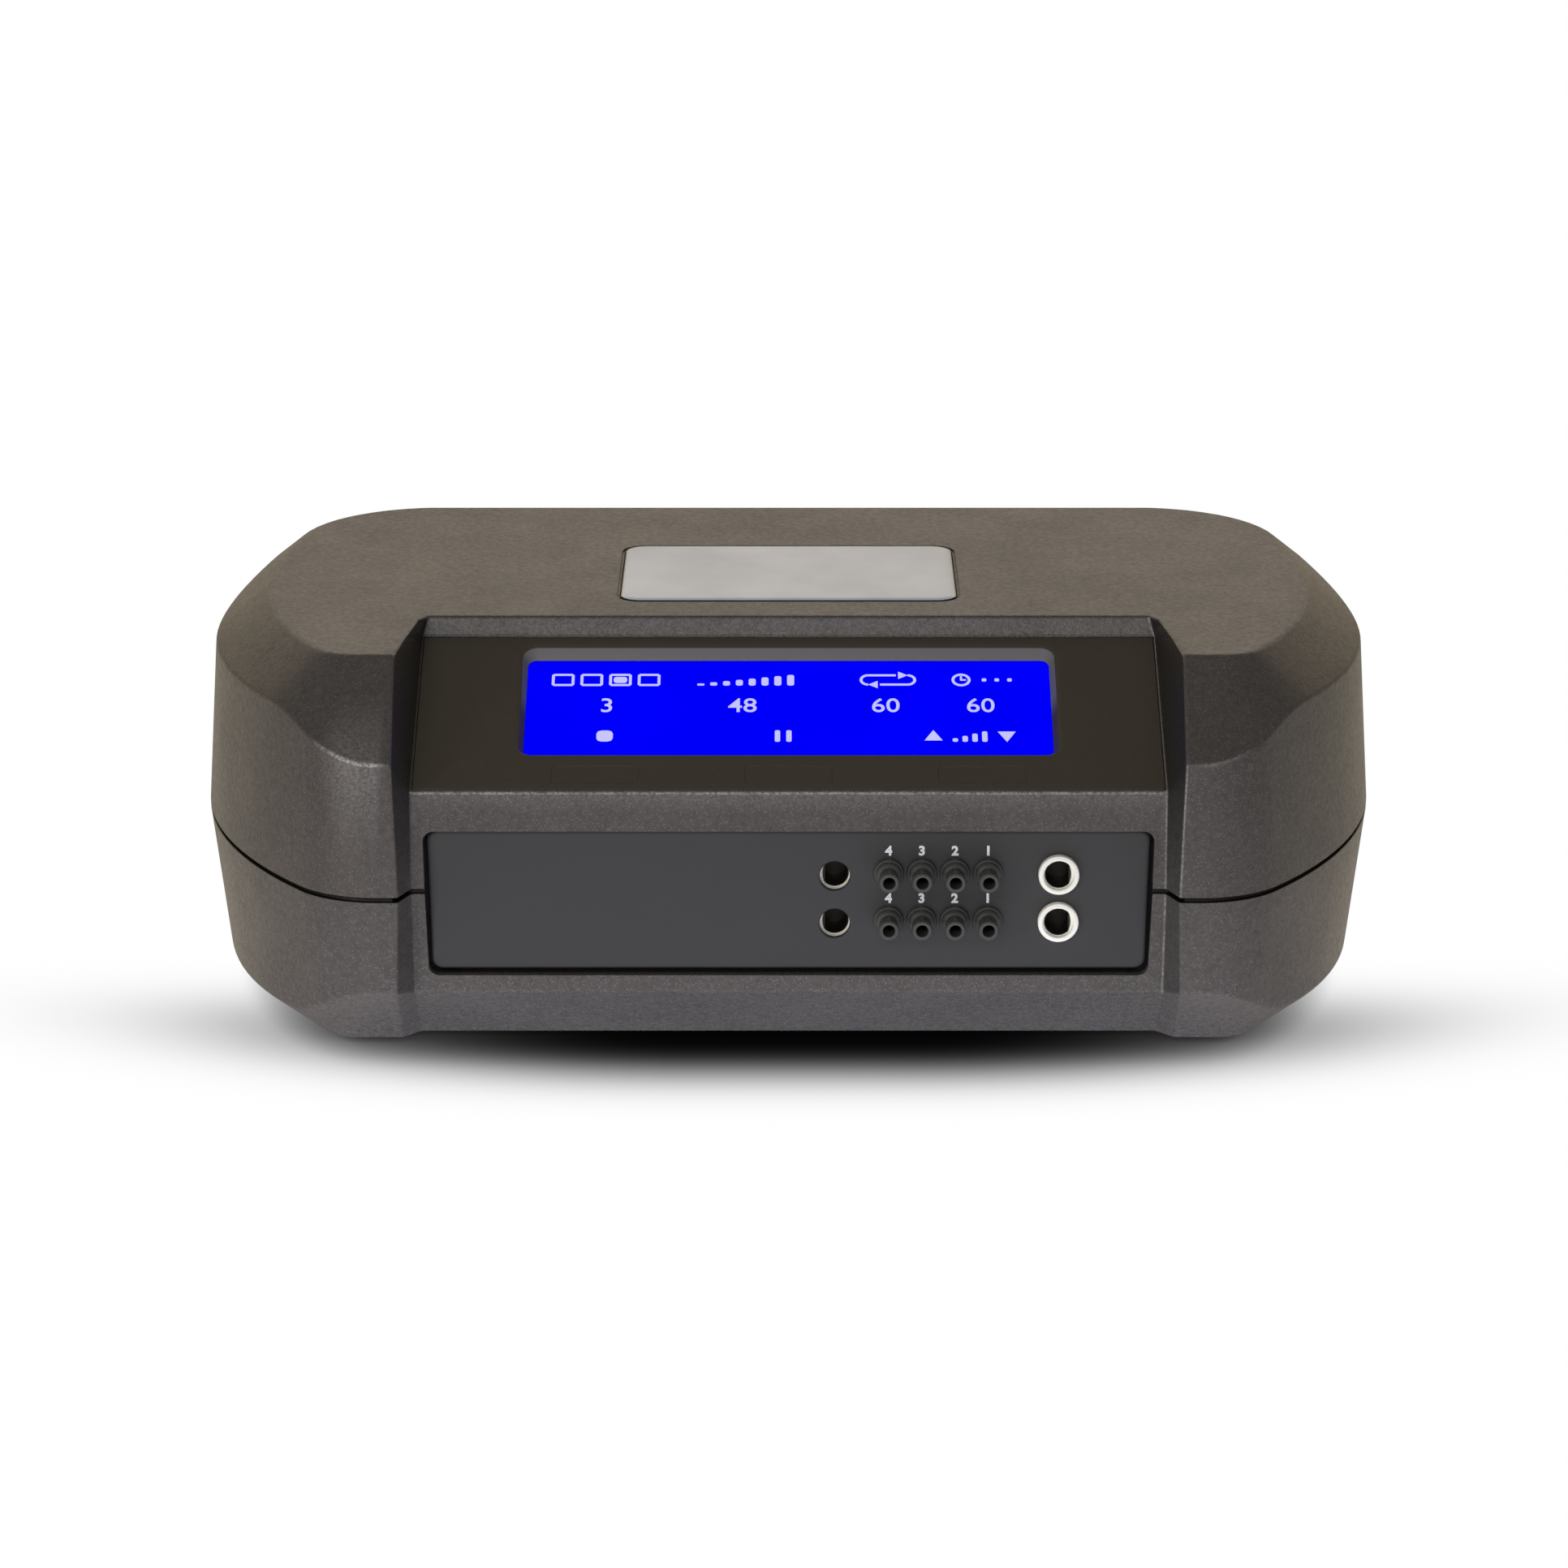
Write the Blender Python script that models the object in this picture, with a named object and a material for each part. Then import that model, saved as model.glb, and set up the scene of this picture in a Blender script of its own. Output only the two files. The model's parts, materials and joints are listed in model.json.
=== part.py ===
"""Compression therapy pump: a table-top air pump with a blue display and eight hose ports.

Metres, +Z up. The front faces -Y and +X is to the right. The origin lies on the
surface that the pump stands on, under the middle of the case.
"""
import math

import bmesh
import bpy
from mathutils import Matrix, Vector

# Clearances shared by every piece
seat_gap = 0.0003
running_gap = 0.0004
overrun = 0.0060
merge_gap = 0.00002

# Case: overall sizes, heights measured from the underside of the case
case_width = 0.340
case_depth = 0.224
case_height = 0.1133
case_wall = 0.0028
parting_height = 0.052
parting_groove = 0.0010
tongue_height = 0.0014
tongue_inset = 0.0015
upper_draft = math.radians(3.8)
lower_draft = math.radians(6.7)
foot_proud = 0.0025

# Case: plan outlines, each a straight run, a corner arc and a flatter side arc
parting_corner_radius = 0.028
top_front_margin = 0.0315
top_side_margin = 0.0193
top_back_margin = 0.0230
top_front_reach = 0.0300
top_front_radius = 0.0120
top_back_reach = 0.0440
top_back_radius = 0.0400
base_margin = 0.0330
base_side_margin = 0.0166
base_reach = 0.0304
base_radius = 0.0080
chamfer_rise_share = 0.8
corner_limit_share = 0.92
shoulder_round = 0.0018
rim_land = 0.0008

# Front recess between the two rounded pods
pod_width = 0.0625
pod_flat_spare = 0.0007
recess_side_step = 0.0032
recess_side_lean = 0.0020
recess_setback = 0.0080
recess_base_setback = 0.0054
recess_edge_height = 0.0800
lip_setback = 0.0725
lip_lean = 0.0020
lip_drop = 0.0053
lip_corner = 0.0036
lip_corner_length = 0.0047
lip_narrowing = 0.0039
recess_edge_round = 0.0006

# Display bezel, seated in a pocket of the sloping recess floor
bezel_thickness = 0.0027
bezel_side_rim = 0.0004
bezel_front_rim = 0.0012
bezel_ledge = 0.0024
window_side_margin = 0.0287
window_bottom = 0.0162
window_top = 0.0627
window_side_slope = 0.0020
window_top_slope = 0.0032
window_corner = 0.0020

# Display screen and its board
screen_side_lap = 0.0014
screen_below_window = 0.0019
screen_above_window = 0.0008
screen_opening_gap = 0.0006
lcd_board_side_lap = 0.0080
lcd_board_rise = 0.0025
board_thickness = 0.0016
lcd_chip_width = 0.1200
lcd_chip_height = 0.0180
lcd_chip_thickness = 0.0030

# Three flush keys under the screen, pressed against low switches
key_width = 0.0240
key_height = 0.0070
key_pitch = 0.0535
key_rise = 0.0074
key_flange = 0.0009
key_flange_thickness = 0.0010
key_corner = 0.0012
key_opening_gap = 0.0004
keypad_board_width = 0.1380
keypad_board_height = 0.0090
switch_side = 0.0060

# Badge plate on the top
badge_width = 0.0970
badge_depth = 0.0627
badge_corner = 0.0060
badge_setback = 0.0169
badge_sink = 0.0012
badge_proud = 0.0005

# Front connector panel
panel_top_side_gap = 0.0040
panel_bottom_side_gap = 0.0050
panel_low = 0.0272
panel_high = 0.0683
panel_setback = 0.0120
panel_edge_gap = 0.0007
panel_corner = 0.0030
panel_flange = 0.0030
panel_flange_thickness = 0.0023

# Hose ports, in two rows of four
ring_port_spacing = 0.01929
port_pitch = 0.00917
port_row_low = 0.0425
port_row_pitch = 0.0138
port_count = 4
port_flange_radius = 0.0042
port_flange_thickness = 0.0014
port_collar_radius = 0.0034
port_collar_length = 0.0022
port_stem_radius = 0.0023
port_barb_radius = 0.0029
port_barb_length = 0.0026
port_length = 0.0115
port_bore_radius = 0.0017
port_tail_radius = 0.0026
port_tail_length = 0.0100

# Keyed sockets beside the ports
ring_side_margin = 0.0295
keyhole_port_spacing = 0.0152
socket_rim_radius = 0.0062
socket_barrel_radius = 0.0052
socket_rim_proud = 0.0020
socket_bore_radius = 0.0037
socket_flat = 0.0027
socket_mouth_radius = 0.0045
socket_mouth_depth = 0.0010
socket_bore_depth = 0.0110
socket_end_wall = 0.0015
keyhole_skin = 0.0015

# Manifold block behind the ports
manifold_margin = 0.0065
manifold_depth = 0.0160
nipple_radius = 0.0026
nipple_length = 0.0080

# Feet and case screws
foot_radius = 0.0080
foot_recess = 0.0010
foot_side_room = 0.0580
foot_end_room = 0.0520
foot_edge = 0.0010
screw_side_room = 0.0350
screw_end_room = 0.0670
screw_head_radius = 0.0038
screw_head_height = 0.0028
screw_shank_radius = 0.0019
screw_shoulder = 0.0340
screw_bite = 0.0110
screw_socket_radius = 0.0016
screw_socket_depth = 0.0016
boss_wall = 0.0018
boss_gap = 0.0002

# Rear panel with its inlet, switch and fuses, seen from behind
rear_half_width = 0.0620
rear_low = 0.0295
rear_high = 0.0665
rear_setback = 0.0052
inlet_x = -0.0350
rear_row_height = 0.0480
inlet_width = 0.0305
inlet_height = 0.0245
inlet_flange = 0.0020
inlet_flange_thickness = 0.0020
inlet_depth = 0.0215
inlet_cavity_width = 0.0244
inlet_cavity_height = 0.0166
inlet_cavity_depth = 0.0175
inlet_cavity_chamfer = 0.0040
pin_width = 0.0020
pin_height = 0.0040
pin_length = 0.0118
pin_spread = 0.0070
pin_offset = 0.0020
switch_x = 0.0050
switch_width = 0.0140
switch_height = 0.0216
switch_flange = 0.0018
switch_flange_thickness = 0.0016
switch_depth = 0.0175
switch_wall = 0.0015
rocker_pivot_depth = 0.0020
rocker_edge_proud = 0.0016
rocker_valley_proud = 0.0004
rocker_tilt = math.radians(7.0)
rocker_back = 0.0060
rocker_shoulder_back = 0.0030
fuse_x = (0.0290, 0.0500)
fuse_cap_radius = 0.0062
fuse_collar_radius = 0.0075
fuse_collar_thickness = 0.0012
fuse_proud = 0.0038
fuse_barrel_radius = 0.0056
fuse_depth = 0.0230
fuse_slot_width = 0.0014
fuse_slot_depth = 0.0012

# Linear air pump, lying along X on a sprung bracket
pump_side_room = 0.1000
pump_back_room = 0.0770
bracket_length = 0.1160
bracket_depth = 0.0660
bracket_thickness = 0.0025
bracket_corner = 0.0050
isolator_radius = 0.0060
isolator_waist = 0.0042
isolator_height = 0.0096
isolator_inset = 0.0070
pump_body_side = 0.0540
pump_body_height = 0.0560
pump_body_length = 0.0500
pump_core_length = 0.0460
cylinder_head_length = 0.0155
cylinder_bore_radius = 0.0160
cylinder_shoulder = 0.0020
rod_radius = 0.0110
piston_length = 0.0120
piston_stroke = 0.0020
core_leg = 0.0060
core_yoke = 0.0060
core_side_step = 0.0050
spring_radius = 0.0135
spring_wire_radius = 0.0007
spring_turns = 5
spring_turn_steps = 9
filter_radius = 0.0130
filter_height = 0.0160

# Rotary distributor valve and its gear motor
valve_ring_step = 0.0102
valve_front_room = 0.0770
valve_side = 0.0480
valve_height = 0.0280
valve_cavity_radius = 0.0183
valve_cavity_depth = 0.0180
rotor_radius = 0.0179
rotor_thickness = 0.0080
rotor_hub_radius = 0.0080
rotor_hub_height = 0.0030
rotor_shaft_radius = 0.0030
rotor_shaft_length = 0.0160
rotor_port_radius = 0.0030
rotor_port_offset = 0.0110
motor_radius = 0.0235
motor_height = 0.0240
motor_cap_radius = 0.0180
motor_cap_height = 0.0030
outlet_pitch = 0.0100
outlet_height = 0.0120
supply_height = 0.0240
supply_valve_step = 0.0190
supply_outlet_height = 0.0450

# Hoses inside the case
hose_radius = 0.0029
outlet_hose_lead = 0.0190
supply_hose_lead = 0.0330
hose_steps = 12
hose_end_run = 0.0015

# Circuit boards on moulded posts
control_board_side_room = 0.0645
control_board_front_room = 0.0420
control_board_port_gap = 0.0185
control_board_pump_gap = 0.0080
control_board_height = 0.0120
supply_board_side_room = 0.0900
supply_board_back_room = 0.0690
supply_board_width = 0.0800
supply_board_depth = 0.0560
supply_board_height = 0.0090
post_radius = 0.0035
post_inset = 0.0055
transformer_width = 0.0460
transformer_depth = 0.0380
transformer_height = 0.0340
capacitor_radius = 0.0080
capacitor_height = 0.0240
chip_width = 0.0240
chip_depth = 0.0240
chip_height = 0.0026
header_width = 0.0420
header_depth = 0.0080
header_height = 0.0100

# Air slots in the underside
vent_count = 7
vent_length = 0.0320
vent_width = 0.0024
vent_pitch = 0.0065
vent_x = 0.0400
vent_y = 0.0330

# How finely round shapes are divided
corner_steps = 6
side_steps = 6
edge_steps = 3
bend_steps = 3
port_sides = 10
settle_rounds = 30
smooth_angle = math.radians(35.0)
land_shares = (1.0, 1.5)

# Places worked out from the sizes above
half_width = case_width / 2
half_depth = case_depth / 2
base_level = foot_proud
floor_level = base_level + case_wall
parting_level = base_level + parting_height
top_level = base_level + case_height
recess_edge_x = half_width - pod_width
recess_floor_x = recess_edge_x - recess_side_step
pod_flat_end = recess_edge_x + recess_side_lean + case_wall + pod_flat_spare
parting_reach = half_width - pod_flat_end
pocket_depth = bezel_thickness + seat_gap
chamfer_angle = math.atan(chamfer_rise_share)
panel_face_y = -half_depth + panel_setback
rear_face_y = half_depth - rear_setback
panel_top_half_width = recess_floor_x - panel_top_side_gap
panel_bottom_half_width = recess_floor_x - panel_bottom_side_gap
window_width = 2 * (recess_floor_x - window_side_margin)
screen_width = window_width + 2 * screen_side_lap
lcd_board_width = screen_width + 2 * lcd_board_side_lap
ring_x = recess_floor_x - ring_side_margin
port_first_x = ring_x - ring_port_spacing - port_pitch * (port_count - 1)
keyhole_x = port_first_x - keyhole_port_spacing
port_x = [port_first_x + port_pitch * index for index in range(port_count)]
port_rows = {"lower": port_row_low, "upper": port_row_low + port_row_pitch}
foot_x = half_width - foot_side_room
foot_y = half_depth - foot_end_room
screw_x = half_width - screw_side_room
screw_y = half_depth - screw_end_room
pump_x = -half_width + pump_side_room
pump_y = half_depth - pump_back_room
core_window_length = pump_core_length - 2 * core_leg
core_window_height = pump_body_height - 2 * core_yoke
core_depth = pump_body_side - 2 * core_side_step
valve_x = ring_x + valve_ring_step
valve_y = -half_depth + valve_front_room
supply_y = valve_y + supply_valve_step
control_board_left = -half_width + control_board_side_room
control_board_right = port_first_x - control_board_port_gap
control_board_front = -half_depth + control_board_front_room
control_board_back = pump_y - bracket_depth / 2 - control_board_pump_gap
control_board_x = (control_board_left + control_board_right) / 2
control_board_y = (control_board_front + control_board_back) / 2
control_board_width = control_board_right - control_board_left
control_board_depth = control_board_back - control_board_front
supply_board_x = half_width - supply_board_side_room
supply_board_y = half_depth - supply_board_back_room


def line_meeting(point_a, along_a, point_b, along_b):
    """Return where two straight lines in a plane cross."""
    turn = along_a.x * along_b.y - along_a.y * along_b.x
    across = point_b - point_a
    reach = (across.x * along_b.y - across.y * along_b.x) / turn
    return point_a + along_a * reach


# Frames: columns are right, up and outwards, then the place of the origin
def frame_from(right, up, outwards, origin):
    """Return the matrix that takes a face's own coordinates to the world."""
    columns = [Vector(right), Vector(up), Vector(outwards)]
    matrix = Matrix.Identity(4)
    for column, vector in enumerate(columns):
        for row in range(3):
            matrix[row][column] = vector[row]
    matrix.translation = Vector(origin)
    return matrix


world = Matrix.Identity(4)
front_panel = frame_from((1, 0, 0), (0, 0, 1), (0, -1, 0), (0, panel_face_y, base_level))
rear_panel_frame = frame_from((-1, 0, 0), (0, 0, 1), (0, 1, 0), (0, rear_face_y, base_level))
pump_frame = frame_from((0, 1, 0), (0, 0, 1), (1, 0, 0), (pump_x, pump_y, base_level))


def recess_wall_y(level):
    """Return how far forward the recessed front face lies at a height."""
    draft = upper_draft if level > parting_level else lower_draft
    return -half_depth + recess_setback + abs(level - parting_level) * math.tan(draft)


slope_foot_level = base_level + recess_edge_height
slope_foot = Vector((recess_wall_y(slope_foot_level), slope_foot_level))
lip_top = Vector((-half_depth + lip_setback, top_level))
lip_foot = lip_top - Vector((lip_lean, lip_drop))
slope_along = (lip_foot - slope_foot).normalized()
slope_length = (lip_foot - slope_foot).length
display_frame = frame_from(
    (1, 0, 0),
    (0, slope_along.x, slope_along.y),
    (0, -slope_along.y, slope_along.x),
    (0, slope_foot.x, slope_foot.y),
)


# Materials
def make_finish(name, colour, roughness, metallic=0.0):
    """Make one Principled material from a colour, a roughness and a metallic value."""
    finish = bpy.data.materials.new(name)
    finish.use_nodes = True
    shader = finish.node_tree.nodes["Principled BSDF"]
    shader.inputs["Base Color"].default_value = (*colour, 1.0)
    shader.inputs["Roughness"].default_value = roughness
    shader.inputs["Metallic"].default_value = metallic
    finish.diffuse_color = (*colour, 1.0)
    return finish


def make_finishes():
    """Make every material of the pump, by name."""
    return {
        "case_plastic": make_finish("case_plastic", (0.085, 0.075, 0.066), 0.45),
        "panel_plastic": make_finish("panel_plastic", (0.055, 0.055, 0.060), 0.50),
        "bezel_plastic": make_finish("bezel_plastic", (0.035, 0.028, 0.020), 0.38),
        "key_plastic": make_finish("key_plastic", (0.035, 0.028, 0.020), 0.38),
        "screen_glass": make_finish("screen_glass", (0.0, 0.0, 0.90), 0.15),
        "badge_metal": make_finish("badge_metal", (0.72, 0.72, 0.70), 0.25, 0.8),
        "port_plastic": make_finish("port_plastic", (0.045, 0.048, 0.045), 0.45),
        "socket_nylon": make_finish("socket_nylon", (0.86, 0.84, 0.74), 0.40),
        "manifold_plastic": make_finish("manifold_plastic", (0.12, 0.12, 0.13), 0.45),
        "foot_rubber": make_finish("foot_rubber", (0.02, 0.02, 0.02), 0.85),
        "screw_steel": make_finish("screw_steel", (0.45, 0.45, 0.46), 0.30, 1.0),
        "inlet_plastic": make_finish("inlet_plastic", (0.02, 0.02, 0.02), 0.40),
        "rocker_plastic": make_finish("rocker_plastic", (0.03, 0.03, 0.03), 0.25),
        "board_laminate": make_finish("board_laminate", (0.02, 0.16, 0.07), 0.50),
        "cast_aluminium": make_finish("cast_aluminium", (0.60, 0.60, 0.61), 0.45, 0.9),
        "core_steel": make_finish("core_steel", (0.28, 0.28, 0.29), 0.50, 0.9),
        "coil_copper": make_finish("coil_copper", (0.70, 0.32, 0.14), 0.35, 0.9),
        "piston_steel": make_finish("piston_steel", (0.55, 0.55, 0.56), 0.25, 1.0),
        "isolator_rubber": make_finish("isolator_rubber", (0.03, 0.03, 0.03), 0.85),
        "valve_plastic": make_finish("valve_plastic", (0.62, 0.60, 0.55), 0.45),
        "rotor_plastic": make_finish("rotor_plastic", (0.80, 0.80, 0.78), 0.40),
        "motor_steel": make_finish("motor_steel", (0.50, 0.50, 0.50), 0.35, 1.0),
        "hose_vinyl": make_finish("hose_vinyl", (0.70, 0.72, 0.72), 0.35),
    }


# Mesh tools
def object_from(mesh_data, name="form"):
    """Link a bmesh into the scene as an object, with its faces pointing out."""
    bmesh.ops.recalc_face_normals(mesh_data, faces=mesh_data.faces)
    mesh = bpy.data.meshes.new(name)
    mesh_data.to_mesh(mesh)
    mesh_data.free()
    thing = bpy.data.objects.new(name, mesh)
    bpy.context.scene.collection.objects.link(thing)
    return thing


def loft(rings):
    """Make a closed solid through rings of equal length, capped at both ends."""
    shape = bmesh.new()
    rows = [[shape.verts.new(point) for point in ring] for ring in rings]
    count = len(rows[0])
    for low, high in zip(rows, rows[1:]):
        for index in range(count):
            after = (index + 1) % count
            shape.faces.new((low[index], low[after], high[after], high[index]))
    shape.faces.new(rows[0])
    shape.faces.new(rows[-1])
    return object_from(shape)


def prism(frame, outline, low, high):
    """Make a solid from an outline on a face, between two distances out of it."""
    rings = [[frame @ Vector((u, v, w)) for u, v in outline] for w in (low, high)]
    return loft(rings)


def tapered_prism(frame, outlines, levels):
    """Make a solid whose outline changes from one distance to the next."""
    rings = [[frame @ Vector((u, v, w)) for u, v in outline] for outline, w in zip(outlines, levels)]
    return loft(rings)


def block(frame, low, high):
    """Make a box between two corners given in a face's own coordinates."""
    shape = bmesh.new()
    bmesh.ops.create_cube(shape, size=1.0)
    size = Vector(high) - Vector(low)
    middle = (Vector(high) + Vector(low)) / 2
    bmesh.ops.scale(shape, vec=size, verts=shape.verts)
    bmesh.ops.translate(shape, vec=middle, verts=shape.verts)
    bmesh.ops.transform(shape, matrix=frame, verts=shape.verts)
    return object_from(shape)


def circle_outline(centre, radius, steps):
    """Return the corners of a regular polygon drawn round a centre."""
    turns = [math.tau * step / steps for step in range(steps)]
    return [(centre[0] + radius * math.cos(turn), centre[1] + radius * math.sin(turn)) for turn in turns]


def rod(frame, centre, low, high, radius, steps=16):
    """Make a round bar that stands on a face, between two distances out of it."""
    return prism(frame, circle_outline(centre, radius, steps), low, high)


def turned(frame, centre, profile, steps=16, closed=False):
    """Spin a profile of (distance out, radius) pairs about a line square to a face."""
    shape = bmesh.new()
    chain = [shape.verts.new((radius, 0.0, out)) for out, radius in profile]
    edges = [shape.edges.new(pair) for pair in zip(chain, chain[1:])]
    if closed:
        edges.append(shape.edges.new((chain[-1], chain[0])))
    bmesh.ops.spin(
        shape, geom=chain + edges, cent=(0, 0, 0), axis=(0, 0, 1), angle=math.tau, steps=steps, use_merge=True
    )
    bmesh.ops.remove_doubles(shape, verts=shape.verts, dist=merge_gap)
    place = frame @ Matrix.Translation((centre[0], centre[1], 0))
    bmesh.ops.transform(shape, matrix=place, verts=shape.verts)
    return object_from(shape)


def rounded_outline(corners, radius, steps=bend_steps):
    """Return an outline whose corners are replaced by arcs of one radius."""
    outline = []
    count = len(corners)
    for index in range(count):
        here = Vector(corners[index])
        before = (Vector(corners[index - 1]) - here).normalized()
        after = (Vector(corners[(index + 1) % count]) - here).normalized()
        half_angle = before.angle(after) / 2
        centre = here + (before + after).normalized() * (radius / math.sin(half_angle))
        start = here + before * (radius / math.tan(half_angle)) - centre
        sweep = start.angle_signed(here + after * (radius / math.tan(half_angle)) - centre)
        for step in range(steps + 1):
            spoke = start.copy()
            spoke.rotate(Matrix.Rotation(-sweep * step / steps, 2))
            outline.append(tuple(centre + spoke))
    return outline


def box_corners(left, right, low, high):
    """Return the four corners of a rectangle, counter-clockwise."""
    return [(left, low), (right, low), (right, high), (left, high)]


def join_meshes(things):
    """Gather separate solids into the first of them."""
    shape = bmesh.new()
    for thing in things:
        shape.from_mesh(thing.data)
    first = things[0]
    shape.to_mesh(first.data)
    shape.free()
    for thing in things[1:]:
        bpy.data.objects.remove(thing, do_unlink=True)
    return first


def combine(target, tools, operation):
    """Cut tools out of a solid, or add them to it, and keep the result."""
    tool = join_meshes(tools)
    change = target.modifiers.new(operation.lower(), "BOOLEAN")
    change.operation = operation
    change.solver = "EXACT"
    change.object = tool
    graph = bpy.context.evaluated_depsgraph_get()
    result = bpy.data.meshes.new_from_object(target.evaluated_get(graph))
    target.modifiers.remove(change)
    target.data = result
    bpy.data.objects.remove(tool, do_unlink=True)
    return target


def cut(target, *tools):
    """Cut the tools out of a solid."""
    return combine(target, list(tools), "DIFFERENCE")


def add(target, *tools):
    """Add solids, one after the other, to a solid that they run into."""
    for tool in tools:
        combine(target, [tool], "UNION")
    return target


def finish_piece(thing, name, finish, origin=None, smooth=True):
    """Name a piece, give it its material and put its origin in place."""
    thing.name = name
    thing.data.name = name
    thing.data.materials.clear()
    thing.data.materials.append(finish)
    if smooth:
        thing.data.shade_smooth()
        thing.data.set_sharp_from_angle(angle=smooth_angle)
    if origin is not None:
        thing.data.transform(Matrix.Translation(-Vector(origin)))
        thing.location = origin
    return thing


# Case form: outlines, stations round them and the line that each station follows
class RoundEnd:
    """One quarter of an outline: a straight run, a corner arc and a flatter side arc."""

    def __init__(self, width, depth, reach, radius):
        self.width = width
        self.depth = depth
        self.reach = reach
        self.radius = min(radius, reach * corner_limit_share)
        self.straight = width - reach
        slack = reach - self.radius
        self.side_radius = (reach**2 + depth**2 - 2 * depth * self.radius) / (2 * slack)
        self.corner_centre = Vector((self.straight, depth - self.radius))
        self.side_centre = Vector((width - self.side_radius, 0))
        joint = self.corner_centre - self.side_centre
        self.joint_angle = math.atan2(joint.y, joint.x)

    def inset(self, amount):
        """Return the parallel outline that lies inside this one."""
        return RoundEnd(self.width - amount, self.depth - amount, self.reach - amount, self.radius - amount)

    def samples(self):
        """Return points and outward directions from the straight run round to the side."""
        found = []
        for step in range(corner_steps + 1):
            turn = math.pi / 2 + (self.joint_angle - math.pi / 2) * step / corner_steps
            outwards = Vector((math.cos(turn), math.sin(turn)))
            found.append((self.corner_centre + outwards * self.radius, outwards))
        for step in range(1, side_steps + 1):
            turn = self.joint_angle * (1 - step / side_steps)
            outwards = Vector((math.cos(turn), math.sin(turn)))
            found.append((self.side_centre + outwards * self.side_radius, outwards))
        return found

    def foot(self, point):
        """Return the nearest place on the outline to a point outside it."""
        if point.x <= self.straight:
            return Vector((point.x, self.depth))
        away = point - self.side_centre
        if math.atan2(away.y, away.x) > self.joint_angle:
            return self.corner_centre + (point - self.corner_centre).normalized() * self.radius
        return self.side_centre + away.normalized() * self.side_radius


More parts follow.
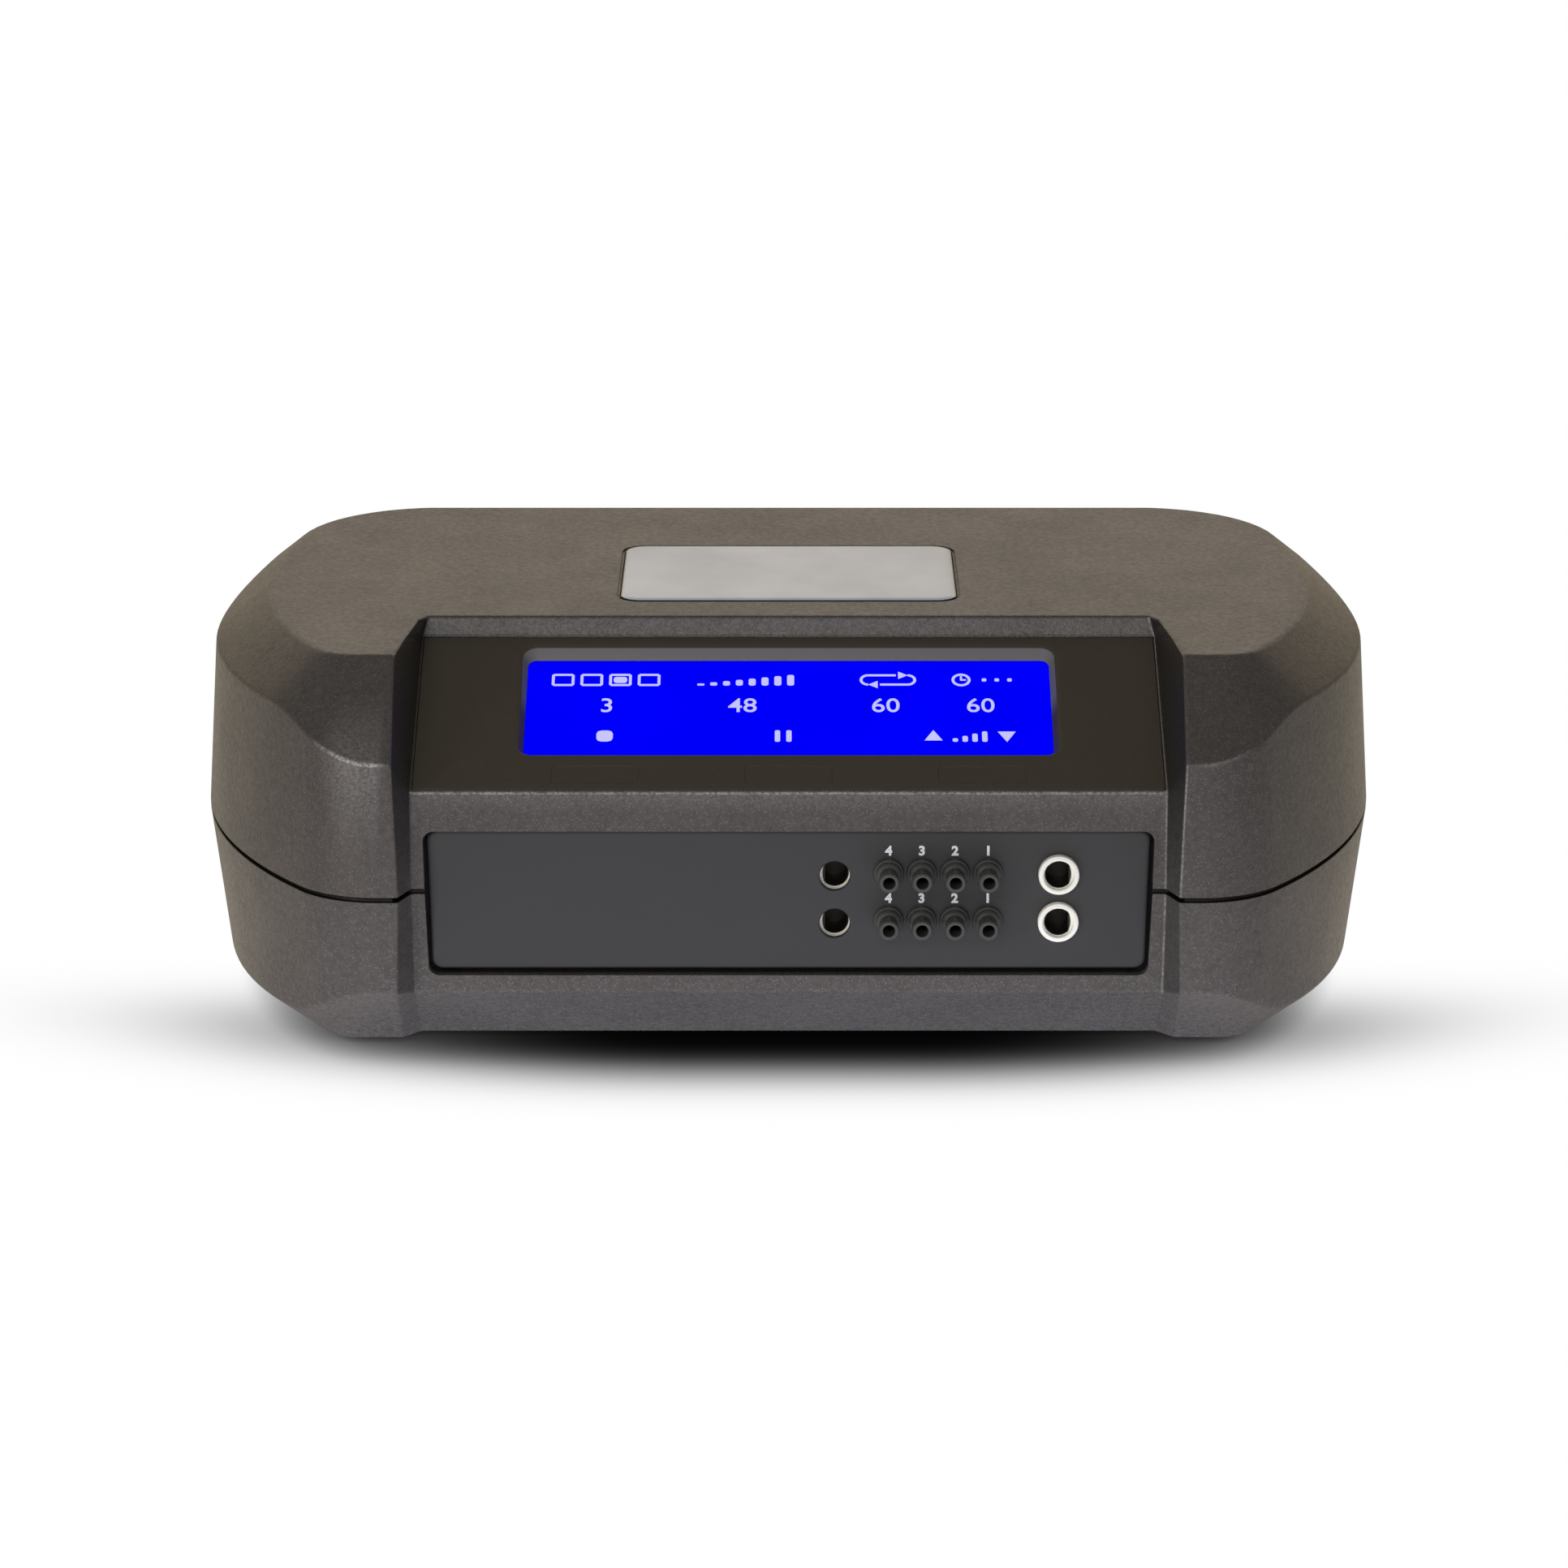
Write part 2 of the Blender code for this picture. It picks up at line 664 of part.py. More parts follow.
class CaseForm:
    """The outer form of the case, or the hollow in it when inset is the wall's thickness."""

    def __init__(self, inset, slope_inset):
        self.inset = inset
        self.slope_inset = slope_inset
        self.top = top_level - inset
        self.base = base_level + inset
        corner_inset = inset * math.tan(chamfer_angle / 2)
        self.wall = RoundEnd(half_width, half_depth, parting_reach, parting_corner_radius).inset(inset)
        top_width = half_width - top_side_margin
        self.front_top = RoundEnd(
            top_width, half_depth - top_front_margin, top_front_reach, top_front_radius
        ).inset(corner_inset)
        self.back_top = RoundEnd(
            top_width, half_depth - top_back_margin, top_back_reach, top_back_radius
        ).inset(corner_inset)
        self.base_edge = RoundEnd(
            half_width - base_side_margin, half_depth - base_margin, base_reach, base_radius
        ).inset(corner_inset)

    def edge_x(self, level):
        """Return the half width of the recess where it meets the pods."""
        span = top_level - parting_level if level > parting_level else parting_level - base_level
        return recess_edge_x + self.inset + recess_side_lean * abs(level - parting_level) / span

    def wall_place(self, station, level):
        """Return where a station's drafted wall lies at a height."""
        kind, point, outwards = station
        draft = upper_draft if level > parting_level else lower_draft
        lean = abs(level - parting_level) * math.tan(draft)
        if kind == "floor":
            return Vector((recess_floor_x + self.inset, recess_wall_y(level) + self.inset))
        if kind == "edge":
            return Vector((self.edge_x(level), -self.wall.depth + lean))
        return point - outwards * lean

    def half_stations(self):
        """Return the stations of the right half, from the middle of the front to the back."""
        samples = self.wall.samples()
        found = [("floor", None, None), ("edge", None, None)]
        found += [("front", Vector((p.x, -p.y)), Vector((n.x, -n.y))) for p, n in samples]
        found += [("back", p, n) for p, n in reversed(samples[:-1])]
        return found

    def foot_on(self, kind, outlines, place):
        """Return the nearest place on a top or base outline, for a point of the wall."""
        side = 1 if kind == "back" else -1
        outline = outlines[kind == "back"]
        found = outline.foot(Vector((place.x, place.y * side)))
        return Vector((found.x, found.y * side))

    def shoulder(self, station, outlines, flat_level, direction):
        """Return where the wall meets the chamfer, and the chamfer's other edge."""
        level = parting_level
        for _ in range(settle_rounds):
            place = self.wall_place(station, level)
            foot = self.foot_on(station[0], outlines, place)
            level = flat_level + direction * chamfer_rise_share * (place - foot).length
        return place, foot, level

    def recess_line(self):
        """Return the recess floor from the parting line to the top, as (y, height) corners."""
        front_lean = math.tan(upper_draft)
        front_along = Vector((front_lean, 1)).normalized()
        front_point = Vector((recess_wall_y(parting_level) + self.inset, parting_level))
        slope_normal = Vector((slope_along.y, -slope_along.x))
        slope_point = slope_foot + slope_normal * self.slope_inset
        lip_along = (lip_top - lip_foot).normalized()
        lip_point = lip_foot + Vector((self.inset, 0))
        foot = line_meeting(front_point, front_along, slope_point, slope_along)
        heel = line_meeting(slope_point, slope_along, lip_point, lip_along)
        level_along = Vector((1, 0))
        crest = line_meeting(lip_point, lip_along, Vector((0, self.top)), level_along)
        return foot, foot.lerp(heel, 0.5), heel, crest

    def upper_line(self, station, rim_level):
        """Return a station's corners from the upper half's rim to the flat top."""
        rim = self.wall_place(station, rim_level)
        line = [Vector((rim.x, rim.y, rim_level))]
        if station[0] == "floor":
            x = recess_floor_x + self.inset
            foot, middle, heel, crest = self.recess_line()
            line += [Vector((x, corner.x, corner.y)) for corner in (foot, middle, heel)]
            line.append(Vector((x - lip_corner + lip_narrowing / 2, crest.x, crest.y)))
            return line
        outlines = (self.front_top, self.back_top)
        place, foot, level = self.shoulder(station, outlines, self.top, -1)
        line += [Vector((place.x, place.y, level)), Vector((foot.x, foot.y, self.top))]
        if station[0] == "edge":
            line[-1].x = self.edge_x(top_level)
            crest = self.recess_line()[3]
            corner = Vector((line[-1].x - lip_narrowing, crest.x - lip_corner_length, self.top))
            line += [line[-1].lerp(corner, 0.5), corner]
            return line
        inwards = (foot - place).normalized() * (shoulder_round + rim_land)
        line += [line[-1] + Vector((inwards.x, inwards.y, 0)) * share for share in land_shares]
        return line

    def lower_line(self, station, rim_level):
        """Return a station's corners from the lower half's rim to the flat underside."""
        rim = self.wall_place(station, rim_level)
        line = [Vector((rim.x, rim.y, rim_level))]
        if station[0] == "floor":
            x = recess_floor_x + self.inset
            reach = -self.base_edge.depth + recess_base_setback
            wall_along = Vector((-math.tan(lower_draft), 1))
            chamfer_along = Vector((-1, chamfer_rise_share))
            wall_point = Vector((recess_wall_y(parting_level) + self.inset, parting_level))
            meeting = line_meeting(wall_point, wall_along, Vector((reach, self.base)), chamfer_along)
            return line + [Vector((x, meeting.x, meeting.y)), Vector((x, reach, self.base))]
        outlines = (self.base_edge, self.base_edge)
        place, foot, level = self.shoulder(station, outlines, self.base, 1)
        line += [Vector((place.x, place.y, level)), Vector((foot.x, foot.y, self.base))]
        if station[0] == "edge":
            line[-1].x = self.edge_x(base_level)
        return line

    def rings(self, half, rim_level, rounding):
        """Return closed rings through all stations, with the chamfer's edges rounded."""
        columns = []
        for station in self.half_stations():
            draw_line = self.upper_line if half == "upper" else self.lower_line
            line = draw_line(station, rim_level)
            reach = recess_edge_round if station[0] == "floor" else rounding
            column = [line[0]]
            for index in range(1, len(line)):
                if rounding and index < 3 and index + 1 < len(line):
                    column += round_corner(line[index - 1], line[index], line[index + 1], reach)
                elif rounding and index == 2:
                    inner = line[2] + Vector((0, -line[2].y, 0)).normalized() * reach
                    column += round_corner(line[1], line[2], inner, reach)
                else:
                    column.append(line[index])
            columns.append(column)
        return [mirrored_ring([column[row] for column in columns]) for row in range(len(columns[0]))]

    def ring_at(self, level, height):
        """Return the wall's outline for one height, set at another."""
        places = [self.wall_place(station, level) for station in self.half_stations()]
        return mirrored_ring([Vector((place.x, place.y, height)) for place in places])


def mirrored_ring(right_half):
    """Return a closed ring from its right half, by mirroring it across the middle."""
    left_half = [Vector((-point.x, point.y, point.z)) for point in reversed(right_half)]
    return right_half + left_half


def round_corner(before, corner, after, reach):
    """Return points of a soft bend that leaves the corner by a reach on both sides."""
    start = corner + (before - corner).normalized() * reach
    end = corner + (after - corner).normalized() * reach
    shares = [step / (edge_steps - 1) for step in range(edge_steps)]
    return [start.lerp(corner, share).lerp(corner.lerp(end, share), share) for share in shares]


def case_shell(half):
    """Make one half of the case as an open shell with its rebated rim."""
    outer = CaseForm(0.0, 0.0)
    inner = CaseForm(case_wall, pocket_depth + bezel_ledge)
    groove = parting_groove / 2
    if half == "upper":
        rebate = tongue_inset - seat_gap
        rebate_form = CaseForm(rebate, 0.0)
        rebate_top = parting_level - groove + tongue_height + groove + seat_gap
        outside = loft(outer.rings("upper", parting_level + groove, shoulder_round))
        heights = (parting_level - overrun, rebate_top)
        hollow_rings = [rebate_form.ring_at(parting_level, height) for height in heights]
        hollow_rings += inner.rings("upper", rebate_top, 0.0)
        return cut(outside, loft(hollow_rings))
    tongue_form = CaseForm(tongue_inset, 0.0)
    tongue_top = parting_level + tongue_height
    heights = (tongue_top, parting_level - groove)
    outside_rings = [tongue_form.ring_at(parting_level, height) for height in heights]
    outside_rings += outer.rings("lower", parting_level - groove, shoulder_round)
    hollow_rings = [inner.ring_at(parting_level, tongue_top + overrun)]
    hollow_rings += inner.rings("lower", parting_level, 0.0)
    return cut(loft(outside_rings), loft(hollow_rings))


# Openings and fittings of the case
def panel_outline(grow, left_low, left_high, low, high):
    """Return the outline of an inset panel, grown by an amount on every side."""
    corners = [
        (-left_low - grow, low - grow),
        (left_low + grow, low - grow),
        (left_high + grow, high + grow),
        (-left_high - grow, high + grow),
    ]
    return rounded_outline(corners, panel_corner)


def front_opening():
    """Make the cutter for the connector panel's opening."""
    outline = panel_outline(
        panel_edge_gap, panel_bottom_half_width, panel_top_half_width, panel_low, panel_high
    )
    return prism(front_panel, outline, -panel_setback, panel_setback + overrun)


def rear_opening():
    """Make the cutter for the rear panel's opening."""
    outline = panel_outline(panel_edge_gap, rear_half_width, rear_half_width, rear_low, rear_high)
    return prism(rear_panel_frame, outline, -panel_setback, rear_setback + overrun)


def screw_places():
    """Return the four case screw positions, by name."""
    return {
        "front_left": (-screw_x, -screw_y),
        "front_right": (screw_x, -screw_y),
        "rear_left": (-screw_x, screw_y),
        "rear_right": (screw_x, screw_y),
    }


def foot_places():
    """Return the four foot positions, by name."""
    return {
        "front_left": (-foot_x, -foot_y),
        "front_right": (foot_x, -foot_y),
        "rear_left": (-foot_x, foot_y),
        "rear_right": (foot_x, foot_y),
    }


def board_posts(centre_x, centre_y, width, depth, height):
    """Make the four posts that carry a circuit board."""
    reach_x = width / 2 - post_inset
    reach_y = depth / 2 - post_inset
    low = base_level + case_wall / 2
    high = base_level + height - seat_gap
    places = [(centre_x + sx * reach_x, centre_y + sy * reach_y) for sx in (-1, 1) for sy in (-1, 1)]
    return [rod(world, place, low, high, post_radius, 10) for place in places]


def make_upper_case(finishes):
    """Make the upper half of the case with its pockets, openings and screw bosses."""
    case = case_shell("upper")
    boss_radius = screw_shank_radius + running_gap + boss_wall
    boss_low = parting_level + boss_gap
    boss_high = top_level - case_wall / 2
    bosses = [rod(world, place, boss_low, boss_high, boss_radius, 12) for place in screw_places().values()]
    combine(case, bosses, "UNION")
    hole_top = parting_level + screw_bite + seat_gap
    cutters = [
        rod(world, place, boss_low - overrun, hole_top, screw_shank_radius + seat_gap, 12)
        for place in screw_places().values()
    ]
    pocket_half = recess_floor_x - bezel_side_rim
    cutters.append(
        block(
            display_frame,
            (-pocket_half, bezel_front_rim, -pocket_depth),
            (pocket_half, slope_length - seat_gap, lip_drop),
        )
    )
    combine(case, cutters, "DIFFERENCE")
    through = pocket_depth + bezel_ledge + overrun
    screen_half = screen_width / 2 + screen_opening_gap
    screen_low = window_bottom - screen_below_window - screen_opening_gap
    screen_high = window_top + screen_above_window + screen_opening_gap
    cutters = [block(display_frame, (-screen_half, screen_low, -through), (screen_half, screen_high, 0))]
    key_half = key_width / 2 + key_flange + key_opening_gap
    key_reach = key_height / 2 + key_flange + key_opening_gap
    for place in (-key_pitch, 0.0, key_pitch):
        low = (place - key_half, key_rise - key_reach, -through)
        high = (place + key_half, key_rise + key_reach, 0)
        cutters.append(block(display_frame, low, high))
    cutters += [front_opening(), rear_opening(), badge_pocket()]
    combine(case, cutters, "DIFFERENCE")
    return finish_piece(case, "upper_case", finishes["case_plastic"])


def make_lower_case(finishes):
    """Make the lower half of the case with its posts, bosses, foot seats and air slots."""
    case = case_shell("lower")
    head_clearance = screw_head_radius + running_gap
    boss_low = base_level + case_wall / 2
    boss_high = parting_level - boss_gap
    fittings = [
        rod(world, place, boss_low, boss_high, head_clearance + boss_wall, 14)
        for place in screw_places().values()
    ]
    fittings += board_posts(
        control_board_x, control_board_y, control_board_width, control_board_depth, control_board_height
    )
    fittings += board_posts(
        supply_board_x, supply_board_y, supply_board_width, supply_board_depth, supply_board_height
    )
    combine(case, fittings, "UNION")
    cutters = [front_opening(), rear_opening()]
    shoulder_level = base_level + screw_shoulder
    for place in screw_places().values():
        profile = [
            (base_level - overrun, 0.0),
            (base_level - overrun, head_clearance),
            (shoulder_level, head_clearance),
            (shoulder_level, screw_shank_radius + running_gap),
            (parting_level + overrun, screw_shank_radius + running_gap),
            (parting_level + overrun, 0.0),
        ]
        cutters.append(turned(world, place, profile, 12))
    for place in foot_places().values():
        cutters.append(
            rod(world, place, base_level - overrun, base_level + foot_recess, foot_radius + seat_gap, 16)
        )
    for index in range(vent_count):
        middle = vent_x + (index - (vent_count - 1) / 2) * vent_pitch
        left = middle - vent_width / 2
        corners = box_corners(left, left + vent_width, -vent_y - vent_length / 2, -vent_y + vent_length / 2)
        cutters.append(prism(world, corners, base_level - overrun, floor_level + overrun / 2))
    combine(case, cutters, "DIFFERENCE")
    return finish_piece(case, "lower_case", finishes["case_plastic"])


# Display
def badge_outline(grow):
    """Return the badge's outline on the top of the case, grown by an amount."""
    front = lip_top.x + badge_setback
    corners = box_corners(
        -badge_width / 2 - grow, badge_width / 2 + grow, front - grow, front + badge_depth + grow
    )
    return rounded_outline(corners, badge_corner)


def badge_pocket():
    """Make the cutter for the badge's shallow seat."""
    return prism(world, badge_outline(seat_gap), top_level - badge_sink, top_level + overrun)


def make_badge(finishes):
    """Make the bare plate that sits in the top of the case."""
    low = top_level - badge_sink + seat_gap
    high = top_level + badge_proud
    plate = tapered_prism(
        world,
        [badge_outline(0.0), badge_outline(0.0), badge_outline(-badge_proud)],
        [low, top_level, high],
    )
    return finish_piece(plate, "badge_plate", finishes["badge_metal"])


def window_outline(depth_share):
    """Return the window's outline at a share of the bezel's thickness below its face."""
    side = window_width / 2 - window_side_slope * depth_share
    top = window_top - window_top_slope * depth_share
    return rounded_outline(box_corners(-side, side, window_bottom, top), window_corner)


def key_outline(place, grow):
    """Return a key's outline on the sloping face, grown by an amount."""
    corners = box_corners(
        place - key_width / 2 - grow,
        place + key_width / 2 + grow,
        key_rise - key_height / 2 - grow,
        key_rise + key_height / 2 + grow,
    )
    return rounded_outline(corners, key_corner, 2)


def make_bezel(finishes):
    """Make the sloping bezel with its bevelled window and three key holes."""
    half = recess_floor_x - bezel_side_rim - seat_gap
    low = bezel_front_rim + seat_gap
    high = slope_length - 2 * seat_gap
    bezel = block(display_frame, (-half, low, -bezel_thickness), (half, high, 0))
    slope_run = overrun / bezel_thickness
    window = tapered_prism(
        display_frame,
        [window_outline(-slope_run), window_outline(1 + slope_run)],
        [overrun, -bezel_thickness - overrun],
    )
    holes = [
        prism(display_frame, key_outline(place, seat_gap), -bezel_thickness - overrun, overrun)
        for place in (-key_pitch, 0.0, key_pitch)
    ]
    cut(bezel, window, *holes)
    return finish_piece(bezel, "display_bezel", finishes["bezel_plastic"])


def make_screen(finishes):
    """Make the display glass behind the window."""
    half = screen_width / 2
    low = (-half, window_bottom - screen_below_window, -pocket_depth - bezel_ledge)
    high = (half, window_top + screen_above_window, -pocket_depth)
    return finish_piece(block(display_frame, low, high), "lcd_screen", finishes["screen_glass"])


def make_lcd_board(finishes):
    """Make the board that carries the display glass, with its driver block."""
    half = lcd_board_width / 2
    top = -pocket_depth - bezel_ledge - seat_gap
    low_edge = key_rise + keypad_board_height / 2 + seat_gap + board_thickness / 2
    high_edge = window_top + lcd_board_rise
    board = block(display_frame, (-half, low_edge, top - board_thickness), (half, high_edge, top))
    middle = (low_edge + high_edge) / 2
    chip = block(
        display_frame,
        (-lcd_chip_width / 2, middle - lcd_chip_height / 2, top - board_thickness - lcd_chip_thickness),
        (lcd_chip_width / 2, middle + lcd_chip_height / 2, top - board_thickness / 2),
    )
    add(board, chip)
    return finish_piece(board, "lcd_board", finishes["board_laminate"])


def key_places():
    """Return the three keys' places across the bezel, by name."""
    return {"left": -key_pitch, "middle": 0.0, "right": key_pitch}


def make_keys(finishes):
    """Make the three keys, each with the flange that holds it under the bezel."""
    made = []
    flange_top = -bezel_thickness - seat_gap
    flange_low = flange_top - key_flange_thickness
    for name, place in key_places().items():
        cap = prism(display_frame, key_outline(place, 0.0), flange_top - key_flange_thickness / 2, 0.0)
        low = (place - key_width / 2 - key_flange, key_rise - key_height / 2 - key_flange, flange_low)
        high = (place + key_width / 2 + key_flange, key_rise + key_height / 2 + key_flange, flange_top)
        add(cap, block(display_frame, low, high))
        origin = display_frame @ Vector((place, key_rise, 0))
        made.append(finish_piece(cap, "key_" + name, finishes["key_plastic"], origin))
    return made


def make_keypad_board(finishes):
    """Make the strip board under the keys, with a low switch for each."""
    half = keypad_board_width / 2
    top = -pocket_depth - bezel_ledge - seat_gap
    reach = keypad_board_height / 2
    board = block(
        display_frame, (-half, key_rise - reach, top - board_thickness), (half, key_rise + reach, top)
    )
    switch_top = -bezel_thickness - 2 * seat_gap - key_flange_thickness
    for place in key_places().values():
        low = (place - switch_side / 2, key_rise - switch_side / 2, top - board_thickness / 2)
        high = (place + switch_side / 2, key_rise + switch_side / 2, switch_top)
        add(board, block(display_frame, low, high))
    return finish_piece(board, "keypad_board", finishes["board_laminate"])


# Connector panel, ports and sockets
flange_low_level = base_level + panel_low - panel_flange
flange_face = -(recess_wall_y(flange_low_level) + case_wall + seat_gap - panel_face_y)


def make_connector_panel(finishes):
    """Make the front panel: a raised field on a flange that the case halves clamp."""
    field = panel_outline(0.0, panel_bottom_half_width, panel_top_half_width, panel_low, panel_high)
    back = flange_face - panel_flange_thickness
    panel = prism(front_panel, field, back + panel_flange_thickness / 2, 0.0)
    flange = panel_outline(
        panel_flange, panel_bottom_half_width, panel_top_half_width, panel_low, panel_high
    )
    add(panel, prism(front_panel, flange, back, flange_face))
    holes = []
    for row in port_rows.values():
        for x in port_x:
            holes.append(rod(front_panel, (x, row), back - overrun, overrun, port_tail_radius + seat_gap, 12))
        holes.append(
            rod(front_panel, (ring_x, row), back - overrun, overrun, socket_barrel_radius + seat_gap, 20)
        )
        profile = [
            (overrun, 0.0),
            (overrun, socket_mouth_radius),
            (-keyhole_skin, socket_mouth_radius),
            (-keyhole_skin, socket_rim_radius + seat_gap),
            (back - overrun, socket_rim_radius + seat_gap),
            (back - overrun, 0.0),
        ]
        holes.append(turned(front_panel, (keyhole_x, row), profile, 20))
    cut(panel, *holes)
    return finish_piece(panel, "connector_panel", finishes["panel_plastic"])


def make_ports(finishes):
    """Make the eight barbed hose ports, numbered four to one from left to right."""
    made = []
    collar_start = seat_gap + port_flange_thickness
    stem_start = collar_start + port_collar_length
    barb_start = port_length - port_barb_length
    profile = [
        (-port_tail_length, port_bore_radius),
        (-port_tail_length, port_tail_radius),
        (seat_gap, port_tail_radius),
        (seat_gap, port_flange_radius),
        (collar_start, port_flange_radius),
        (collar_start, port_collar_radius),
        (stem_start, port_collar_radius),
        (stem_start, port_stem_radius),
        (barb_start, port_stem_radius),
        (barb_start, port_barb_radius),
        (port_length, (port_barb_radius + port_stem_radius) / 2),
        (port_length, port_bore_radius),
    ]
    for row_name, row in port_rows.items():
        for index, x in enumerate(port_x):
            port = turned(front_panel, (x, row), profile, port_sides, closed=True)
            name = "port_" + row_name + "_" + str(port_count - index)
            made.append(finish_piece(port, name, finishes["port_plastic"]))
    return made


def socket_bore(place, side, front):
    """Make the D-shaped cutter of a keyed socket, flat towards one side."""
    outline = []
    for u, v in circle_outline((0.0, 0.0), socket_bore_radius, 24):
        outline.append((place[0] + side * min(u, socket_flat), place[1] + v))
    kept = []
    for corner in outline:
        if not kept or (Vector(corner) - Vector(kept[-1])).length > seat_gap:
            kept.append(corner)
    return prism(front_panel, kept, front - socket_bore_depth, front + overrun)


def make_sockets(finishes):
    """Make the four keyed sockets: two proud rings and two behind round holes."""
    made = []
    for row_name, row in port_rows.items():
        end = socket_rim_proud - socket_bore_depth - socket_end_wall
        profile = [
            (end, 0.0),
            (end, socket_barrel_radius),
            (seat_gap, socket_barrel_radius),
            (seat_gap, socket_rim_radius),
            (socket_rim_proud - recess_edge_round, socket_rim_radius),
            (socket_rim_proud, socket_rim_radius - recess_edge_round),
            (socket_rim_proud, socket_mouth_radius),
            (socket_rim_proud - socket_mouth_depth, socket_bore_radius + seat_gap),
            (socket_rim_proud - socket_mouth_depth, 0.0),
        ]
        ring = turned(front_panel, (ring_x, row), profile, 20)
        cut(ring, socket_bore((ring_x, row), 1, socket_rim_proud - socket_mouth_depth))
        made.append(finish_piece(ring, "ring_socket_" + row_name, finishes["socket_nylon"]))
        front = -keyhole_skin - seat_gap
        end = front - socket_bore_depth - socket_end_wall
        sleeve = rod(front_panel, (keyhole_x, row), end, front, socket_rim_radius, 20)
        cut(sleeve, socket_bore((keyhole_x, row), -1, front))
        made.append(finish_piece(sleeve, "keyhole_socket_" + row_name, finishes["socket_nylon"]))
    return made


manifold_front = flange_face - panel_flange_thickness - seat_gap
manifold_nipple_level = port_row_low + port_row_pitch / 2


def make_manifold(finishes):
    """Make the block that joins each pair of ports to one hose."""
    low = (port_x[0] - manifold_margin, port_row_low - manifold_margin, manifold_front - manifold_depth)
    high = (port_x[-1] + manifold_margin, port_row_low + port_row_pitch + manifold_margin, manifold_front)
    manifold = block(front_panel, low, high)
    back = manifold_front - manifold_depth
    nipples = [
        rod(
            front_panel,
            (x, manifold_nipple_level),
            back - nipple_length,
            back + nipple_length / 2,
            nipple_radius,
            12,
        )
        for x in port_x
    ]
    combine(manifold, nipples, "UNION")
    bores = [
        rod(
            front_panel,
            (x, row),
            -port_tail_length - seat_gap,
            manifold_front + overrun,
            port_tail_radius + seat_gap,
            12,
        )
        for x in port_x
        for row in port_rows.values()
    ]
    cut(manifold, *bores)
    return finish_piece(manifold, "port_manifold", finishes["manifold_plastic"])


# Feet and screws
def make_feet(finishes):
    """Make the four rubber feet, each seated in its shallow recess."""
    made = []
    top = base_level + foot_recess - seat_gap
    profile = [
        (0.0, 0.0),
        (0.0, foot_radius - foot_edge),
        (foot_edge, foot_radius),
        (top, foot_radius),
        (top, 0.0),
    ]
    for name, place in foot_places().items():
        foot = turned(world, place, profile, 20)
        made.append(finish_piece(foot, "foot_" + name, finishes["foot_rubber"]))
    return made


def make_screws(finishes):
    """Make the four case screws, driven up from below."""
    made = []
    head_top = base_level + screw_shoulder - seat_gap
    head_low = head_top - screw_head_height
    tip = parting_level + screw_bite
    profile = [
        (head_low + screw_socket_depth, 0.0),
        (head_low + screw_socket_depth, screw_socket_radius),
        (head_low, screw_socket_radius),
        (head_low, screw_head_radius),
        (head_top, screw_head_radius),
        (head_top, screw_shank_radius),
        (tip - screw_shank_radius, screw_shank_radius),
        (tip, 0.0),
    ]
    for name, place in screw_places().items():
        screw = turned(world, place, profile, 12)
        made.append(finish_piece(screw, "case_screw_" + name, finishes["screw_steel"]))
    return made


# Rear panel and its fittings
rear_flange_low_level = base_level + rear_low - panel_flange
rear_wall_y = half_depth - (parting_level - rear_flange_low_level) * math.tan(lower_draft)
rear_flange_face = rear_wall_y - case_wall - seat_gap - rear_face_y


def make_rear_panel(finishes):
    """Make the rear panel with the holes for its inlet, switch and fuses."""
    field = panel_outline(0.0, rear_half_width, rear_half_width, rear_low, rear_high)
    back = rear_flange_face - panel_flange_thickness
    panel = prism(rear_panel_frame, field, back + panel_flange_thickness / 2, 0.0)
    flange = panel_outline(panel_flange, rear_half_width, rear_half_width, rear_low, rear_high)
    add(panel, prism(rear_panel_frame, flange, back, rear_flange_face))
    holes = [
        fitting_block(inlet_x, inlet_width, inlet_height, seat_gap, back - overrun, overrun),
        fitting_block(switch_x, switch_width, switch_height, seat_gap, back - overrun, overrun),
    ]
    holes += [
        rod(
            rear_panel_frame,
            (x, rear_row_height),
            back - overrun,
            overrun,
            fuse_barrel_radius + seat_gap,
            16,
        )
        for x in fuse_x
    ]
    cut(panel, *holes)
    return finish_piece(panel, "rear_panel", finishes["panel_plastic"])


def fitting_block(place, width, height, grow, low, high):
    """Make a box on the rear panel's row of fittings, grown by an amount."""
    return block(
        rear_panel_frame,
        (place - width / 2 - grow, rear_row_height - height / 2 - grow, low),
        (place + width / 2 + grow, rear_row_height + height / 2 + grow, high),
    )


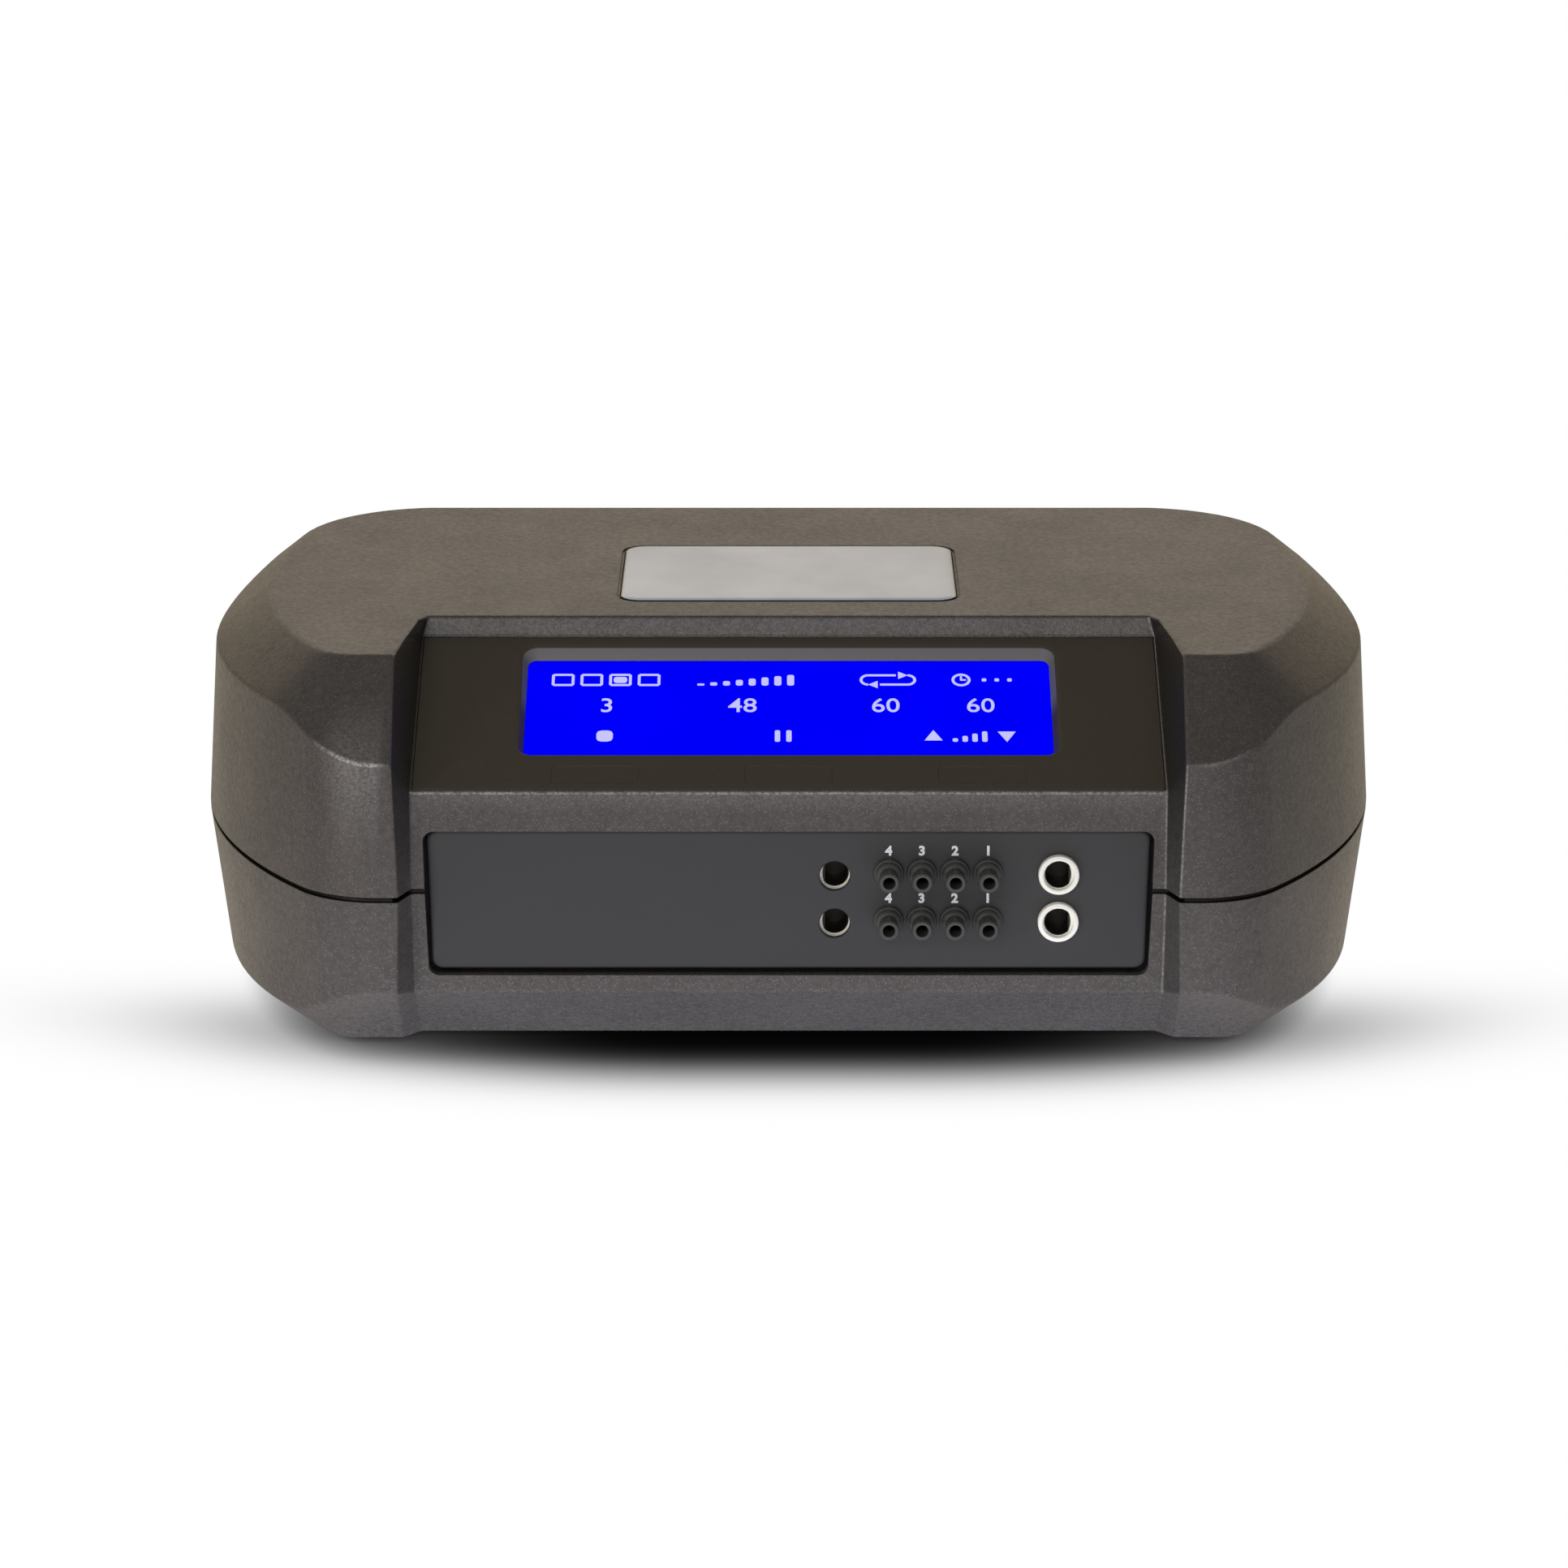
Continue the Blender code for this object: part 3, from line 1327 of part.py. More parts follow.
def make_inlet(finishes):
    """Make the mains inlet: a flanged box with a keyed cavity and three pins."""
    inlet = fitting_block(inlet_x, inlet_width, inlet_height, 0.0, -inlet_depth, inlet_flange_thickness / 2)
    flange_low = seat_gap
    flange_high = seat_gap + inlet_flange_thickness
    add(inlet, fitting_block(inlet_x, inlet_width, inlet_height, inlet_flange, flange_low, flange_high))
    half = inlet_cavity_width / 2
    reach = inlet_cavity_height / 2
    chamfer = inlet_cavity_chamfer
    outline = [
        (inlet_x - half + chamfer, rear_row_height - reach),
        (inlet_x + half - chamfer, rear_row_height - reach),
        (inlet_x + half, rear_row_height - reach + chamfer),
        (inlet_x + half, rear_row_height + reach),
        (inlet_x - half, rear_row_height + reach),
        (inlet_x - half, rear_row_height - reach + chamfer),
    ]
    floor = flange_high - inlet_cavity_depth
    cut(inlet, prism(rear_panel_frame, outline, floor, flange_high + overrun))
    for x, v in ((-pin_spread, pin_offset), (pin_spread, pin_offset), (0.0, -pin_offset)):
        low = (inlet_x + x - pin_width / 2, rear_row_height + v - pin_height / 2, floor - pin_width)
        high = (inlet_x + x + pin_width / 2, rear_row_height + v + pin_height / 2, floor + pin_length)
        add(inlet, block(rear_panel_frame, low, high))
    return finish_piece(inlet, "power_inlet", finishes["inlet_plastic"])


def make_switch(finishes):
    """Make the switch housing and its rocker, which rests tilted to off."""
    housing = fitting_block(switch_x, switch_width, switch_height, 0.0, -switch_depth, seat_gap * 2)
    face = seat_gap + switch_flange_thickness
    add(housing, fitting_block(switch_x, switch_width, switch_height, switch_flange, seat_gap, face))
    cavity_width = switch_width - 2 * switch_wall
    cavity_height = switch_height - 2 * switch_wall
    cavity_floor = -switch_depth + switch_wall
    cut(housing, fitting_block(switch_x, cavity_width, cavity_height, 0.0, cavity_floor, face + overrun))
    finish_piece(housing, "switch_housing", finishes["inlet_plastic"])
    pivot_out = -rocker_pivot_depth
    reach = cavity_height / 2 - running_gap * 2
    outline = [
        (-reach, -rocker_shoulder_back),
        (-reach, face + rocker_edge_proud),
        (0.0, face + rocker_valley_proud),
        (reach, face + rocker_edge_proud),
        (reach, -rocker_shoulder_back),
        (0.0, -rocker_back),
    ]
    width = cavity_width / 2 - running_gap
    pivot = rear_panel_frame @ Vector((switch_x, rear_row_height, pivot_out))
    side_frame = frame_from((0, 0, 1), (0, 1, 0), (-1, 0, 0), (pivot.x, rear_face_y, pivot.z))
    rocker = prism(side_frame, outline, -width, width)
    turn = Matrix.Translation(pivot) @ Matrix.Rotation(rocker_tilt, 4, "X") @ Matrix.Translation(-pivot)
    rocker.data.transform(turn)
    finish_piece(rocker, "power_rocker", finishes["rocker_plastic"], pivot)
    return [housing, rocker]


def make_fuses(finishes):
    """Make the two screw-in fuse holders."""
    made = []
    collar_top = seat_gap + fuse_collar_thickness
    top = seat_gap + fuse_proud
    profile = [
        (-fuse_depth, 0.0),
        (-fuse_depth, fuse_barrel_radius),
        (seat_gap, fuse_barrel_radius),
        (seat_gap, fuse_collar_radius),
        (collar_top, fuse_collar_radius),
        (collar_top, fuse_cap_radius),
        (top, fuse_cap_radius - recess_edge_round),
        (top, 0.0),
    ]
    for name, x in zip(("left", "right"), fuse_x):
        holder = turned(rear_panel_frame, (x, rear_row_height), profile, 16)
        slot = block(
            rear_panel_frame,
            (x - fuse_cap_radius - overrun, rear_row_height - fuse_slot_width / 2, top - fuse_slot_depth),
            (x + fuse_cap_radius + overrun, rear_row_height + fuse_slot_width / 2, top + overrun),
        )
        cut(holder, slot)
        made.append(finish_piece(holder, "fuse_holder_" + name, finishes["inlet_plastic"]))
    return made


# Air pump
bracket_low = case_wall + isolator_height + 2 * seat_gap
bracket_high = bracket_low + bracket_thickness
pump_low = bracket_high + seat_gap
pump_axis = pump_low + pump_body_height / 2
pump_half = bracket_length / 2 - seat_gap
core_start = -pump_half
body_start = core_start + pump_core_length + seat_gap
head_start = body_start + pump_body_length + seat_gap
head_end = head_start + cylinder_head_length


def make_bracket(finishes):
    """Make the steel bracket and the four rubber isolators under it."""
    made = []
    half = bracket_length / 2
    reach = bracket_depth / 2
    corners = box_corners(pump_x - half, pump_x + half, pump_y - reach, pump_y + reach)
    outline = rounded_outline(corners, bracket_corner)
    bracket = prism(world, outline, base_level + bracket_low, base_level + bracket_high)
    made.append(finish_piece(bracket, "pump_bracket", finishes["core_steel"]))
    low = floor_level + seat_gap
    high = low + isolator_height
    third = isolator_height / 3
    profile = [
        (low, 0.0),
        (low, isolator_radius),
        (low + third, isolator_waist),
        (high - third, isolator_waist),
        (high, isolator_radius),
        (high, 0.0),
    ]
    for side_x, word_x in ((-1, "left"), (1, "right")):
        for side_y, word_y in ((-1, "front"), (1, "rear")):
            place = (
                pump_x + side_x * (half - isolator_inset),
                pump_y + side_y * (reach - isolator_inset),
            )
            isolator = turned(world, place, profile, 12)
            name = "isolator_" + word_y + "_" + word_x
            made.append(finish_piece(isolator, name, finishes["isolator_rubber"]))
    return made


def make_pump_core(finishes):
    """Make the laminated core with its window, and the coil wound round the rod."""
    reach = core_depth / 2
    core = block(
        pump_frame,
        (-reach, pump_low, core_start),
        (reach, pump_low + pump_body_height, core_start + pump_core_length),
    )
    window_start = core_start + (pump_core_length - core_window_length) / 2
    window = block(
        pump_frame,
        (-reach - overrun, pump_axis - core_window_height / 2, window_start),
        (reach + overrun, pump_axis + core_window_height / 2, window_start + core_window_length),
    )
    bore = rod(
        pump_frame,
        (0.0, pump_axis),
        core_start - overrun,
        core_start + pump_core_length + overrun,
        rod_radius + running_gap,
        20,
    )
    cut(core, window)
    cut(core, bore)
    finish_piece(core, "pump_core", finishes["core_steel"])
    coil_start = window_start + seat_gap
    coil_end = window_start + core_window_length - seat_gap
    coil_radius = core_window_height / 2 - seat_gap
    profile = [
        (coil_start, rod_radius + running_gap * 2),
        (coil_start, coil_radius),
        (coil_end, coil_radius),
        (coil_end, rod_radius + running_gap * 2),
    ]
    coil = turned(pump_frame, (0.0, pump_axis), profile, 20, closed=True)
    finish_piece(coil, "coil_winding", finishes["coil_copper"])
    return [core, coil]


def make_pump_body(finishes):
    """Make the cylinder block, its head with the air outlet, and the intake filter."""
    reach = pump_body_side / 2
    high = pump_low + pump_body_height
    body = block(pump_frame, (-reach, pump_low, body_start), (reach, high, body_start + pump_body_length))
    profile = [
        (body_start - overrun, 0.0),
        (body_start - overrun, rod_radius + running_gap),
        (body_start + cylinder_shoulder, rod_radius + running_gap),
        (body_start + cylinder_shoulder, cylinder_bore_radius),
        (body_start + pump_body_length + overrun, cylinder_bore_radius),
        (body_start + pump_body_length + overrun, 0.0),
    ]
    cut(body, turned(pump_frame, (0.0, pump_axis), profile, 24))
    finish_piece(body, "pump_body", finishes["cast_aluminium"])
    head = block(pump_frame, (-reach, pump_low, head_start), (reach, high, head_end))
    outlet = rod(
        pump_frame,
        (0.0, supply_outlet_height),
        head_end - nipple_length / 2,
        head_end + nipple_length,
        nipple_radius,
        12,
    )
    add(head, outlet)
    finish_piece(head, "cylinder_head", finishes["cast_aluminium"])
    filter_x = pump_x + (head_start + body_start) / 2
    low = base_level + high + seat_gap
    profile = [
        (low, 0.0),
        (low, filter_radius),
        (low + filter_height - foot_edge, filter_radius),
        (low + filter_height, filter_radius - foot_edge),
        (low + filter_height, 0.0),
    ]
    air_filter = turned(world, (filter_x, pump_y), profile, 16)
    finish_piece(air_filter, "intake_filter", finishes["manifold_plastic"])
    return [body, head, air_filter]


def make_piston(finishes):
    """Make the magnet rod with its piston, and the spring that brings it back."""
    rod_start = core_start + piston_stroke
    spring_start = body_start + cylinder_shoulder + seat_gap
    piston_start = body_start + pump_body_length / 2
    profile = [
        (rod_start, 0.0),
        (rod_start, rod_radius),
        (piston_start, rod_radius),
        (piston_start, cylinder_bore_radius - running_gap),
        (piston_start + piston_length, cylinder_bore_radius - running_gap),
        (piston_start + piston_length, 0.0),
    ]
    piston = turned(pump_frame, (0.0, pump_axis), profile, 20)
    origin = pump_frame @ Vector((0.0, pump_axis, piston_start))
    finish_piece(piston, "pump_piston", finishes["piston_steel"], origin)
    steps = spring_turns * spring_turn_steps
    start = spring_start + spring_wire_radius
    end = piston_start - seat_gap - spring_wire_radius
    places = []
    for step in range(steps + 1):
        turn = math.tau * spring_turns * step / steps
        along = start + (end - start) * step / steps
        across = (spring_radius * math.cos(turn), pump_axis + spring_radius * math.sin(turn))
        places.append(pump_frame @ Vector((across[0], across[1], along)))
    spring = tube(places, spring_wire_radius, 1)
    finish_piece(spring, "return_spring", finishes["piston_steel"])
    return [piston, spring]


def tube(places, radius, roundness):
    """Make a solid tube through a run of points, with filled ends."""
    curve = bpy.data.curves.new("tube", "CURVE")
    curve.dimensions = "3D"
    curve.bevel_depth = radius
    curve.bevel_resolution = roundness
    curve.use_fill_caps = True
    spline = curve.splines.new("POLY")
    spline.points.add(len(places) - 1)
    for point, place in zip(spline.points, places):
        point.co = (*place, 1.0)
    guide = bpy.data.objects.new("tube", curve)
    bpy.context.scene.collection.objects.link(guide)
    graph = bpy.context.evaluated_depsgraph_get()
    shape = bmesh.new()
    shape.from_mesh(bpy.data.meshes.new_from_object(guide.evaluated_get(graph)))
    bmesh.ops.remove_doubles(shape, verts=shape.verts, dist=merge_gap)
    bpy.data.objects.remove(guide, do_unlink=True)
    return object_from(shape)


# Distributor valve
valve_low = case_wall + seat_gap
valve_high = valve_low + valve_height
cavity_floor_level = valve_high - valve_cavity_depth
valve_outlet_y = [
    valve_y - valve_side / 2 + outlet_pitch * (index + 1) - outlet_pitch / 3 for index in range(port_count)
]
nipple_tip_x = valve_x - valve_side / 2 - nipple_length
left_frame = frame_from((0, -1, 0), (0, 0, 1), (-1, 0, 0), (valve_x - valve_side / 2, 0, base_level))


def make_valve_body(finishes):
    """Make the valve block with its round cavity, four outlets and one inlet."""
    reach = valve_side / 2
    body = block(
        world,
        (valve_x - reach, valve_y - reach, base_level + valve_low),
        (valve_x + reach, valve_y + reach, base_level + valve_high),
    )
    places = [(-y, outlet_height) for y in valve_outlet_y] + [(-supply_y, supply_height)]
    nipples = [
        rod(left_frame, place, -nipple_length / 3, nipple_length, nipple_radius, 12) for place in places
    ]
    combine(body, nipples, "UNION")
    cavity = rod(
        world,
        (valve_x, valve_y),
        base_level + cavity_floor_level,
        base_level + valve_high + overrun,
        valve_cavity_radius,
        28,
    )
    cut(body, cavity)
    return finish_piece(body, "valve_body", finishes["valve_plastic"])


def make_valve_rotor(finishes):
    """Make the valve rotor with its port and its drive shaft."""
    low = base_level + cavity_floor_level + seat_gap
    disc_top = low + rotor_thickness
    hub_top = disc_top + rotor_hub_height
    profile = [
        (low, 0.0),
        (low, rotor_radius),
        (disc_top, rotor_radius),
        (disc_top, rotor_hub_radius),
        (hub_top, rotor_hub_radius),
        (hub_top, rotor_shaft_radius),
        (hub_top + rotor_shaft_length, rotor_shaft_radius),
        (hub_top + rotor_shaft_length, 0.0),
    ]
    rotor = turned(world, (valve_x, valve_y), profile, 28)
    port = rod(
        world,
        (valve_x, valve_y - rotor_port_offset),
        low - overrun,
        disc_top + overrun,
        rotor_port_radius,
        12,
    )
    cut(rotor, port)
    origin = Vector((valve_x, valve_y, low))
    return finish_piece(rotor, "valve_rotor", finishes["rotor_plastic"], origin)


def make_valve_motor(finishes):
    """Make the gear motor that closes the valve's cavity and turns the rotor."""
    low = base_level + valve_high + seat_gap
    high = low + motor_height
    shaft_top = base_level + cavity_floor_level + rotor_thickness + rotor_hub_height + rotor_shaft_length
    bore_top = shaft_top + 3 * seat_gap
    bore = rotor_shaft_radius + running_gap
    profile = [
        (bore_top, 0.0),
        (bore_top, bore),
        (low, bore),
        (low, motor_radius),
        (high, motor_radius),
        (high, motor_cap_radius),
        (high + motor_cap_height, motor_cap_radius),
        (high + motor_cap_height, 0.0),
    ]
    motor = turned(world, (valve_x, valve_y), profile, 24)
    return finish_piece(motor, "valve_motor", finishes["motor_steel"])


# Hoses
def bent_route(start, start_along, end, end_along, lead):
    """Return points on one smooth curve that leaves and arrives in given directions."""
    first = Vector(start) + Vector(start_along) * hose_end_run
    last = Vector(end) - Vector(end_along) * hose_end_run
    handles = [first, first + Vector(start_along) * lead, last - Vector(end_along) * lead, last]
    places = [Vector(start)]
    for step in range(hose_steps + 1):
        share = step / hose_steps
        level = handles
        while len(level) > 1:
            level = [a.lerp(b, share) for a, b in zip(level, level[1:])]
        places.append(level[0])
    return places + [Vector(end)]


def make_hoses(finishes):
    """Make the hose from the pump to the valve and the four from the valve to the ports."""
    made = []
    tip_gap = Vector((-seat_gap, 0, 0))
    manifold_back = manifold_front - manifold_depth - nipple_length - seat_gap
    for index, x in enumerate(reversed(port_x)):
        start = Vector((nipple_tip_x, valve_outlet_y[index], base_level + outlet_height)) + tip_gap
        end = front_panel @ Vector((x, manifold_nipple_level, manifold_back))
        route = bent_route(start, (-1, 0, 0), end, (0, -1, 0), outlet_hose_lead)
        name = "outlet_hose_" + str(index + 1)
        made.append(finish_piece(tube(route, hose_radius, 1), name, finishes["hose_vinyl"]))
    start = pump_frame @ Vector((0, supply_outlet_height, head_end + nipple_length + seat_gap))
    end = Vector((nipple_tip_x, supply_y, base_level + supply_height)) + tip_gap
    route = bent_route(start, (1, 0, 0), end, (1, 0, 0), supply_hose_lead)
    made.append(finish_piece(tube(route, hose_radius, 1), "supply_hose", finishes["hose_vinyl"]))
    return made


# Circuit boards
def make_control_board(finishes):
    """Make the control board with its processor and a header."""
    low = base_level + control_board_height
    top = low + board_thickness
    half = control_board_width / 2
    reach = control_board_depth / 2
    x = control_board_x
    y = control_board_y
    board = block(world, (x - half, y - reach, low), (x + half, y + reach, top))
    chip = block(
        world,
        (x - chip_width / 2, y - chip_depth / 2, top - board_thickness / 2),
        (x + chip_width / 2, y + chip_depth / 2, top + chip_height),
    )
    header_y = y + reach - header_depth
    header = block(
        world,
        (x - header_width / 2, header_y - header_depth / 2, top - board_thickness / 2),
        (x + header_width / 2, header_y + header_depth / 2, top + header_height),
    )
    add(board, chip, header)
    return finish_piece(board, "control_board", finishes["board_laminate"])


def make_power_supply(finishes):
    """Make the power supply board with its transformer and two capacitors."""
    low = base_level + supply_board_height
    top = low + board_thickness
    half = supply_board_width / 2
    reach = supply_board_depth / 2
    x = supply_board_x
    y = supply_board_y
    board = block(world, (x - half, y - reach, low), (x + half, y + reach, top))
    middle = x + half - transformer_width / 2 - post_inset
    transformer = block(
        world,
        (middle - transformer_width / 2, y - transformer_depth / 2, top - board_thickness / 2),
        (middle + transformer_width / 2, y + transformer_depth / 2, top + transformer_height),
    )
    add(board, transformer)
    capacitor_x = x - half + capacitor_radius + post_inset / 2
    for side in (-1, 1):
        place = (capacitor_x, y + side * (capacitor_radius + post_inset / 2))
        add(board, rod(world, place, top - board_thickness / 2, top + capacitor_height, capacitor_radius, 16))
    return finish_piece(board, "power_supply", finishes["board_laminate"])


def clear_scene():
    """Remove every object that the scene starts with."""
    for thing in list(bpy.data.objects):
        bpy.data.objects.remove(thing, do_unlink=True)


def build_pump():
    """Make every piece of the pump."""
    clear_scene()
    finishes = make_finishes()
    make_upper_case(finishes)
    make_lower_case(finishes)
    make_badge(finishes)
    make_bezel(finishes)
    make_screen(finishes)
    make_lcd_board(finishes)
    make_keys(finishes)
    make_keypad_board(finishes)
    make_connector_panel(finishes)
    make_ports(finishes)
    make_sockets(finishes)
    make_manifold(finishes)
    make_feet(finishes)
    make_screws(finishes)
    make_rear_panel(finishes)
    make_inlet(finishes)
    make_switch(finishes)
    make_fuses(finishes)
    make_bracket(finishes)
    make_pump_core(finishes)
    make_pump_body(finishes)
    make_piston(finishes)
    make_valve_body(finishes)
    make_valve_rotor(finishes)
    make_valve_motor(finishes)
    make_hoses(finishes)
    make_control_board(finishes)
    make_power_supply(finishes)


build_pump()
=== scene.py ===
"""A table-top compression therapy pump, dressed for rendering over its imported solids."""
import json
import logging
import math
from dataclasses import dataclass, field
from enum import Enum
from typing import Callable, Iterable, Sequence

import bmesh
import bpy
from mathutils import Matrix, Vector
from mathutils.kdtree import KDTree


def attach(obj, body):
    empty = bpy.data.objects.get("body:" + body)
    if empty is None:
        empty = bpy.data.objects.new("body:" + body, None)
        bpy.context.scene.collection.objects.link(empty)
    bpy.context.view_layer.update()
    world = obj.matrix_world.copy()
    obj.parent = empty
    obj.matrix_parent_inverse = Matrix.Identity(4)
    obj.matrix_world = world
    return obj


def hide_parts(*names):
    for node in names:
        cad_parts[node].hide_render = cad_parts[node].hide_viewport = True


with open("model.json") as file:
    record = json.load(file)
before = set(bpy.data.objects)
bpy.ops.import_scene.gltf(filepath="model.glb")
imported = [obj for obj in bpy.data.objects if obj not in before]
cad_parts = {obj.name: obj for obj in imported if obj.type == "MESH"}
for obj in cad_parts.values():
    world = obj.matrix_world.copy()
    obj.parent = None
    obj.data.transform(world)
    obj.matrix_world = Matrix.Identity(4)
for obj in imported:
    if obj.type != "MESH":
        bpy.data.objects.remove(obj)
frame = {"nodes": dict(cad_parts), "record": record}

log = logging.getLogger("pump")
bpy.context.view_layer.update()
Thing = bpy.types.Object
Socket = bpy.types.NodeSocket
Pair = tuple[float, float]
Place = tuple[float, float, float]
Colour = tuple[float, float, float]
Corners = Sequence[Pair]
Mark = tuple[Vector, float]
# Attribute of proud edges brightened part by wear and part by a painted highlight.
WEAR_AND_HIGHLIGHT = "rubbed_edge"
# Attribute of where shade is painted (case groove, recess sides and badge seat, badge plate's foot,
# socket bores) and where a highlight is painted (display window's upper slope).
SHADE_AND_HIGHLIGHT_MARK = "marked_face"
WELD_REACH = 0.00001
MATCH_REACH = 0.00008
LARGEST_CORNER = 0.92
LARGEST_BEND = 0.45
DIGIT_SHARE = 0.70


# Places on the object


def plane_from(right: Sequence[float], up: Sequence[float], out: Sequence[float],
               origin: Sequence[float]) -> Matrix:
    """Return the matrix that takes a face's own coordinates to the world.

    Args:
        right: Direction of the face's first axis.
        up: Direction of its second axis.
        out: Direction out of the face.
        origin: Where the axes meet.

    Returns:
        A four by four matrix.
    """
    matrix = Matrix((right, up, out)).transposed().to_4x4()
    matrix.translation = Vector(origin)
    return matrix


@dataclass(frozen=True)
class RoundEnd:
    """One quarter of an outline: a straight run, a corner arc and a flatter side arc."""

    width: float
    depth: float
    reach: float
    corner: float

    @property
    def radius(self) -> float:
        """The corner arc's radius, kept inside the reach."""
        return min(self.corner, self.reach * LARGEST_CORNER)

    @property
    def straight(self) -> float:
        """How far the straight run goes."""
        return self.width - self.reach

    @property
    def side_radius(self) -> float:
        """The side arc's radius."""
        slack = self.reach - self.radius
        return (self.reach**2 + self.depth**2 - 2 * self.depth * self.radius) / (2 * slack)

    @property
    def corner_centre(self) -> Vector:
        """The corner arc's centre."""
        return Vector((self.straight, self.depth - self.radius))

    @property
    def side_centre(self) -> Vector:
        """The side arc's centre."""
        return Vector((self.width - self.side_radius, 0.0))

    @property
    def joint_angle(self) -> float:
        """The direction in which both arcs meet."""
        joint = self.corner_centre - self.side_centre
        return math.atan2(joint.y, joint.x)

    def inset(self, amount: float) -> "RoundEnd":
        """Return the parallel outline that lies inside this one."""
        return RoundEnd(
            self.width - amount, self.depth - amount, self.reach - amount, self.radius - amount
        )

    def samples(self, steps: int) -> list[tuple[Vector, Vector]]:
        """Return places and outward directions from the straight run round to the side.

        Args:
            steps: How many steps each arc gets.

        Returns:
            Pairs of a place and its outward direction.
        """
        joint, quarter = self.joint_angle, math.pi / 2
        spokes = [(self.corner_centre, self.radius, quarter + (joint - quarter) * step / steps)
                  for step in range(steps + 1)]
        spokes += [(self.side_centre, self.side_radius, joint * (1 - step / steps))
                   for step in range(1, steps + 1)]
        found = []
        for centre, radius, turn in spokes:
            outwards = Vector((math.cos(turn), math.sin(turn)))
            found.append((centre + outwards * radius, outwards))
        return found

    def foot(self, place: Vector) -> Vector:
        """Return the nearest place on the outline to one outside it."""
        if place.x <= self.straight:
            return Vector((place.x, self.depth))
        away = place - self.side_centre
        if math.atan2(away.y, away.x) > self.joint_angle:
            return self.corner_centre + (place - self.corner_centre).normalized() * self.radius
        return self.side_centre + away.normalized() * self.side_radius


def line_meeting(point_a: Vector, along_a: Vector, point_b: Vector, along_b: Vector) -> Vector:
    """Return where two straight lines in a plane cross."""
    turn = along_a.x * along_b.y - along_a.y * along_b.x
    across = point_b - point_a
    return point_a + along_a * ((across.x * along_b.y - across.y * along_b.x) / turn)


@dataclass(frozen=True)
class PumpSizes:
    """The case's sizes in metres, and the places that follow from them."""

    half_width: float = 0.170
    half_depth: float = 0.112
    base: float = 0.0025
    parting: float = 0.0545
    top: float = 0.1158
    wall: float = 0.0028
    groove: float = 0.0013
    tongue_height: float = 0.0014
    tongue_inset: float = 0.0015
    upper_draft: float = math.radians(3.8)
    lower_draft: float = math.radians(6.7)
    rise_share: float = 0.8
    floor_x: float = 0.1043
    edge_x: float = 0.1075
    edge_lean: float = 0.0020
    recess_setback: float = 0.0080
    recess_base_setback: float = 0.0054
    slope_foot_height: float = 0.0825
    lip_setback: float = 0.0725
    lip_lean: float = 0.0020
    lip_drop: float = 0.0053
    lip_corner: float = 0.0036
    lip_corner_length: float = 0.0047
    lip_narrowing: float = 0.0039
    panel_setback: float = 0.0120
    rear_setback: float = 0.0052
    clearance: float = 0.0003
    overrun: float = 0.0060

    def recess_y(self, level: float) -> float:
        """Return how far forward the recessed front face lies at a height."""
        draft = self.upper_draft if level > self.parting else self.lower_draft
        return -self.half_depth + self.recess_setback + abs(level - self.parting) * math.tan(draft)

    @property
    def slope_foot(self) -> Vector:
        """The lower edge of the sloping face, as (y, height)."""
        return Vector((self.recess_y(self.slope_foot_height), self.slope_foot_height))

    @property
    def lip_top(self) -> Vector:
        """The upper edge of the lip behind the sloping face, as (y, height)."""
        return Vector((-self.half_depth + self.lip_setback, self.top))

    @property
    def lip_foot(self) -> Vector:
        """The lower edge of that lip, as (y, height)."""
        return self.lip_top - Vector((self.lip_lean, self.lip_drop))

    @property
    def slope_along(self) -> Vector:
        """The direction up the sloping face, as (y, height)."""
        return (self.lip_foot - self.slope_foot).normalized()

    @property
    def slope_length(self) -> float:
        """How long the sloping face is."""
        return (self.lip_foot - self.slope_foot).length

    @property
    def display(self) -> Matrix:
        """The sloping face's own axes."""
        along = self.slope_along
        return plane_from(
            (1, 0, 0), (0, along.x, along.y), (0, -along.y, along.x),
            (0, self.slope_foot.x, self.slope_foot.y),
        )

    @property
    def front(self) -> Matrix:
        """The connector panel's own axes, heights from the underside of the case."""
        return plane_from(
            (1, 0, 0), (0, 0, 1), (0, -1, 0), (0, self.panel_setback - self.half_depth, self.base)
        )

    @property
    def rear(self) -> Matrix:
        """The rear panel's own axes, heights from the underside of the case."""
        return plane_from(
            (-1, 0, 0), (0, 0, 1), (0, 1, 0), (0, self.half_depth - self.rear_setback, self.base)
        )


SIZES = PumpSizes()
WORLD = Matrix.Identity(4)


# Mesh tools


def add_object(name: str, data: bpy.types.ID) -> Thing:
    """Put a mesh, a text, a light or a camera into the scene as an object."""
    thing = bpy.data.objects.new(name, data)
    bpy.context.scene.collection.objects.link(thing)
    return thing


def object_from(shape: bmesh.types.BMesh, name: str = "form") -> Thing:
    """Turn a bmesh into an object, with its faces pointing out."""
    bmesh.ops.recalc_face_normals(shape, faces=shape.faces)
    mesh = bpy.data.meshes.new(name)
    shape.to_mesh(mesh)
    shape.free()
    return add_object(name, mesh)


def loft(rings: Sequence[Sequence[Vector]]) -> Thing:
    """Make a closed solid through rings of equal length, capped at both ends."""
    shape = bmesh.new()
    rows = [[shape.verts.new(place) for place in ring] for ring in rings]
    count = len(rows[0])
    for low, high in zip(rows, rows[1:]):
        for index in range(count):
            after = (index + 1) % count
            shape.faces.new((low[index], low[after], high[after], high[index]))
    shape.faces.new(rows[0])
    shape.faces.new(rows[-1])
    return object_from(shape)


def lofted(plane: Matrix, outlines: Iterable[Corners], levels: Iterable[float]) -> Thing:
    """Make a solid on a face from outlines with as many corners at different distances out."""
    return loft([[plane @ Vector((u, v, w)) for u, v in ring] for ring, w in zip(outlines, levels)])


def prism(plane: Matrix, outline: Corners, low: float, high: float) -> Thing:
    """Make a solid from an outline on a face, between two distances out of it."""
    return lofted(plane, [outline, outline], [low, high])


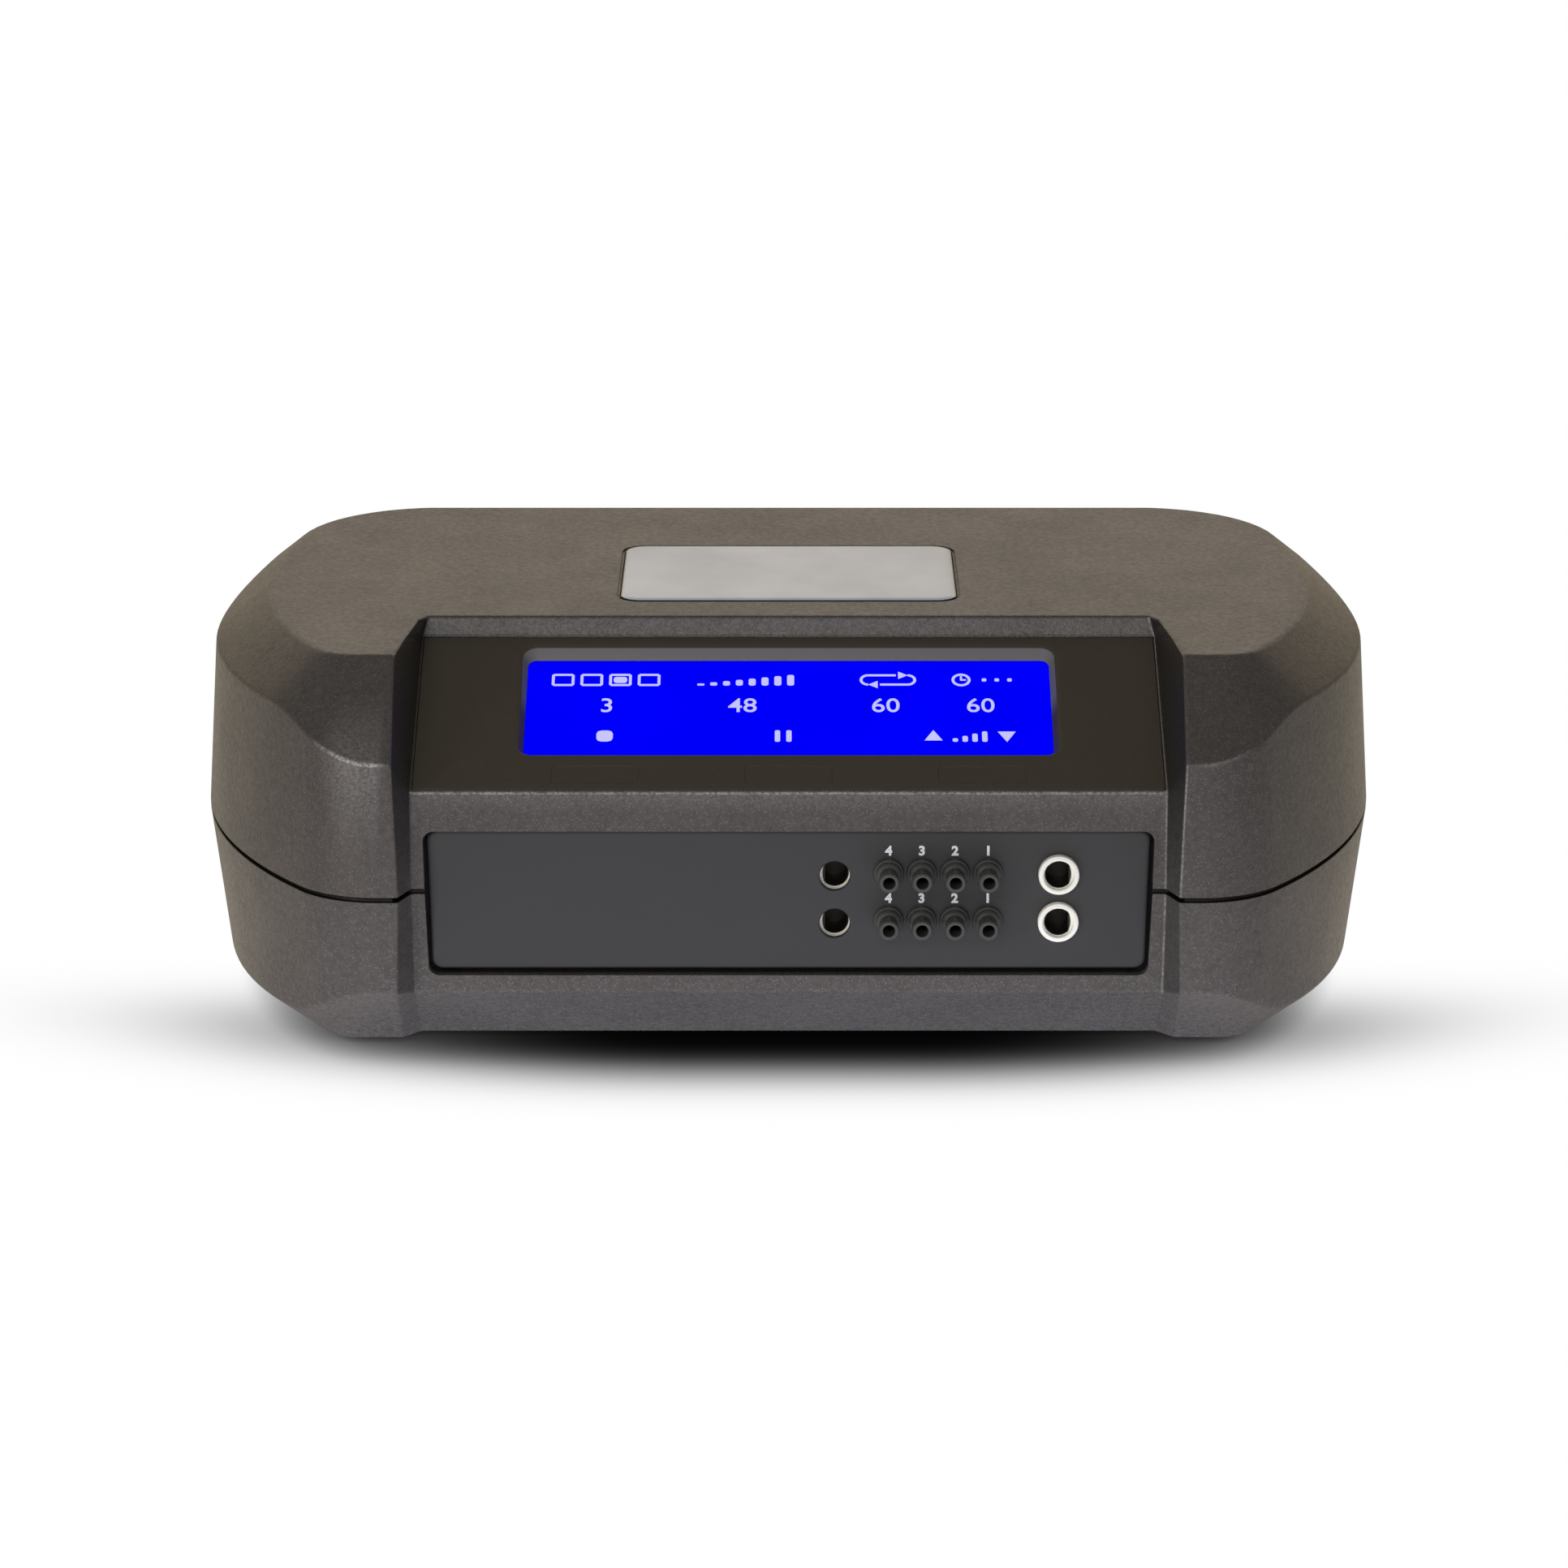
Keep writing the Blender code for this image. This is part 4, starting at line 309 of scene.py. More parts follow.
def box_corners(left: float, right: float, low: float, high: float) -> Corners:
    """Return the four corners of a rectangle, counter-clockwise."""
    return [(left, low), (right, low), (right, high), (left, high)]


def block(plane: Matrix, low: Sequence[float], high: Sequence[float]) -> Thing:
    """Make a box between two corners given in a face's own coordinates."""
    return prism(plane, box_corners(low[0], high[0], low[1], high[1]), low[2], high[2])


def circle(centre: Sequence[float], radius: float, steps: int) -> Corners:
    """Return the corners of a fine polygon drawn round a centre."""
    turns = [math.tau * step / steps for step in range(steps)]
    return [(centre[0] + radius * math.cos(turn), centre[1] + radius * math.sin(turn))
            for turn in turns]


def rod(plane: Matrix, centre: Sequence[float], low: float, high: float, radius: float,
        steps: int = 32) -> Thing:
    """Make a round bar that stands on a face, between two distances out of it."""
    return prism(plane, circle(centre, radius, steps), low, high)


def turned(plane: Matrix, centre: Sequence[float], profile: Corners, steps: int = 40,
           closed: bool = False) -> Thing:
    """Spin a profile about a line square to a face.

    Args:
        plane: The face's own axes.
        centre: Where the line meets the face.
        profile: Pairs of a distance out and a radius.
        steps: How many sides the turned form gets.
        closed: Whether the profile is a loop that stays off the line.

    Returns:
        The solid.
    """
    shape = bmesh.new()
    chain = [shape.verts.new((radius, 0.0, out)) for out, radius in profile]
    edges = [shape.edges.new(pair) for pair in zip(chain, chain[1:])]
    if closed:
        edges.append(shape.edges.new((chain[-1], chain[0])))
    bmesh.ops.spin(shape, geom=chain + edges, cent=(0, 0, 0), axis=(0, 0, 1), angle=math.tau,
                   steps=steps, use_merge=True)
    bmesh.ops.remove_doubles(shape, verts=shape.verts, dist=WELD_REACH)
    place = plane @ Matrix.Translation((centre[0], centre[1], 0))
    bmesh.ops.transform(shape, matrix=place, verts=shape.verts)
    return object_from(shape)


def rounded(corners: Corners, radius: float, steps: int = 8) -> Corners:
    """Return an outline whose corners are replaced by arcs of one radius."""
    outline = []
    count = len(corners)
    for index in range(count):
        here = Vector(corners[index])
        before = (Vector(corners[index - 1]) - here).normalized()
        after = (Vector(corners[(index + 1) % count]) - here).normalized()
        half_angle = before.angle(after) / 2
        centre = here + (before + after).normalized() * (radius / math.sin(half_angle))
        run = radius / math.tan(half_angle)
        start = here + before * run - centre
        sweep = start.angle_signed(here + after * run - centre)
        for step in range(steps + 1):
            spoke = start.copy()
            spoke.rotate(Matrix.Rotation(-sweep * step / steps, 2))
            outline.append(tuple(centre + spoke))
    return outline


def softened(profile: Corners, reach: float, steps: int = 4, closed: bool = False) -> Corners:
    """Return a turned form's profile with each inner corner rounded by a reach.

    Args:
        profile: Pairs of a distance out and a radius.
        reach: How far along each side the rounding goes, at most.
        steps: How many places each rounded corner gets.
        closed: Whether the profile is a loop.

    Returns:
        The rounded profile.
    """
    places = [Vector(corner) for corner in profile]
    result = []
    for index, corner in enumerate(places):
        if not closed and index in (0, len(places) - 1):
            result.append(tuple(corner))
            continue
        before, after = places[index - 1], places[(index + 1) % len(places)]
        room = min((before - corner).length, (after - corner).length) * LARGEST_BEND
        result += [tuple(place) for place in bend(before, corner, after, min(reach, room), steps)]
    return result


def bend(before: Vector, corner: Vector, after: Vector, reach: float, steps: int) -> list[Vector]:
    """Return places of a soft bend that leaves a corner by a reach on both sides."""
    start = corner + (before - corner).normalized() * reach
    end = corner + (after - corner).normalized() * reach
    shares = [step / (steps - 1) for step in range(steps)]
    return [start.lerp(corner, share).lerp(corner.lerp(end, share), share) for share in shares]


def gather(things: Sequence[Thing]) -> Thing:
    """Gather separate solids into the first of them."""
    shape = bmesh.new()
    for thing in things:
        shape.from_mesh(thing.data)
    shape.to_mesh(things[0].data)
    shape.free()
    for thing in things[1:]:
        bpy.data.objects.remove(thing, do_unlink=True)
    return things[0]


def settle(thing: Thing) -> Thing:
    """Turn what an object's modifiers give into its plain mesh."""
    graph = bpy.context.evaluated_depsgraph_get()
    mesh = bpy.data.meshes.new_from_object(thing.evaluated_get(graph))
    thing.modifiers.clear()
    thing.data = mesh
    return thing


class Joining(Enum):
    """How one solid meets another."""

    CUT = "DIFFERENCE"
    FUSE = "UNION"


def combine(target: Thing, tools: Sequence[Thing],
            joining: Joining = Joining.CUT) -> None:
    """Cut solids out of another, or fuse them to it."""
    tool = gather(tools)
    change = target.modifiers.new("joining", "BOOLEAN")
    change.operation = joining.value
    change.solver = "EXACT"
    change.object = tool
    settle(target)
    bpy.data.objects.remove(tool, do_unlink=True)


def smooth(thing: Thing, angle: float = 32.0) -> Thing:
    """Shade a solid smoothly, but keep flat faces flat and edges past an angle crisp."""
    mesh = thing.data
    mesh.polygons.foreach_set("use_smooth", [True] * len(mesh.polygons))
    mesh.set_sharp_from_angle(angle=math.radians(angle))
    weights = thing.modifiers.new("flat faces", "WEIGHTED_NORMAL")
    weights.keep_sharp = True
    weights.weight = 60
    return settle(thing)


def rounded_edges(thing: Thing, width: float) -> Thing:
    """Round a solid's sharp edges by a width."""
    change = thing.modifiers.new("rounding", "BEVEL")
    change.width = width
    change.segments = 3
    change.limit_method = "ANGLE"
    change.angle_limit = math.radians(35.0)
    return settle(thing)


def mark(thing: Thing, name: str, value_at: Callable[[Vector], float]) -> None:
    """Write a value for each place of a mesh into an attribute for its finish to read."""
    layer = thing.data.attributes.new(name, "FLOAT", "POINT")
    for vertex in thing.data.vertices:
        layer.data[vertex.index].value = value_at(vertex.co)


def value_of(marks: Sequence[Mark]) -> Callable[[Vector], float]:
    """Make the rule that gives a place the value of the mark it lies on, or else nought.

    Args:
        marks: Pairs of a place and its value.

    Returns:
        The rule.
    """
    tree = KDTree(len(marks))
    for index, (place, _) in enumerate(marks):
        tree.insert(place, index)
    tree.balance()

    def value_at(place: Vector) -> float:
        """Look up one place."""
        _, index, distance = tree.find(place)
        return marks[index][1] if distance < MATCH_REACH else 0.0

    return value_at


def copy_of(node: str) -> Thing:
    """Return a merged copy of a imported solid's mesh, with its flat faces made whole."""
    shape = bmesh.new()
    shape.from_mesh(frame["nodes"][node].data)
    bmesh.ops.remove_doubles(shape, verts=shape.verts, dist=WELD_REACH)
    bmesh.ops.dissolve_limit(shape, angle_limit=math.radians(1.0), verts=shape.verts,
                             edges=shape.edges)
    return object_from(shape, node)


def written(text: str, height: float, weight: float, plane: Matrix, place: Sequence[float],
            thickness: float) -> Thing:
    """Make raised characters on a face, centred on a place.

    Args:
        text: What is written.
        height: The height of a digit.
        weight: How far the strokes are thickened.
        plane: The face's own axes.
        place: The middle of the text, and its distance out of the face.
        thickness: How thick the characters are.

    Returns:
        A plain mesh object.
    """
    curve = bpy.data.curves.new("characters", "FONT")
    curve.body = text
    curve.align_x = "CENTER"
    curve.align_y = "CENTER"
    curve.size = height / DIGIT_SHARE
    curve.offset = weight
    curve.extrude = thickness / 2
    curve.resolution_u = 4
    guide = add_object("characters", curve)
    graph = bpy.context.evaluated_depsgraph_get()
    mesh = bpy.data.meshes.new_from_object(guide.evaluated_get(graph))
    bpy.data.objects.remove(guide, do_unlink=True)
    heights = [vertex.co.y for vertex in mesh.vertices]
    middle = (min(heights) + max(heights)) / 2
    shift = Matrix.Translation((place[0], place[1] - middle, place[2] + thickness / 2))
    mesh.transform(plane @ shift)
    return add_object("characters", mesh)


# Node trees


class NodeBoard:
    """A node tree with short ways to add and join nodes."""

    def __init__(self, tree: bpy.types.NodeTree) -> None:
        """Hold the tree that the nodes go into."""
        self.tree = tree

    def fill(self, node: bpy.types.Node, inputs: dict[str | int, object]) -> bpy.types.Node:
        """Give a node's inputs links, where the sources are sockets, or else values."""
        for key, source in inputs.items():
            if isinstance(source, Socket):
                self.tree.links.new(source, node.inputs[key])
            else:
                node.inputs[key].default_value = source
        return node

    def add(self, kind: str, inputs: dict[str | int, object] | None = None,
            **settings: object) -> bpy.types.Node:
        """Add a node, set its properties and fill its inputs."""
        node = self.tree.nodes.new(kind)
        for name, value in settings.items():
            setattr(node, name, value)
        return self.fill(node, inputs or {})

    def calc(self, operation: str, first: object, second: object = 0.0,
             clamp: bool = False) -> Socket:
        """Add a Math node and return its output."""
        settings = {"operation": operation, "use_clamp": clamp}
        return self.add("ShaderNodeMath", {0: first, 1: second}, **settings).outputs[0]

    def plus(self, first: object, second: object, clamp: bool = False) -> Socket:
        """Add two values up."""
        return self.calc("ADD", first, second, clamp)

    def times(self, first: object, second: object, clamp: bool = False) -> Socket:
        """Multiply two values."""
        return self.calc("MULTIPLY", first, second, clamp)

    def ranged(self, value: object, low: float, high: float, to_low: float = 0.0,
               to_high: float = 1.0) -> Socket:
        """Map a value from one range to another, clamped, and return the output."""
        return self.add("ShaderNodeMapRange", {
            "Value": value, "From Min": low, "From Max": high, "To Min": to_low, "To Max": to_high,
        }).outputs["Result"]

    def blend(self, factor: object, first: object, second: object) -> Socket:
        """Mix two colours by a factor and return the output."""
        first, second = (
            (*colour, 1.0) if isinstance(colour, tuple) else colour for colour in (first, second)
        )
        inputs = {"Factor": factor, "A": first, "B": second}
        return self.add("ShaderNodeMix", inputs, data_type="RGBA").outputs["Result"]

    def noise(self, scale: object, detail: float = 2.0) -> Socket:
        """Add a Noise Texture on the object's own places and return its value."""
        return self.add("ShaderNodeTexNoise", {
            "Vector": self.place(), "Scale": scale, "Detail": detail, "Roughness": 0.5,
        }).outputs["Fac"]

    def place(self) -> Socket:
        """Return the object's own places."""
        return self.add("ShaderNodeTexCoord").outputs["Object"]

    def split(self, vector: Socket) -> bpy.types.NodeOutputs:
        """Return a vector's three parts by name."""
        return self.add("ShaderNodeSeparateXYZ", {0: vector}).outputs


@dataclass(frozen=True)
class Grid:
    """Where copies of a form stand: a number of steps along each of two directions."""

    start: Place
    step_a: Place
    count_a: int
    step_b: Place = (0.0, 0.0, 0.0)
    count_b: int = 1

    @classmethod
    def of_four(cls, places: Pair) -> "Grid":
        """Return the grid of four places that mirror one another about both middles."""
        x, y = places
        return cls((-x, -y, 0), (2 * x, 0, 0), 2, (0, 2 * y, 0), 2)


class GridTree:
    """The Geometry Nodes tree that sets copies of a form on a grid."""

    def __init__(self) -> None:
        """Build the tree once, with named inputs for every size."""
        self.tree = bpy.data.node_groups.new("copies on a grid", "GeometryNodeTree")
        self.board = NodeBoard(self.tree)
        kinds = {
            "Form": "Geometry", "Start": "Vector", "Step A": "Vector", "Count A": "Int",
            "Step B": "Vector", "Count B": "Int", "Finish": "Material",
        }
        sockets = self.tree.interface
        for name, kind in kinds.items():
            sockets.new_socket(name=name, in_out="INPUT", socket_type="NodeSocket" + kind)
        sockets.new_socket(name="Copies", in_out="OUTPUT", socket_type="NodeSocketGeometry")
        given = self.board.add("NodeGroupInput").outputs
        line_a = self.line({
            "Offset": given["Step A"], "Count": given["Count A"], "Start Location": given["Start"],
        })
        line_b = self.line({"Offset": given["Step B"], "Count": given["Count B"]})
        places = self.copies(line_a, line_b)
        forms = {"Geometry": self.copies(places, given["Form"]), "Material": given["Finish"]}
        paint = self.board.add("GeometryNodeSetMaterial", forms)
        self.board.add("NodeGroupOutput", {"Copies": paint.outputs["Geometry"]})

    def line(self, inputs: dict[str, Socket]) -> Socket:
        """Add a row of places and return its output."""
        return self.board.add("GeometryNodeMeshLine", inputs, mode="OFFSET").outputs["Mesh"]

    def copies(self, places: Socket, form: Socket) -> Socket:
        """Set a form on each place, make the copies real and return them."""
        inputs = {"Points": places, "Instance": form}
        spread = self.board.add("GeometryNodeInstanceOnPoints", inputs)
        real = {"Geometry": spread.outputs["Instances"]}
        return self.board.add("GeometryNodeRealizeInstances", real).outputs["Geometry"]

    def spread(self, form: Thing, grid: Grid, finish: bpy.types.Material) -> Thing:
        """Turn one form into its copies on a grid, as a plain mesh.

        Args:
            form: The form, drawn about the origin.
            grid: Where the copies stand.
            finish: The copies' material.

        Returns:
            The same object, holding all the copies.
        """
        values = {
            "Start": grid.start, "Step A": grid.step_a, "Count A": grid.count_a,
            "Step B": grid.step_b, "Count B": grid.count_b, "Finish": finish,
        }
        change = form.modifiers.new("copies", "NODES")
        change.node_group = self.tree
        for item in self.tree.interface.items_tree:
            if item.in_out == "INPUT" and item.name in values:
                change[item.identifier] = values[item.name]
        form.data.materials.append(finish)
        return settle(form)


# Finishes


class SharedEffects:
    """The shader node groups that more than one finish uses, each built once."""

    def __init__(self) -> None:
        """Build every group."""
        self.grain = self.moulded_grain()
        self.lines = self.drawn_lines()
        self.rub = self.rubbed_edges()
        self.dust = self.settled_dust()

    @staticmethod
    def start(name: str, inputs: dict[str, object], outputs: Sequence[str]
              ) -> tuple[NodeBoard, bpy.types.NodeOutputs, bpy.types.Node]:
        """Start a group.

        Args:
            name: The group's name.
            inputs: Each input's name and default.
            outputs: The names of the values that it puts out.

        Returns:
            A board on the group's tree, what its inputs give, and its output node.
        """
        tree = bpy.data.node_groups.new(name, "ShaderNodeTree")
        for key, value in inputs.items():
            kind = "NodeSocketVector" if isinstance(value, tuple) else "NodeSocketFloat"
            socket = tree.interface.new_socket(name=key, in_out="INPUT", socket_type=kind)
            socket.default_value = value
        for key in outputs:
            tree.interface.new_socket(name=key, in_out="OUTPUT", socket_type="NodeSocketFloat")
        board = NodeBoard(tree)
        return board, board.add("NodeGroupInput").outputs, board.add("NodeGroupOutput")

    def moulded_grain(self) -> bpy.types.NodeTree:
        """Build the fine leather-like texture of moulded plastic, with a few bright points."""
        board, given, result = self.start(
            "moulded grain", {"Size": 0.0006, "Glint share": 0.1}, ("Height", "Tone", "Glint")
        )
        scale = board.calc("DIVIDE", 1.0, given["Size"])
        cells = board.add("ShaderNodeTexVoronoi", {"Vector": board.place(), "Scale": scale},
                          feature="F1").outputs
        fine = board.noise(board.times(scale, 1.7), 1.0)
        broad = board.noise(board.times(scale, 0.022), 3.0)
        middle = board.noise(board.times(scale, 0.35))
        bump = board.calc("SUBTRACT", 1.0, board.ranged(cells["Distance"], 0.0, 0.8))
        mixed = board.plus(board.times(fine, 0.5), board.times(middle, 0.5))
        draw = board.add("ShaderNodeSeparateColor", {"Color": cells["Color"]}).outputs["Red"]
        board.fill(result, {
            "Height": board.plus(board.times(bump, 0.55), board.times(fine, 0.45)),
            "Tone": board.plus(board.ranged(mixed, 0.36, 0.64, 0.0, 0.8),
                               board.ranged(broad, 0.35, 0.65, 0.0, 0.2)),
            "Glint": board.times(board.calc("LESS_THAN", draw, given["Glint share"]),
                                 board.ranged(cells["Distance"], 0.15, 0.45, 1.0, 0.0)),
        })
        return board.tree

    def drawn_lines(self) -> bpy.types.NodeTree:
        """Build long fine lines, as brushing, windings and laminations leave."""
        board, given, result = self.start(
            "drawn lines", {"Stretch": (1.0, 1.0, 1.0), "Size": 0.0005}, ("Height", "Tone")
        )
        drawn = board.add("ShaderNodeVectorMath", {0: board.place(), 1: given["Stretch"]},
                          operation="MULTIPLY").outputs[0]
        line = board.add("ShaderNodeTexNoise", {
            "Vector": drawn, "Scale": board.calc("DIVIDE", 1.0, given["Size"]), "Detail": 2.0,
            "Roughness": 0.5,
        }).outputs["Fac"]
        board.fill(result, {
            "Height": line,
            "Tone": board.plus(board.ranged(line, 0.35, 0.65, 0.0, 0.7),
                               board.ranged(board.noise(60.0), 0.35, 0.65, 0.0, 0.3)),
        })
        return board.tree

    def rubbed_edges(self) -> bpy.types.NodeTree:
        """Build the broken bright line along proud edges, part wear from handling and part painted
        highlight.
        """
        board, given, result = self.start(
            "rubbed edges", {"Size": 0.0008, "Amount": 1.0}, ("Mask",)
        )
        worn_and_highlit = board.add("ShaderNodeAttribute", attribute_name=WEAR_AND_HIGHLIGHT).outputs["Fac"]
        broken = board.ranged(board.noise(board.calc("DIVIDE", 1.0, given["Size"])), 0.38, 0.62)
        share = board.plus(board.times(broken, 0.75), 0.25)
        mask = board.times(board.ranged(worn_and_highlit, 0.1, 0.9), share)
        board.fill(result, {"Mask": board.times(mask, given["Amount"], True)})
        return board.tree

    def settled_dust(self) -> bpy.types.NodeTree:
        """Build a thin uneven film on what faces up."""
        board, given, result = self.start("settled dust", {"Amount": 0.1}, ("Mask",))
        up = board.split(board.add("ShaderNodeNewGeometry").outputs["Normal"])["Z"]
        uneven = board.ranged(board.noise(45.0, 4.0), 0.3, 0.75)
        film = board.times(board.ranged(up, 0.3, 1.0), uneven)
        board.fill(result, {"Mask": board.times(film, given["Amount"])})
        return board.tree

WHITE = (1.0, 1.0, 1.0)
DUST_COLOUR = (0.45, 0.42, 0.38)
# Painted shade: the near-black that crevices are darkened towards.
CREVICE_SHADE_COLOUR = (0.004, 0.005, 0.005)


def start_material(name: str) -> tuple[bpy.types.Material, NodeBoard, bpy.types.Node]:
    """Start a material and return it with a board on its nodes and its shader."""
    material = bpy.data.materials.new(name)
    material.use_nodes = True
    tree = material.node_tree
    return material, NodeBoard(tree), tree.nodes["Principled BSDF"]


class Pattern(Enum):
    """What breaks up a finish."""

    GRAIN = "grain"
    LINES = "lines"

@dataclass(frozen=True)
class Finish:
    """A solid finish: its colours, its sheen and what breaks it up."""

    slot: str
    base: Colour
    shade: Colour
    roughness: float = 0.5
    spread: float = 0.08
    metallic: float = 0.0
    specular: float = 0.5
    pattern: Pattern = Pattern.GRAIN
    size: float = 0.0006
    stretch: Colour = (1.0, 1.0, 1.0)
    depth: float = 0.00002
    strength: float = 0.4
    glint: float = 0.0
    glint_colour: Colour = (0.5, 0.48, 0.46)
    # Bright line on proud edges: part wear, part painted highlight.
    rub: float = 0.0
    rub_colour: Colour = (0.42, 0.41, 0.40)
    dust: float = 0.0
    # How far the ambient occlusion reaches that paints shade into crevices.
    grime: float = 0.0
    edge_radius: float = 0.0
    # Colour painted where that attribute is set: painted shade, except on the bezel, where it is a
    # painted highlight.
    marked: Colour | None = None
    mark_span: Pair = (0.4, 0.6)
    coat: float = 0.0

    def build(self, effects: SharedEffects, suffix: str = "") -> bpy.types.Material:
        """Build the material.

        Args:
            effects: The shared node groups.
            suffix: What tells this variant's name from the slot's own.

        Returns:
            The finished material.
        """
        material, board, shader = start_material(self.slot + suffix)
        if self.pattern is Pattern.LINES:
            group, own = effects.lines, {"Stretch": self.stretch}
        else:
            group, own = effects.grain, {"Glint share": self.glint}
        broken = board.add("ShaderNodeGroup", node_tree=group)
        board.fill(broken, {"Size": self.size, **own})
        tone = broken.outputs["Tone"]
        colour = board.blend(tone, self.shade, self.base)
        if self.glint:
            colour = board.blend(broken.outputs["Glint"], colour, self.glint_colour)
        # A bright line on proud edges, part wear and part painted highlight, then a thin film of
        # dust.
        for amount, effect, top in ((self.rub, effects.rub, self.rub_colour),
                                   (self.dust, effects.dust, DUST_COLOUR)):
            if amount:
                layer = board.add("ShaderNodeGroup", node_tree=effect)
                layer.inputs["Amount"].default_value = amount
                colour = board.blend(layer.outputs["Mask"], colour, top)
        # Painted shade: darken the colour where ambient occlusion finds a crevice.
        if self.grime:
            crevice = board.add("ShaderNodeAmbientOcclusion", {"Distance": self.grime}, samples=4,
                                only_local=True)
            colour = board.blend(board.ranged(crevice.outputs["AO"], 0.25, 0.75),
                                 board.blend(0.75, colour, CREVICE_SHADE_COLOUR), colour)
        # Painted shade where the attribute is set; on the bezel the same paint is a highlight.
        if self.marked:
            face = board.add("ShaderNodeAttribute", attribute_name=SHADE_AND_HIGHLIGHT_MARK).outputs["Fac"]
            colour = board.blend(board.ranged(face, *self.mark_span), colour, self.marked)
        bump = board.add("ShaderNodeBump", {
            "Strength": self.strength, "Distance": self.depth, "Height": broken.outputs["Height"],
        })
        if self.edge_radius:
            soft = board.add("ShaderNodeBevel", {"Radius": self.edge_radius}, samples=6)
            board.fill(bump, {"Normal": soft.outputs["Normal"]})
        board.fill(shader, {
            "Base Color": colour, "Metallic": self.metallic, "Specular IOR Level": self.specular,
            "Coat Weight": self.coat, "Coat Roughness": 0.25, "Normal": bump.outputs["Normal"],
            "Roughness": board.ranged(tone, 0.0, 1.0, self.roughness + self.spread,
                                      self.roughness - self.spread),
        })
        return material


@dataclass(frozen=True)
class LitFinish:
    """A finish that gives off its own light, as a display does."""

    slot: str
    light: Colour
    dimming: float = 0.94

    def build(self, effects: SharedEffects, suffix: str = "") -> bpy.types.Material:
        """Build the material, whose light is a little uneven.

        Args:
            effects: The shared node groups, of which none is needed here.
            suffix: What tells this variant's name from the slot's own.

        Returns:
            The finished material.
        """
        material, board, shader = start_material(self.slot + suffix)
        uneven = board.ranged(board.noise(30.0, 1.0), 0.3, 0.7)
        dimmer = tuple(part * self.dimming for part in self.light)
        board.fill(shader, {
            "Base Color": (0.0, 0.0, 0.0, 1.0), "Roughness": 0.35, "Specular IOR Level": 0.0,
            "Emission Strength": 1.0, "Emission Color": board.blend(uneven, dimmer, self.light),
        })
        return material


